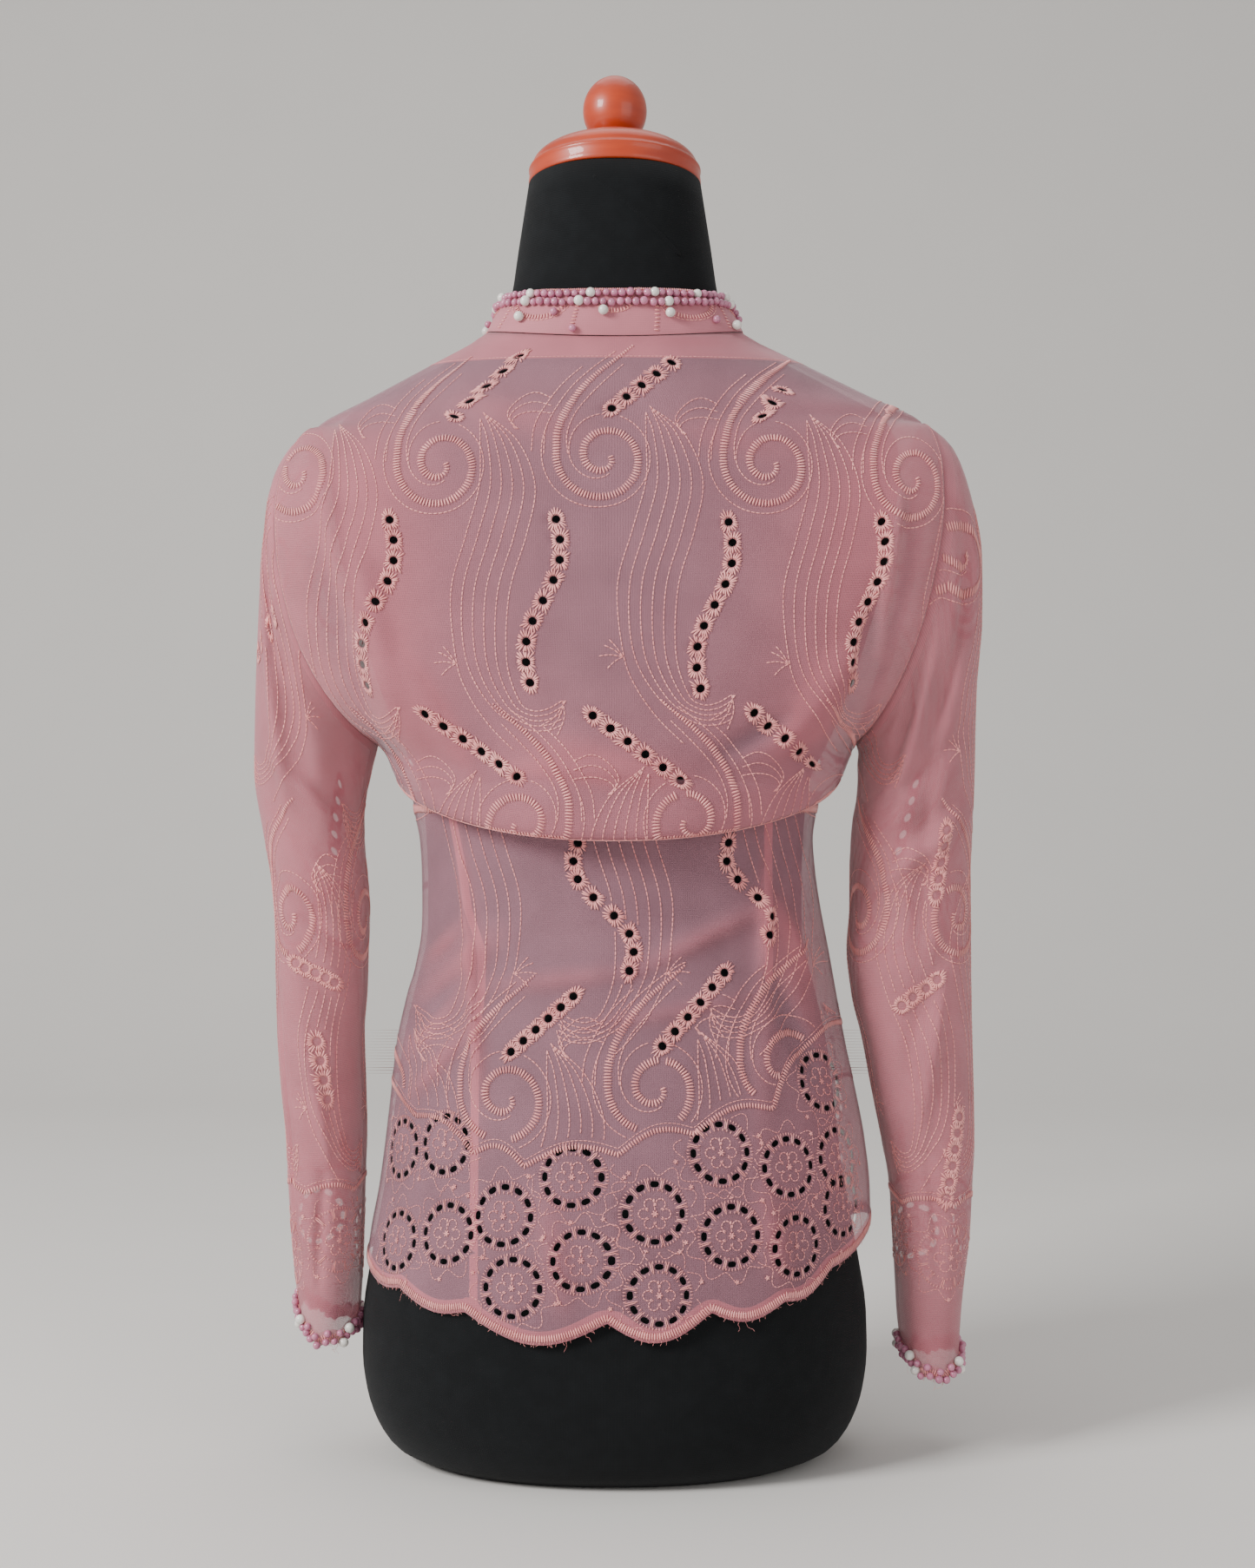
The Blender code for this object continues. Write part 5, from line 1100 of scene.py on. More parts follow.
def cloth_shell(name, surface, outline, holes, cloth, inward=False, weld=False):
    """Triangulate a flat piece with its holes, lay it on its surface and give it the thickness of cloth."""
    rows, lengths = length_down(surface)
    span = surface.span

    def flatten(places):
        places = np.asarray(places, float)
        return columns(places[:, 0] * span, -np.interp(places[:, 1], rows, lengths))

    rings = [np.asarray(outline, float)] + [np.asarray(corners, float) for corners in holes]
    border = flatten(rings[0])
    low, high = border.min(axis=0), border.max(axis=0)
    step = cloth.mesh_step
    grid = np.stack(np.meshgrid(np.arange(low[0], high[0], step), np.arange(low[1], high[1], step)), -1)
    grid = grid.reshape(-1, 2)
    grid[:, 0] += step / 2 * (np.round((grid[:, 1] - low[1]) / step) % 2)
    keep = inside(border, grid) & (edge_distance(border, grid) > step * 0.5)
    for corners in rings[1:]:
        hole = flatten(corners)
        middle = hole.mean(axis=0)
        keep &= np.hypot(*(grid - middle).T) > np.hypot(*(hole - middle).T).max() + step * 0.35
    grid = grid[keep]
    edges, first = [], 0
    for ring in rings:
        edges += [(first + k, first + (k + 1) % len(ring)) for k in range(len(ring))]
        first += len(ring)
    drawn = np.concatenate([flatten(ring) for ring in rings] + [grid])
    result = delaunay_2d_cdt([Vector(point) for point in drawn], edges, [], 1, 1e-7, True)
    flat, faces = np.array(result[0]), np.array([tuple(face) for face in result[2]])
    middles = flat[faces].mean(axis=1)
    cut = ~inside(border, middles)
    for corners in rings[1:]:
        hole = flatten(corners)
        near = np.flatnonzero(np.hypot(*(middles - hole.mean(axis=0)).T) < np.ptp(hole, axis=0).max())
        cut[near] |= inside(hole, middles[near])
    faces = faces[~cut]
    places = columns(flat[:, 0] / span, np.interp(-flat[:, 1], lengths, rows))
    points = surface.points(*places.T)
    mesh = bpy.data.meshes.new(name)
    mesh.from_pydata([tuple(point) for point in centred(points)], [], faces.tolist())
    distance = np.hypot(points[:, 0], points[:, 1])
    away = np.minimum(distance - distance / size_in_form(points, 0.0), FREED[1])
    # Painted shade: each fold's relief is added to the distance, so fold troughs are painted darker and greyer
    # and ridges pinker
    away += FOLD_SHADE_SHARE * surface.relief(places, points)
    for label, values in (("doubled", surface.doubled(flat, border, places, points)), ("away", away)):
        mesh.attributes.new(label, "FLOAT", "POINT").data.foreach_set("value", values)
    uv = mesh.uv_layers.new(name="cloth")
    corners = np.empty(len(mesh.loops), int)
    mesh.loops.foreach_get("vertex_index", corners)
    uv.data.foreach_set("uv", (flat - low)[corners].ravel())
    facing = facings(surface, places[faces[:, 0]])
    normals = np.empty(len(faces) * 3)
    mesh.polygons.foreach_get("normal", normals)
    if np.sum(normals.reshape(-1, 3) * facing) < 0:
        mesh.flip_normals()
    bm = bmesh.new()
    bm.from_mesh(mesh)
    if weld:
        bmesh.ops.remove_doubles(bm, verts=bm.verts, dist=0.02 * MM)
    bmesh.ops.delete(bm, geom=[vert for vert in bm.verts if not vert.link_faces], context="VERTS")
    bm.to_mesh(mesh)
    bm.free()
    mesh.shade_smooth()
    piece = new_piece(name, mesh)
    wall = piece.modifiers.new("Cloth", "SOLIDIFY")
    wall.thickness = cloth.thickness
    wall.offset = -1.0 if inward else 1.0
    return made_plain(piece)


def edge_distance(border, spots):
    """Distance of flat points to an outline."""
    best = np.full(len(spots), 9.0)
    for a, b in zip(border, np.roll(border, -1, axis=0)):
        way = b - a
        share = np.clip((spots - a) @ way / max(way @ way, 1e-12), 0.0, 1.0)
        best = np.minimum(best, np.hypot(*(spots - a - share[:, None] * way).T))
    return best


def inside(border, spots):
    """Which flat points lie inside an outline."""
    odd = np.zeros(len(spots), bool)
    for a, b in zip(border, np.roll(border, -1, axis=0)):
        if a[1] != b[1]:
            crosses = (a[1] > spots[:, 1]) != (b[1] > spots[:, 1])
            odd ^= crosses & (a[0] + (spots[:, 1] - a[1]) * (b[0] - a[0]) / (b[1] - a[1]) > spots[:, 0])
    return odd


def centred(points):
    """From the tables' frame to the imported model's, whose origin is under the middle of its box."""
    return np.asarray(points) - [BOX_MIDDLE[0], BOX_MIDDLE[1], 0.0]


def new_piece(name, mesh):
    piece = bpy.data.objects.new(name, mesh)
    bpy.context.scene.collection.objects.link(piece)
    return piece


def made_plain(piece):
    """Turn a piece and its modifiers into a plain mesh."""
    graph = bpy.context.evaluated_depsgraph_get()
    mesh = bpy.data.meshes.new_from_object(piece.evaluated_get(graph))
    piece.modifiers.clear()
    old, piece.data = piece.data, mesh
    bpy.data.meshes.remove(old)
    mesh.name = piece.name
    return piece


def settle(piece, material, slot, *replaced):
    """Give a piece its material and its body, and hide the solids that it stands for. The slot is not used."""
    if material is not None:
        piece.data.materials.clear()
        piece.data.materials.append(material)
    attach(piece, BODY)
    if replaced:
        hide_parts(*replaced)
    return piece


def add(tree, kind, settings=(), **inputs):
    """Add a node with its settings, and set or link its inputs by name, or by number as i0, i1.

    A node given for an input stands for its first output.
    """
    node = tree.nodes.new(kind)
    for name, value in dict(settings).items():
        setattr(node, name, value)
    for name, value in inputs.items():
        value = value.outputs[0] if isinstance(value, bpy.types.Node) else value
        numbered = name[0] == "i" and name[1:].isdigit()
        socket = node.inputs[int(name[1:])] if numbered else node.inputs[name.replace("_", " ")]
        if isinstance(value, bpy.types.NodeSocket):
            tree.links.new(value, socket)
        else:
            socket.default_value = value
    return node


def new_tree(name, sizes):
    """A geometry tree that takes a mesh, sizes with their defaults, a seed and a material."""
    tree = bpy.data.node_groups.new(name, "GeometryNodeTree")
    tree.interface.new_socket("Geometry", in_out="INPUT", socket_type="NodeSocketGeometry")
    for label, value in sizes.items():
        tree.interface.new_socket(label, in_out="INPUT", socket_type="NodeSocketFloat").default_value = value
    tree.interface.new_socket("Seed", in_out="INPUT", socket_type="NodeSocketInt").default_value = 1
    tree.interface.new_socket("Material", in_out="INPUT", socket_type="NodeSocketMaterial")
    tree.interface.new_socket("Geometry", in_out="OUTPUT", socket_type="NodeSocketGeometry")
    return tree, tree.nodes.new("NodeGroupInput").outputs


def finish_tree(tree, shape, material):
    """Make a tree's instances real, shade them smooth, give them their material and send them out."""
    real = add(tree, "GeometryNodeRealizeInstances", Geometry=shape)
    soft = add(tree, "GeometryNodeSetShadeSmooth", Geometry=real)
    dressed = add(tree, "GeometryNodeSetMaterial", Geometry=soft, Material=material)
    add(tree, "NodeGroupOutput", Geometry=dressed)


def attribute(tree, name, kind="FLOAT"):
    return add(tree, "GeometryNodeInputNamedAttribute", {"data_type": kind}, Name=name).outputs[0]


def stitch_tree():
    """A stitch at each point: a grain of thread laid along the point's way, on the cloth that it faces."""
    tree, given = new_tree("Stitches on cloth", {"Thickness": 0.75, "Unevenness": 0.16})
    way, facing, width = attribute(tree, "way", "FLOAT_VECTOR"), attribute(tree, "facing", "FLOAT_VECTOR"), \
        attribute(tree, "width")
    grain = add(tree, "GeometryNodeMeshUVSphere", Segments=3, Rings=3, Radius=0.5)
    lying = add(tree, "GeometryNodeTransform", Geometry=grain, Rotation=(0.0, math.pi / 2, 0.0),
                Scale=(1.0, 1.16, 1.16))
    along = add(tree, "FunctionNodeAlignRotationToVector", {"axis": "X"}, Vector=way)
    turned = add(tree, "FunctionNodeAlignRotationToVector", {"axis": "Z", "pivot_axis": "X"},
                 Rotation=along, Vector=facing)
    length = add(tree, "ShaderNodeVectorMath", {"operation": "LENGTH"}, i0=way)
    low = add(tree, "ShaderNodeMath", {"operation": "SUBTRACT"}, i0=1.0, i1=given["Unevenness"])
    high = add(tree, "ShaderNodeMath", {"operation": "ADD"}, i0=1.0, i1=given["Unevenness"])
    uneven = add(tree, "FunctionNodeRandomValue", {"data_type": "FLOAT"}, Seed=given["Seed"])
    tree.links.new(low.outputs[0], uneven.inputs[2])
    tree.links.new(high.outputs[0], uneven.inputs[3])
    wide = add(tree, "ShaderNodeMath", {"operation": "MULTIPLY"}, i0=width, i1=uneven.outputs[1])
    thick = add(tree, "ShaderNodeMath", {"operation": "MULTIPLY"}, i0=wide, i1=given["Thickness"])
    size = add(tree, "ShaderNodeCombineXYZ", X=length.outputs["Value"], Y=wide, Z=thick)
    sewn = add(tree, "GeometryNodeInstanceOnPoints", Points=given["Geometry"], Instance=lying,
               Rotation=turned, Scale=size)
    finish_tree(tree, sewn.outputs[0], given["Material"])
    return tree


def pearl_tree():
    """A round pearl at each point, as wide as the point's width says."""
    tree, given = new_tree("Pearls on points", {"Unevenness": 0.05})
    ball = add(tree, "GeometryNodeMeshUVSphere", Segments=14, Rings=9, Radius=0.5)
    low = add(tree, "ShaderNodeMath", {"operation": "SUBTRACT"}, i0=1.0, i1=given["Unevenness"])
    uneven = add(tree, "FunctionNodeRandomValue", {"data_type": "FLOAT"}, Seed=given["Seed"])
    tree.links.new(low.outputs[0], uneven.inputs[2])
    wide = add(tree, "ShaderNodeMath", {"operation": "MULTIPLY"}, i0=attribute(tree, "width"),
               i1=uneven.outputs[1])
    strung = add(tree, "GeometryNodeInstanceOnPoints", Points=given["Geometry"], Instance=ball,
                 Scale=wide)
    finish_tree(tree, strung.outputs[0], given["Material"])
    return tree


def grown(name, mesh, tree, material, seed):
    """Run a tree over a mesh of points and keep what it makes as a plain mesh."""
    piece = new_piece(name, mesh)
    maker = piece.modifiers.new(tree.name, "NODES")
    maker.node_group = tree
    sockets = {item.name: item.identifier for item in tree.interface.items_tree if item.in_out == "INPUT"}
    maker[sockets["Material"]] = material
    maker[sockets["Seed"]] = seed
    piece.update_tag()
    made_plain(piece)
    for label in ("way", "facing", "width"):
        if label in piece.data.attributes:
            piece.data.attributes.remove(piece.data.attributes[label])
    return piece


def linear(code):
    """An sRGB hex colour in linear values."""
    parts = [int(code[k:k + 2], 16) / 255.0 for k in (1, 3, 5)]
    return tuple(part / 12.92 if part <= 0.04045 else ((part + 0.055) / 1.055) ** 2.4 for part in parts)


def new_material(name, **values):
    material = bpy.data.materials.new(name)
    material.use_nodes = True
    tree = material.node_tree
    tree.nodes.clear()
    shader = add(tree, "ShaderNodeBsdfPrincipled", **values)
    add(tree, "ShaderNodeOutputMaterial", Surface=shader)
    return material, tree, shader


def blend(tree, share, low, high):
    """Mix two colours by a share."""
    mix = add(tree, "ShaderNodeMix", {"data_type": "RGBA"}, i0=share)
    for number, colour in ((6, low), (7, high)):
        if isinstance(colour, bpy.types.NodeSocket):
            tree.links.new(colour, mix.inputs[number])
        else:
            mix.inputs[number].default_value = (*colour[:3], 1.0)
    return mix.outputs[2]


def weave(tree, spacing, **bend):
    """Places on the flat cloth, and the height of two sets of yarns that cross."""
    place = add(tree, "ShaderNodeUVMap", {"uv_map": "cloth"}).outputs[0]
    yarns = [add(tree, "ShaderNodeTexWave", {"bands_direction": way}, Vector=place, **bend,
                 Scale=math.tau / 20.0 / spacing).outputs[1] for way in "XY"]
    return place, add(tree, "ShaderNodeMath", {"operation": "MAXIMUM"}, i0=yarns[0], i1=yarns[1]).outputs[0]


def raise_skin(tree, shader, height, strength, distance):
    """Let a height show as fine relief."""
    bump = add(tree, "ShaderNodeBump", Strength=strength, Distance=distance, Height=height)
    tree.links.new(bump.outputs[0], shader.inputs["Normal"])


def cloudy(tree, place, scale, detail, low, high):
    """A cloudy share from 0 to 1, from noise that is cut off below and above."""
    noise = add(tree, "ShaderNodeTexNoise", Vector=place, Scale=scale, Detail=detail)
    return add(tree, "ShaderNodeMapRange", Value=noise, From_Min=low, From_Max=high).outputs[0]


def darkened(colour, *factors):
    return tuple(value * factor for value, factor in zip(colour, factors))


def voile_finish(cloth):
    """Cotton voile: a loose plain weave of hard-twisted yarn, sheer where single and deeper pink where doubled.

    Real voile has about three yarns to the millimetre, too fine to show, so its weave is drawn three times
    as coarse.
    """
    material, tree, shader = new_material("Sheer cotton voile", Roughness=0.78, Sheen_Weight=0.25,
                                          Sheen_Roughness=0.5)
    _, yarn = weave(tree, cloth.weave_spacing, Distortion=0.6, Detail=1.0, Detail_Scale=0.4)
    body = add(tree, "ShaderNodeTexNoise", Vector=add(tree, "ShaderNodeTexCoord").outputs["Object"], Scale=28.0,
               Detail=3.0)
    deep = add(tree, "ShaderNodeAttribute", {"attribute_name": "doubled"}).outputs["Fac"]
    doubled = add(tree, "ShaderNodeMapRange", Value=deep, From_Min=-0.00025, From_Max=0.00025).outputs[0]
    # The away attribute holds the distance from the form plus painted fold shade; both deepen the tint and the
    # cover
    gap = add(tree, "ShaderNodeAttribute", {"attribute_name": "away"}).outputs["Fac"]
    freed_and_fold_shade = add(tree, "ShaderNodeMapRange", Value=gap, From_Min=FREED[0], From_Max=FREED[1])
    fuller_and_fold_shade = add(tree, "ShaderNodeMath", {"operation": "MAXIMUM"}, i0=doubled, i1=freed_and_fold_shade)
    tint = blend(tree, fuller_and_fold_shade.outputs[0], cloth.single_colour, cloth.doubled_colour)
    shade = add(tree, "ShaderNodeMapRange", Value=body, From_Min=0.3, From_Max=0.7, To_Min=0.88,
                To_Max=1.08)
    hue = add(tree, "ShaderNodeHueSaturation", Color=tint, Value=shade)
    tree.links.new(hue.outputs[0], shader.inputs["Base Color"])
    wall = 1.0 - (1.0 - cloth.cover) ** 0.5
    # The cover carries the painted fold shade too: fold troughs are thinner, so the black form darkens them
    part = add(tree, "ShaderNodeMath", {"operation": "MULTIPLY_ADD"}, i0=freed_and_fold_shade, i1=0.45, i2=doubled)
    cover = add(tree, "ShaderNodeMapRange", Value=part, To_Min=wall, To_Max=1.0 - (1.0 - wall) ** 2)
    woven = add(tree, "ShaderNodeMapRange", Value=yarn, From_Min=0.2, From_Max=0.9, To_Min=0.72,
                To_Max=1.12)
    solid = add(tree, "ShaderNodeMath", {"operation": "MULTIPLY", "use_clamp": True}, i0=cover,
                i1=woven)
    tree.links.new(solid.outputs[0], shader.inputs["Alpha"])
    raise_skin(tree, shader, yarn, 0.3, 0.0002)
    return material


def band_finish(cloth):
    """Voile folded over a stiffener: the same weave, with nothing showing through."""
    material, tree, shader = new_material("Folded voile over stiffener", Roughness=0.72, Sheen_Weight=0.25,
                                          Sheen_Roughness=0.5)
    place, yarn = weave(tree, cloth.weave_spacing, Distortion=0.8)
    body = add(tree, "ShaderNodeTexNoise", Vector=place, Scale=60.0, Detail=3.0)
    share = add(tree, "ShaderNodeMath", {"operation": "MULTIPLY"}, i0=yarn, i1=body)
    darker = darkened(cloth.doubled_colour, 0.72, 0.72, 0.72)
    tree.links.new(blend(tree, share.outputs[0], darker, cloth.doubled_colour), shader.inputs["Base Color"])
    raise_skin(tree, shader, yarn, 0.4, 0.0002)
    return material


def thread_finish(thread):
    """Rayon embroidery thread: smooth filaments, so a soft silky light along each stitch."""
    material, tree, shader = new_material("Rayon embroidery thread", Roughness=0.38, Sheen_Weight=0.2,
                                          Sheen_Roughness=0.35)
    place = add(tree, "ShaderNodeTexCoord").outputs["Object"]
    dye = cloudy(tree, place, 45.0, 4.0, 0.35, 0.65)
    darker = darkened(thread.colour, 0.8, 0.68, 0.7)
    tree.links.new(blend(tree, dye, darker, thread.colour), shader.inputs["Base Color"])
    twist = add(tree, "ShaderNodeTexNoise", Vector=place, Scale=2400.0, Detail=2.0)
    raise_skin(tree, shader, twist.outputs[0], 0.25, 0.0002)
    return material


def jersey_finish(form):
    """Cotton jersey stretched over foam: matt near-black, with fine upright ribs of knitting.

    Real ribs are about 0.8 mm apart; they are drawn somewhat coarser so that they show.
    """
    material, tree, shader = new_material("Black cotton jersey", Roughness=0.92, Sheen_Weight=0.03,
                                          Sheen_Roughness=0.6, Specular_IOR_Level=0.2)
    place = add(tree, "ShaderNodeUVMap", {"uv_map": "cloth"}).outputs[0]
    ribs = add(tree, "ShaderNodeTexWave", {"bands_direction": "X"}, Vector=place,
               Scale=math.tau / 20.0 / form.rib_spacing, Distortion=0.4)
    courses = add(tree, "ShaderNodeTexWave", {"bands_direction": "Y"}, Vector=place,
                  Scale=math.tau / 20.0 / (form.rib_spacing * 0.8))
    loops = add(tree, "ShaderNodeMath", {"operation": "MULTIPLY"}, i0=ribs.outputs[1], i1=courses.outputs[1])
    lint = cloudy(tree, add(tree, "ShaderNodeTexCoord").outputs["Object"], 90.0, 5.0, 0.4, 0.75)
    paler = tuple(value * 1.4 + 0.001 for value in form.jersey_colour)
    tree.links.new(blend(tree, lint, form.jersey_colour, paler), shader.inputs["Base Color"])
    raise_skin(tree, shader, loops.outputs[0], 0.35, 0.0003)
    return material


def lacquer_finish(form):
    """Orange lacquer brushed on turned wood: a clear hard gloss over slightly uneven colour."""
    material, tree, shader = new_material("Orange lacquer on turned wood", Roughness=0.42, Coat_Weight=0.28,
                                          Coat_Roughness=0.06)
    place = add(tree, "ShaderNodeTexCoord").outputs["Object"]
    stretched = add(tree, "ShaderNodeMapping", Vector=place, Scale=(1.0, 1.0, 5.0))
    brushed = cloudy(tree, stretched.outputs[0], 22.0, 5.0, 0.3, 0.75)
    darker = darkened(form.lacquer_colour, 0.72, 0.55, 0.5)
    tree.links.new(blend(tree, brushed, darker, form.lacquer_colour), shader.inputs["Base Color"])
    ripple = add(tree, "ShaderNodeTexNoise", Vector=place, Scale=35.0, Detail=2.0)
    raise_skin(tree, shader, ripple.outputs[0], 0.08, 0.001)
    return material


def pearl_finish(name, colour):
    """Glass beads dipped in pearl essence: a soft bright skin over uneven colour."""
    material, tree, shader = new_material(name, Roughness=0.24, Coat_Weight=0.6, Coat_Roughness=0.12)
    place = add(tree, "ShaderNodeTexCoord").outputs["Object"]
    dip = cloudy(tree, place, 130.0, 2.0, 0.3, 0.7)
    tree.links.new(blend(tree, dip, darkened(colour, 0.7, 0.7, 0.7), colour), shader.inputs["Base Color"])
    return material


def floor_finish(stage):
    """Matt wall paint on board, rolled, with a hardly visible unevenness."""
    material, tree, shader = new_material("Pale matt paint", Roughness=0.9)
    place = add(tree, "ShaderNodeTexCoord").outputs["Object"]
    rolled = add(tree, "ShaderNodeTexNoise", Vector=place, Scale=6.0, Detail=4.0)
    darker = darkened(stage.floor_colour, 0.96, 0.96, 0.96)
    tree.links.new(blend(tree, rolled.outputs[0], darker, stage.floor_colour), shader.inputs["Base Color"])
    return material


def finish(name, maker, *values):
    """A finish, made once and shared by the pieces that have it."""
    if name not in FINISHES:
        FINISHES[name] = maker(*values)
    return FINISHES[name]


def voile():
    return finish("voile", voile_finish, bpy.context.scene.blouse_cloth)


def thread():
    return finish("thread", thread_finish, bpy.context.scene.blouse_thread)


def sewn(name, stitches, slot, seed):
    """Sew what has been gathered, as one piece."""
    if "stitches" not in TREES:
        TREES["stitches"] = stitch_tree()
    return settle(grown(name, stitches.mesh(name), TREES["stitches"], thread(), seed), None, slot)


def loft(name, rings, around, up):
    """Skin closed rings from the lowest up, close both ends, and map it in metres."""
    bm = bmesh.new()
    uv = bm.loops.layers.uv.new("cloth")
    verts = [[bm.verts.new(point) for point in ring] for ring in rings]
    count = len(rings[0])
    for row in range(len(rings) - 1):
        for k in range(count):
            after = (k + 1) % count
            face = bm.faces.new((verts[row][k], verts[row + 1][k], verts[row + 1][after], verts[row][after]))
            corners = ((k, row), (k, row + 1), (k + 1, row + 1), (k + 1, row))
            for loop, (column, level) in zip(face.loops, corners):
                loop[uv].uv = (around * column / count, up[level])
    bm.faces.new(verts[0])
    bm.faces.new(verts[-1][::-1])
    bmesh.ops.recalc_face_normals(bm, faces=bm.faces)
    mesh = bpy.data.meshes.new(name)
    bm.to_mesh(mesh)
    bm.free()
    mesh.shade_smooth()
    return new_piece(name, mesh)


def jersey_form():
    """The form's rows, followed smoothly, with its edge turned in softly below and the neck's top tilted."""
    at = np.linspace(0.0, len(FORM_ROWS) - 1.0, 3 * (len(FORM_ROWS) - 1) + 1)
    height, half_width, back, front = (smooth(FORM_ROWS[:, k], at) for k in range(4))
    angle = np.linspace(0.0, math.tau, FORM_COLUMNS, endpoint=False)
    rings = []
    for z, wide, behind, ahead in zip(height, half_width, back, front):
        x = wide * rounded(np.sin(angle), SECTION_POWER)
        y = np.where(np.cos(angle) > 0, behind, ahead) * rounded(np.cos(angle), SECTION_POWER)
        tilt = math.tan(CAP_TILT) * min(max((z - NECK_TOP) / (40 * MM) + 1.0, 0.0), 1.0)
        rings.append([tuple(point) for point in centred(columns(x, y, z + y * tilt))])
    return loft("jersey_form", rings, FORM_GIRTH, height)


def neck_welt():
    """The jersey's seam on the neck: a thin welt that runs down at a slant."""
    share = np.linspace(0.0, 1.0, 40)
    turn = np.radians(NECK_SEAM[0][0] + (NECK_SEAM[1][0] - NECK_SEAM[0][0]) * share)
    z = NECK_SEAM[0][1] + (NECK_SEAM[1][1] - NECK_SEAM[0][1]) * share
    line = form_point(turn, z)
    outward = line * [1.0, 1.0, 0.0]
    outward /= np.linalg.norm(outward, axis=1)[:, None]
    along = np.gradient(line, axis=0)
    along /= np.linalg.norm(along, axis=1)[:, None]
    aside = np.cross(along, outward)
    rings = []
    for point, out, way in zip(centred(line), outward, aside):
        corners = [math.tau * k / 8 for k in range(8)]
        rings.append([tuple(point + out * 0.5 * MM * math.sin(a) + way * 1.3 * MM * math.cos(a))
                      for a in corners])
    return loft("neck_seam", rings, 6.0 * MM, z)


def turned(name, profile):
    """Turn a profile, given from the top down its outer side, about the cap's tilted axis."""
    angle = np.linspace(0.0, math.tau, TURNED_STEPS, endpoint=False)
    rings = []
    for radius, height in profile[::-1]:
        x, y = radius * np.cos(angle), radius * np.sin(angle)
        tilted = columns(x, y * math.cos(CAP_TILT) - height * math.sin(CAP_TILT),
                           y * math.sin(CAP_TILT) + height * math.cos(CAP_TILT) + NECK_TOP)
        rings.append([tuple(point) for point in centred(tilted)])
    return loft(name, rings, math.tau * profile[len(profile) // 2][0], [row[1] for row in profile[::-1]])


def arc(middle, radius_x, radius_z, first, last, steps):
    """Points of an ellipse between two angles, from the top down."""
    angles = [math.radians(first + (last - first) * k / steps) for k in range(steps + 1)]
    return [(middle[0] + radius_x * math.sin(a), middle[1] + radius_z * math.cos(a)) for a in angles]


def cap_profile():
    base = SEAM_GAP
    rim_top = base + CAP_RIM
    step = [(0.5 * MM, base + CAP_RISE), (CAP_STEP_RADIUS - 4 * MM, base + CAP_RISE - 0.2 * MM)]
    dome = arc((0.0, rim_top), CAP_RADIUS - 2 * MM, CAP_RISE - CAP_RIM, 16.0, 86.0, 22)
    bead = arc((CAP_RADIUS - 1.6 * MM, rim_top - 2.2 * MM), 1.6 * MM, 1.8 * MM, 10.0, 120.0, 6)
    side = [(CAP_RADIUS - 0.5 * MM, rim_top - 5 * MM), (CAP_RADIUS, base + 3 * MM)]
    foot = arc((CAP_RADIUS - 1.5 * MM, base + 1.5 * MM), 1.5 * MM, 1.5 * MM, 90.0, 180.0, 5)
    return step + dome + bead + side + foot + [(CAP_RADIUS - 8 * MM, base)]


def finial_profile():
    base = SEAM_GAP * 2 + CAP_RISE
    half_height = FINIAL_RADIUS * 1.1
    ball = arc((0.0, base + FINIAL_HEIGHT - half_height), FINIAL_RADIUS, half_height, 3.0, 136.0, 30)
    foot = arc((FINIAL_FOOT - 1.2 * MM, base + 1.2 * MM), 1.2 * MM, 1.2 * MM, 60.0, 180.0, 5)
    return ball + foot + [(FINIAL_FOOT - 6 * MM, base)]


def line_eyelets(surface):
    """Each eyelet of a panel or sleeve, with the number of its line."""
    found = []
    if isinstance(surface, BodyPanel):
        for number, (*line, count) in enumerate(EYELET_LINES[surface.name]):
            x, z, run_x, run_z, sway = tenths(line)
            t = np.linspace(0.0, 1.0, count)
            rows = surface.rows_at(z)
            places = locate(surface, x + run_x * t - sway * np.sin(math.tau * t), z + run_z * t, rows)
            found += [(number, place) for place in places]
    else:
        for number, (hand, turn, z, run_turn, run_z, count) in enumerate(SLEEVE_EYELETS):
            if hand == surface.hand:
                t = np.linspace(0.0, 1.0, count)
                places = locate(surface, turn + run_turn * t, z + run_z * t, (0.0, surface.rows))
                found += [(number, place) for place in places]
    return found


def ring_places(surface):
    """The middles of a panel's or sleeve's rings of slots."""
    if isinstance(surface, SleeveTube):
        rings = np.array(SLEEVE_RINGS) + [0.0 if surface.hand == "left" else 45.0, 0.0]
    elif surface.facing > 0:
        rings = BACK_RINGS
    else:
        rings = FRONT_RINGS * [surface.hand_sign, 1.0]
    rows = (0.0 if isinstance(surface, SleeveTube) else FOLD_TOP_ROW, surface.rows)
    return locate(surface, rings[:, 0], rings[:, 1], rows)


def cut_holes(surface):
    """Outlines of all holes: the eyelets, and the slots of the rings."""
    turn = math.tau * (np.arange(EYELET_SIDES) + 0.5) / EYELET_SIDES
    eyelet = EYELET_RADIUS * columns(np.cos(turn), np.sin(turn))
    holes = [stamped(surface, middle, eyelet) for _, middle in line_eyelets(surface)]
    side = math.tau * (np.arange(SLOT_SIDES) + 0.5) / SLOT_SIDES
    out = RING_RADIUS + RIM_SLOT[1] / 2 * rounded(np.cos(side), 0.75)
    along = RIM_SLOT[0] / 2 * rounded(np.sin(side), 0.75)
    for middle in ring_places(surface):
        for k in range(SLOTS_IN_RING):
            way = math.tau * k / SLOTS_IN_RING
            slot = columns(out * math.cos(way) - along * math.sin(way),
                             out * math.sin(way) + along * math.cos(way))
            holes.append(stamped(surface, middle, slot))
    return holes


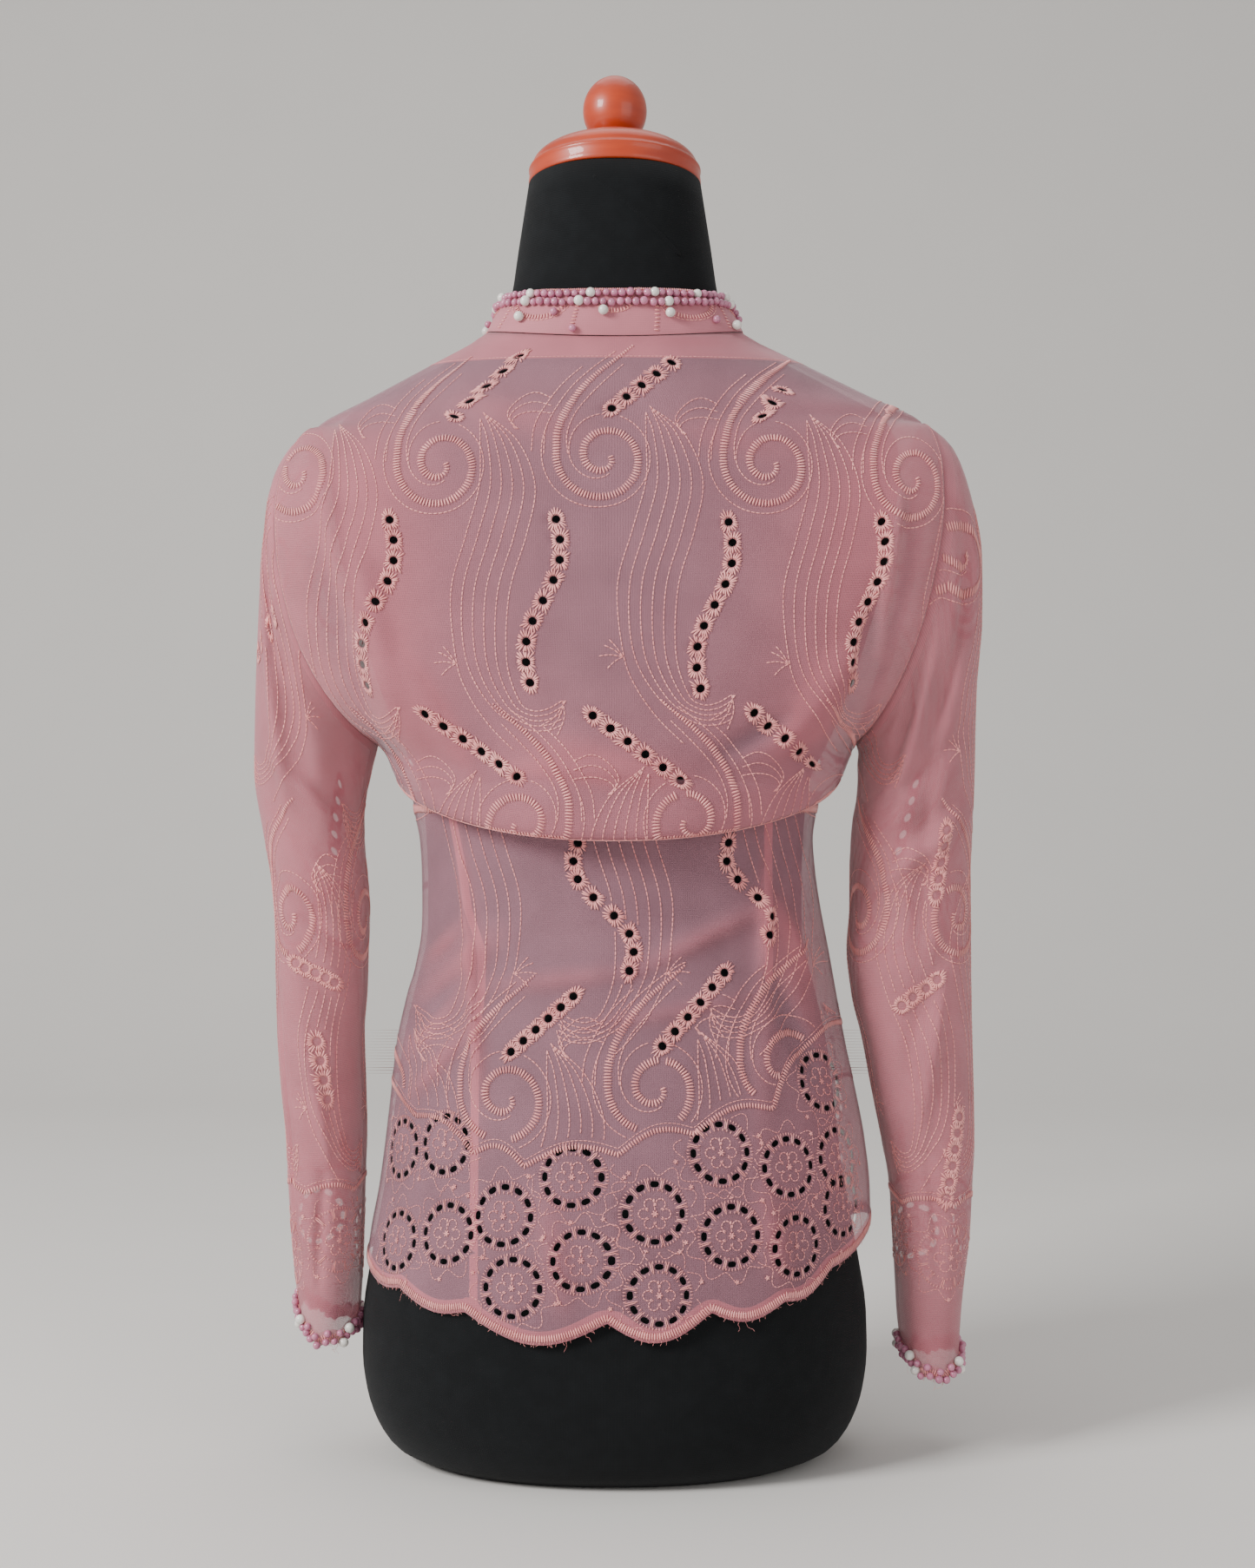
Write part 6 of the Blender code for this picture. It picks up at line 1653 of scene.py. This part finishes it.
def back_outline(panel):
    ends = panel.hem_rows([1.0, -1.0])
    steps = np.arange(0.5, panel.rows, 0.5)
    across = np.linspace(1.0, -1.0, 181)
    neckline = [(u, 0.0) for u in np.linspace(-1.0, 1.0, 61)]
    left = [(1.0, v) for v in steps if v < ends[0] - 0.2]
    right = [(-1.0, v) for v in steps[::-1] if v < ends[1] - 0.2]
    return neckline + left + list(zip(across, panel.hem_rows(across))) + right


def front_outline(panel):
    sign = panel.hand_sign
    down = NECKLINE_ROWS * neckline_shares(BAND_STEPS)
    neckline = list(zip(neckline_across(panel, sign, down), down))
    lap = np.arange(NECKLINE_ROWS + 0.25, panel.rows, 0.5)
    edge = list(zip(panel.across_at(-sign * FRONT_LAP, lap), lap))
    last = panel.hem_rows([edge[-1][0]])[0]
    edge = [place for place in edge if place[1] < last - 0.2]
    across = np.linspace(edge[-1][0], sign, 101)
    hem = list(zip(across, panel.hem_rows(across)))
    side = [(sign, v) for v in np.arange(0.5, panel.rows, 0.5)[::-1] if v < hem[-1][1] - 0.2]
    return neckline + edge + hem + side


def sleeve_outline(sleeve):
    around = np.linspace(180.0, 540.0, 145)
    top = [(a, 0.02) for a in around]
    down = np.arange(0.5, sleeve.rows, 0.5)
    cuff = sleeve.cuff_rows(around[::-1])
    left = [(540.0, v) for v in down if v < cuff[0] - 0.2]
    right = [(180.0, v) for v in down[::-1] if v < cuff[-1] - 0.2]
    return top + left + list(zip(around[::-1], cuff)) + right


def band_shell(band):
    """The folded band, with a rounded wall."""
    along, up = np.linspace(-1.0, 1.0, 241), np.linspace(0.0, 1.0, 9)
    grid = np.array([(u, v) for v in up for u in along])
    points = centred(band.points(*grid.T))
    count = len(along)
    faces = [(r * count + k, r * count + k + 1, (r + 1) * count + k + 1, (r + 1) * count + k)
             for r in range(len(up) - 1) for k in range(count - 1)]
    mesh = bpy.data.meshes.new("standing_neckband")
    mesh.from_pydata([tuple(point) for point in points], [], faces)
    uv = mesh.uv_layers.new(name="cloth")
    corners = np.empty(len(mesh.loops), int)
    mesh.loops.foreach_get("vertex_index", corners)
    uv.data.foreach_set("uv", (grid * [band.length / 2, BAND_WIDTH])[corners].ravel())
    middle = mesh.polygons[len(mesh.polygons) // 4]
    if middle.normal.y * middle.center.y < 0:
        mesh.flip_normals()
    mesh.shade_smooth()
    piece = new_piece("standing_neckband", mesh)
    wall = piece.modifiers.new("Folded cloth", "SOLIDIFY")
    wall.thickness = BAND_SHELL
    wall.offset = 1.0
    soft = piece.modifiers.new("Soft edges", "BEVEL")
    soft.width = 0.5 * MM
    soft.segments = 2
    soft.limit_method = "ANGLE"
    return made_plain(piece)


def clear_of(surface, middles, radius):
    """A test that places lie further than a radius from some middles."""
    spots = surface.points(*np.array(middles).T)

    def test(places):
        points = surface.points(*places.T)
        far = np.ones(len(points), bool)
        for spot in spots:
            far &= np.linalg.norm(points - spot, axis=1) > radius
        return far
    return test


def beside_border(surface, margin):
    """A test that places lie above the border's top line by a margin, or below it where that is negative."""
    def test(places):
        points = surface.draped(*places.T)
        if isinstance(surface, SleeveTube):
            level = SLEEVE_BORDER[surface.hand]
        else:
            level = heights(BACK_BORDER if surface.facing > 0 else FRONT_BORDER, points[:, 0])
        return points[:, 2] > level + margin if margin > 0 else points[:, 2] < level + margin
    return test


def field_stitches(surface, cells, rows):
    """The design above the border: its repeats, cleared round the eyelets, and the eyelets themselves."""
    stitches = Stitches(surface)
    wrap = isinstance(surface, SleeveTube)
    shift = SLEEVE_SHIFT[surface.hand] if wrap else 0.0
    sew_cells(stitches, [(s / TENTHS + shift, z / TENTHS, hand) for s, z, hand in cells], rows, wrap)
    eyelets = line_eyelets(surface)
    stitches.keep(surface.on_cloth, beside_border(surface, 5.0 * MM),
                  clear_of(surface, [middle for _, middle in eyelets], 6.6 * MM))
    return stitches, eyelets


def border_stitches(surface):
    """The border: rings with their filling, the line above them and the worked edge below."""
    stitches = Stitches(surface)
    rings = ring_places(surface)
    sew_filling(stitches, rings)
    stitches.keep(surface.on_cloth, beside_border(surface, -4.0 * MM),
                  clear_of(surface, rings, RING_RADIUS + SLOT_WIDTH / 2 + 2.4 * MM))
    for middle in rings:
        sew_ring(stitches, middle)
    stitches.keep(surface.on_cloth)
    if isinstance(surface, SleeveTube):
        around = np.linspace(0.0, 360.0, 121)
        level = SLEEVE_BORDER[surface.hand] + 5.0 * MM * np.abs(np.sin(np.radians(around) * 2.5))
        top = locate(surface, around, level, (0.0, surface.rows))
        edge = columns(around, surface.cuff_rows(around))
    else:
        border = BACK_BORDER if surface.facing > 0 else FRONT_BORDER
        x = surface.border_span()
        top = locate(surface, x, heights(border, x), (FOLD_TOP_ROW, surface.rows))
        across = np.linspace(*surface.edge_span(), 201)
        edge = columns(across, surface.hem_rows(across))
    edge = shifted(surface, edge, EDGE_SHEER + EDGE_SATIN / 2)
    stitches.comb(top, (1.7 * MM, 1.7 * MM))
    stitches.run(shifted(surface, top, 3.6 * MM), 2.6 * MM, FINE_THREAD)
    stitches.comb(edge, (EDGE_SATIN / 2, EDGE_SATIN / 2), spacing=1.5 * MM)
    return stitches


def shifted(surface, line, rise):
    """A line moved up the cloth."""
    per_v = metric(surface, line)[1]
    return line - columns(0.0 * per_v, rise / per_v)


def loose_threads(surface, span, seed, length):
    """Threads frayed from a worn edge: each a short chain of thin pieces that wanders down."""
    rng = np.random.default_rng(seed)
    stitches = Stitches(surface)
    for u in np.arange(span[0], span[1], FRAY_STEP * (surface.nudge / 0.004)):
        u = u + rng.normal(0.0, 0.25) * FRAY_STEP * (surface.nudge / 0.004)
        edge = surface.hem_rows([u])[0] if isinstance(surface, BodyPanel) else surface.cuff_rows([u])[0]
        place = np.array([u, edge - 0.06])
        lean = rng.normal(0.0, 0.7)
        pieces = rng.integers(1, 3) + (4 if rng.random() < 0.04 else 0)
        for _ in range(pieces):
            lean += rng.normal(0.0, 0.5)
            step = rng.uniform(0.7, 1.2) * length
            after = stamped(surface, place, [(step * math.sin(lean), step * math.cos(lean))])[0]
            stitches.add(place, after, 0.2 * MM)
            place = after
    return stitches


def pearl_points(name, spots):
    """A mesh of points that carries each pearl's width."""
    mesh = bpy.data.meshes.new(name)
    mesh.from_pydata([tuple(point) for point, _ in spots], [], [])
    mesh.attributes.new("width", "FLOAT", "POINT").data.foreach_set("value", [width for _, width in spots])
    return mesh


def strung(surface, line, spacing, lift, pearls, white_every, seed):
    """Set pearls along a line of places, with a white one now and then."""
    rng = np.random.default_rng(seed)
    walked, line = measured(surface, line)
    places = spread(line, walked, np.arange(spacing / 2, walked[-1], spacing))
    next_white = rng.integers(1, white_every)
    spots = surface.points(*places.T)
    facing = facings(surface, places)
    for number, (spot, out) in enumerate(zip(spots, facing)):
        white = number == next_white
        if white:
            next_white += white_every + rng.integers(-2, 3)
        width = pearls.white_size if white else pearls.pink_size
        width *= rng.uniform(0.9, 1.06)
        spot = centred(spot + out * (lift + width * PEARL_RISE) + rng.normal(0.0, 0.25 * MM, 3))
        PEARLS["white" if white else "pink"].append((spot, width))


FINISHES = {}
TREES = {}
PEARLS = {"pink": [], "white": []}
UPPER_ROWS = (0.0, 18.6)
LOWER_ROWS = (25.0, 39.0)
ALL_ROWS = (0.0, 39.0)


class BlouseClothSettings(bpy.types.PropertyGroup):
    thickness: FloatProperty(name="Voile thickness",
                             description="Thickness of the shell that stands for the voile", default=SHELL,
                             min=0.1 * MM, max=1.0 * MM, unit="LENGTH")
    mesh_step: FloatProperty(name="Mesh step", description="Distance between the points of the cloth's mesh",
                             default=CLOTH_STEP, min=3.0 * MM, max=12.0 * MM, unit="LENGTH")
    weave_spacing: FloatProperty(name="Weave spacing", description="Distance between two drawn yarns",
                                 default=0.9 * MM, min=0.3 * MM, max=3.0 * MM, unit="LENGTH")
    cover: FloatProperty(name="Cover", description="How much one layer of voile hides", default=0.66, min=0.2,
                         max=1.0, subtype="FACTOR")
    single_colour: FloatVectorProperty(name="Single voile", description="Colour of the voile in one layer",
                                       default=linear("#A77683"), min=0.0, max=1.0, subtype="COLOR")
    doubled_colour: FloatVectorProperty(name="Doubled voile",
                                        description="Colour of the voile where it is doubled",
                                        default=linear("#C4747F"), min=0.0, max=1.0, subtype="COLOR")


class BlouseThreadSettings(bpy.types.PropertyGroup):
    colour: FloatVectorProperty(name="Thread", description="Colour of the embroidery thread",
                                default=linear("#FFA9A5"), min=0.0, max=1.0, subtype="COLOR")


class BlousePearlSettings(bpy.types.PropertyGroup):
    pink_size: FloatProperty(name="Pink pearls", description="Diameter of the pink pearls", default=4.9 * MM,
                             min=2.0 * MM, max=8.0 * MM, unit="LENGTH")
    white_size: FloatProperty(name="White pearls", description="Diameter of the white pearls", default=6.3 * MM,
                              min=2.0 * MM, max=9.0 * MM, unit="LENGTH")
    pink: FloatVectorProperty(name="Pink", description="Colour of the pink pearls", default=linear("#C67A96"),
                              min=0.0, max=1.0, subtype="COLOR")
    white: FloatVectorProperty(name="White", description="Colour of the white pearls",
                               default=linear("#EFEAE2"), min=0.0, max=1.0, subtype="COLOR")


class DressFormSettings(bpy.types.PropertyGroup):
    jersey_colour: FloatVectorProperty(name="Jersey", description="Colour of the form's jersey cover",
                                       default=linear("#06080A"), min=0.0, max=1.0, subtype="COLOR")
    rib_spacing: FloatProperty(name="Rib spacing", description="Distance between the jersey's ribs",
                               default=1.3 * MM, min=0.5 * MM, max=4.0 * MM, unit="LENGTH")
    lacquer_colour: FloatVectorProperty(name="Lacquer",
                                        description="Colour of the cap's and the ball's lacquer",
                                        default=linear("#B63C10"), min=0.0, max=1.0, subtype="COLOR")


class StudioSettings(bpy.types.PropertyGroup):
    lens: FloatProperty(name="Lens", description="Focal length of the camera, in millimetres", default=54.4,
                        min=20.0, max=200.0)
    key_power: FloatProperty(name="Key light", description="Power of the key light, in watts", default=112.0,
                             min=0.0, max=500.0)
    fill_power: FloatProperty(name="Fill light", description="Power of the fill light, in watts", default=13.0,
                              min=0.0, max=500.0)
    floor_colour: FloatVectorProperty(name="Floor", description="Colour of the floor and the backdrop",
                                      default=linear("#DAD6D1"), min=0.0, max=1.0, subtype="COLOR")


class KEBAYA_OT_dress_form(bpy.types.Operator):
    """Make the jersey form and its lacquered cap and ball"""
    bl_idname = "kebaya.dress_form"
    bl_label = "Dress form"

    def execute(self, context):
        form = context.scene.blouse_form
        jersey = finish("jersey", jersey_finish, form)
        lacquer = finish("lacquer", lacquer_finish, form)
        settle(jersey_form(), jersey, "jersey", "form_body")
        settle(neck_welt(), jersey, "jersey")
        settle(turned("lacquered_cap", cap_profile()), lacquer, "lacquered_wood", "neck_cap")
        settle(turned("lacquered_ball", finial_profile()), lacquer, "lacquered_wood", "finial")
        return {"FINISHED"}


class KEBAYA_OT_back(bpy.types.Operator):
    """Make the blouse's back, with its eyelets cut out"""
    bl_idname = "kebaya.back"
    bl_label = "Back"

    def execute(self, context):
        panel = BodyPanel(1, "back")
        cloth = context.scene.blouse_cloth
        piece = cloth_shell("voile_back", panel, back_outline(panel), cut_holes(panel), cloth)
        settle(piece, voile(), "voile", "back")
        return {"FINISHED"}


class KEBAYA_OT_fronts(bpy.types.Operator):
    """Make both fronts; the right one laps over the left"""
    bl_idname = "kebaya.fronts"
    bl_label = "Fronts"

    def execute(self, context):
        for hand in ("left", "right"):
            panel = front_panel(hand)
            name = "voile_" + hand + "_front"
            piece = cloth_shell(name, panel, front_outline(panel), cut_holes(panel), context.scene.blouse_cloth)
            settle(piece, voile(), "voile", hand + "_front")
        return {"FINISHED"}


class KEBAYA_OT_sleeves(bpy.types.Operator):
    """Make both sleeves, each one tube of voile"""
    bl_idname = "kebaya.sleeves"
    bl_label = "Sleeves"

    def execute(self, context):
        for hand in ("left", "right"):
            sleeve = SleeveTube(hand)
            name = "voile_" + hand + "_sleeve"
            piece = cloth_shell(name, sleeve, sleeve_outline(sleeve), cut_holes(sleeve),
                                context.scene.blouse_cloth, inward=True, weld=True)
            settle(piece, voile(), "voile", hand + "_sleeve_back", hand + "_sleeve_front")
        return {"FINISHED"}


class KEBAYA_OT_neckband(bpy.types.Operator):
    """Make the standing neckband and the stitches on it"""
    bl_idname = "kebaya.neckband"
    bl_label = "Neckband"

    def execute(self, context):
        cloth = context.scene.blouse_cloth
        band = Neckband()
        piece = settle(band_shell(band), finish("band", band_finish, cloth), "neckband", "neckband")
        stitches = Stitches(band)
        along = np.linspace(-0.985, 0.985, 700)
        for number, middle in enumerate(np.arange(-0.93, 0.94, 0.155)):
            turn = np.radians(np.linspace(195.0, 345.0, 20) if number % 2 else np.linspace(110.0, 330.0, 24))
            reach = 17.0 * MM if number % 2 else 10.0 * MM
            loop = columns(reach * np.cos(turn), -(reach * 0.62 * np.sin(turn) + 3.0 * MM))
            at = np.array([middle, 0.62])
            stitches.comb(stamped(band, at, loop * [1.0, -1.0]), (1.6 * MM, 1.6 * MM))
            stitches.run(stamped(band, at, loop * [1.22, -1.3]))
            stitches.comb(np.array([(middle + 0.078, 0.1), (middle + 0.072, 0.6)]), (1.5 * MM, 1.5 * MM))
        stitches.keep(lambda places: (places[:, 1] > 0.03) & (places[:, 1] < 0.99)
                      & (np.abs(places[:, 0]) < 0.985))
        stitches.comb(columns(along, 0.985 + 0.0 * along), (0.8 * MM, 0.8 * MM), spacing=1.3 * MM)
        sewn("neckband_embroidery", stitches, "neckband", 3)
        return {"FINISHED"}


class KEBAYA_OT_embroidery(bpy.types.Operator):
    """Sew the design and the eyelets of the body and the sleeves"""
    bl_idname = "kebaya.embroidery"
    bl_label = "Embroidery"

    def execute(self, context):
        panel = BodyPanel(1, "back")
        for number, (name, cells, rows, wanted) in enumerate((
                ("back_upper_embroidery", UPPER_CELLS, UPPER_ROWS, True),
                ("back_lower_embroidery", LOWER_CELLS, LOWER_ROWS, False))):
            stitches, eyelets = field_stitches(panel, cells, rows)
            chosen = [(line, place) for line, place in eyelets if (place[1] < FOLD_BOTTOM_ROW + 2.0) == wanted]
            sew_eyelets(stitches, chosen, 20 + number)
            if wanted:
                sew_seams(stitches)
            sewn(name, stitches, "voile", 10 + number)
        for number, hand in enumerate(("left", "right")):
            panel = front_panel(hand)
            stitches, eyelets = field_stitches(panel, FRONT_CELLS, ALL_ROWS)
            sew_eyelets(stitches, eyelets, 30 + number)
            sewn(hand + "_front_embroidery", stitches, "voile", 12 + number)
            sleeve = SleeveTube(hand)
            stitches, eyelets = field_stitches(sleeve, SLEEVE_CELLS, (0.0, sleeve.rows))
            sew_eyelets(stitches, eyelets, 40 + number)
            sewn(hand + "_sleeve_embroidery", stitches, "voile", 14 + number)
        return {"FINISHED"}


class KEBAYA_OT_border(bpy.types.Operator):
    """Sew the scalloped border, its rings and the worked hem and cuffs"""
    bl_idname = "kebaya.border"
    bl_label = "Border"

    def execute(self, context):
        surfaces = [BodyPanel(1, "back"), front_panel("left"), front_panel("right"), SleeveTube("left"),
                    SleeveTube("right")]
        names = ("back", "left_front", "right_front", "left_sleeve", "right_sleeve")
        for number, (name, surface) in enumerate(zip(names, surfaces)):
            sewn(name + "_border", border_stitches(surface), "voile", 50 + number)
            frayed = loose_threads(surface, surface.edge_span(), 60 + number, 1.8 * MM)
            sewn(name + "_frayed_threads", frayed, "voile", 70 + number)
        return {"FINISHED"}


class KEBAYA_OT_pearls(bpy.types.Operator):
    """Set the pearls along the neckband and the cuffs"""
    bl_idname = "kebaya.pearls"
    bl_label = "Pearls"

    def execute(self, context):
        pearls = context.scene.blouse_pearls
        band = Neckband()
        along = np.linspace(-0.97, 0.97, 600)
        strung(band, columns(along, PEARL_LINES[0] + 0.0 * along), 4.75 * MM, BAND_SHELL, pearls, 7, 5)
        strung(band, columns(along, PEARL_LINES[1] + 0.0 * along), 4.9 * MM, BAND_SHELL, pearls, 9, 6)
        for places, width, shade in ((LONE_WHITE, pearls.white_size, "white"),
                                     (LONE_PINK, pearls.pink_size, "pink")):
            places = np.array(places)
            rise = BAND_SHELL + width * PEARL_RISE
            spots = band.points(*places.T) + facings(band, places) * rise
            PEARLS[shade] += [(spot, width) for spot in centred(spots)]
        for hand in ("left", "right"):
            sleeve = SleeveTube(hand)
            around = np.linspace(0.0, 359.0, 240)
            for rise, spacing, seed in ((1.2 * MM, 5.2 * MM, 7), (6.4 * MM, 7.5 * MM, 8)):
                line = shifted(sleeve, columns(around, sleeve.cuff_rows(around)), rise)
                strung(sleeve, line, spacing, 0.0, pearls, 6, seed)
        if "pearls" not in TREES:
            TREES["pearls"] = pearl_tree()
        for number, (shade, colour) in enumerate((("pink", pearls.pink), ("white", pearls.white))):
            name = shade + "_pearls"
            material = pearl_finish("Glass pearls, " + shade, tuple(colour))
            settle(grown(name, pearl_points(name, PEARLS[shade]), TREES["pearls"], material, 80 + number), None,
                   "neckband")
        return {"FINISHED"}


class KEBAYA_OT_studio(bpy.types.Operator):
    """Make the floor, the lights and the camera"""
    bl_idname = "kebaya.studio"
    bl_label = "Studio"

    def execute(self, context):
        stage = context.scene.blouse_studio
        bm = bmesh.new()
        sweep = [(3.0, 0.0), (-1.6, 0.0)]
        sweep += [(-1.6 - 1.4 * math.sin(a), 1.4 - 1.4 * math.cos(a))
                  for a in np.linspace(0.1, math.pi / 2, 12)]
        sweep.append((-3.0, 4.5))
        rows = [[bm.verts.new((x, y, z)) for x in (4.0, -4.0)] for y, z in sweep]
        for near, far in zip(rows, rows[1:]):
            bm.faces.new((near[0], near[1], far[1], far[0]))
        bmesh.ops.recalc_face_normals(bm, faces=bm.faces)
        mesh = bpy.data.meshes.new("floor")
        bm.to_mesh(mesh)
        bm.free()
        if mesh.polygons[0].normal.z < 0:
            mesh.flip_normals()
        mesh.shade_smooth()
        floor = new_piece("floor", mesh)
        floor.data.materials.append(floor_finish(stage))
        for name, place, size, power in (("key_light", (2.1, 1.5, 1.7), 0.9, stage.key_power),
                                         ("fill_light", (-1.6, 1.7, 0.9), 1.6, stage.fill_power),
                                         ("top_light", (0.0, -0.6, 2.6), 1.8, stage.fill_power)):
            light = bpy.data.lights.new(name, "AREA")
            light.shape = "SQUARE"
            light.size, light.energy = size, power
            lamp = bpy.data.objects.new(name, light)
            lamp.location = place
            aim = Vector((0.0, 0.0, 0.45)) - Vector(place)
            lamp.rotation_euler = aim.to_track_quat("-Z", "Y").to_euler()
            context.scene.collection.objects.link(lamp)
        world = bpy.data.worlds.new("soft_daylight")
        world.use_nodes = True
        sky = world.node_tree.nodes["Background"]
        sky.inputs["Color"].default_value = (*linear("#E9EAEC"), 1.0)
        sky.inputs["Strength"].default_value = 0.7
        context.scene.world = world
        lens = bpy.data.cameras.new("camera")
        lens.lens = stage.lens
        lens.sensor_width = 36.0
        lens.clip_start, lens.clip_end = 0.05, 30.0
        camera = bpy.data.objects.new("camera", lens)
        camera.location = CAMERA_PLACE
        camera.rotation_euler = (math.pi / 2, 0.0, math.pi)
        context.scene.collection.objects.link(camera)
        context.scene.camera = camera
        return {"FINISHED"}


def front_panel(hand):
    return BodyPanel(-1, hand + "_front", lap=hand == "right")


def sew_seams(stitches):
    """Running stitches beside the seams and along the foot of the neck's facing."""
    surface = stitches.surface
    down = np.linspace(0.5, 16.0, 120)
    for side in (0.978, -0.978):
        stitches.run(columns(0.0 * down + side, down), 2.8 * MM, 0.5 * MM)
    rows, lengths = length_down(surface)
    across = np.linspace(-0.97, 0.97, 160)
    foot = np.interp(FACING_DEPTH - 1.2 * MM, lengths, rows)
    stitches.run(columns(across, 0.0 * across + foot), 2.6 * MM, 0.5 * MM)


class KEBAYA_PT_pieces(bpy.types.Panel):
    """The pieces of the blouse and its form"""
    bl_label = "Kebaya blouse"
    bl_idname = "KEBAYA_PT_pieces"
    bl_space_type = "VIEW_3D"
    bl_region_type = "UI"
    bl_category = "Kebaya"

    def draw(self, context):
        for label, group in SETTINGS.items():
            box = self.layout.box()
            box.label(text=group.__name__)
            for name in group.__annotations__:
                box.prop(getattr(context.scene, label), name)
        for operator in OPERATORS:
            self.layout.operator(operator.bl_idname)


SETTINGS = {
    "blouse_cloth": BlouseClothSettings,
    "blouse_thread": BlouseThreadSettings,
    "blouse_pearls": BlousePearlSettings,
    "blouse_form": DressFormSettings,
    "blouse_studio": StudioSettings,
}
OPERATORS = (KEBAYA_OT_studio, KEBAYA_OT_dress_form, KEBAYA_OT_back, KEBAYA_OT_fronts, KEBAYA_OT_sleeves,
             KEBAYA_OT_neckband, KEBAYA_OT_embroidery, KEBAYA_OT_border, KEBAYA_OT_pearls)
CLASSES = tuple(SETTINGS.values()) + OPERATORS + (KEBAYA_PT_pieces,)


def register():
    for item in CLASSES:
        bpy.utils.register_class(item)
    for label, group in SETTINGS.items():
        setattr(bpy.types.Scene, label, PointerProperty(type=group))


def unregister():
    for label in SETTINGS:
        delattr(bpy.types.Scene, label)
    for item in reversed(CLASSES):
        bpy.utils.unregister_class(item)


def main():
    register()
    for operator in OPERATORS:
        group, name = operator.bl_idname.split(".")
        if getattr(getattr(bpy.ops, group), name)() != {"FINISHED"}:
            raise RuntimeError(operator.bl_label + " was not made")


if __name__ == "__main__":
    main()
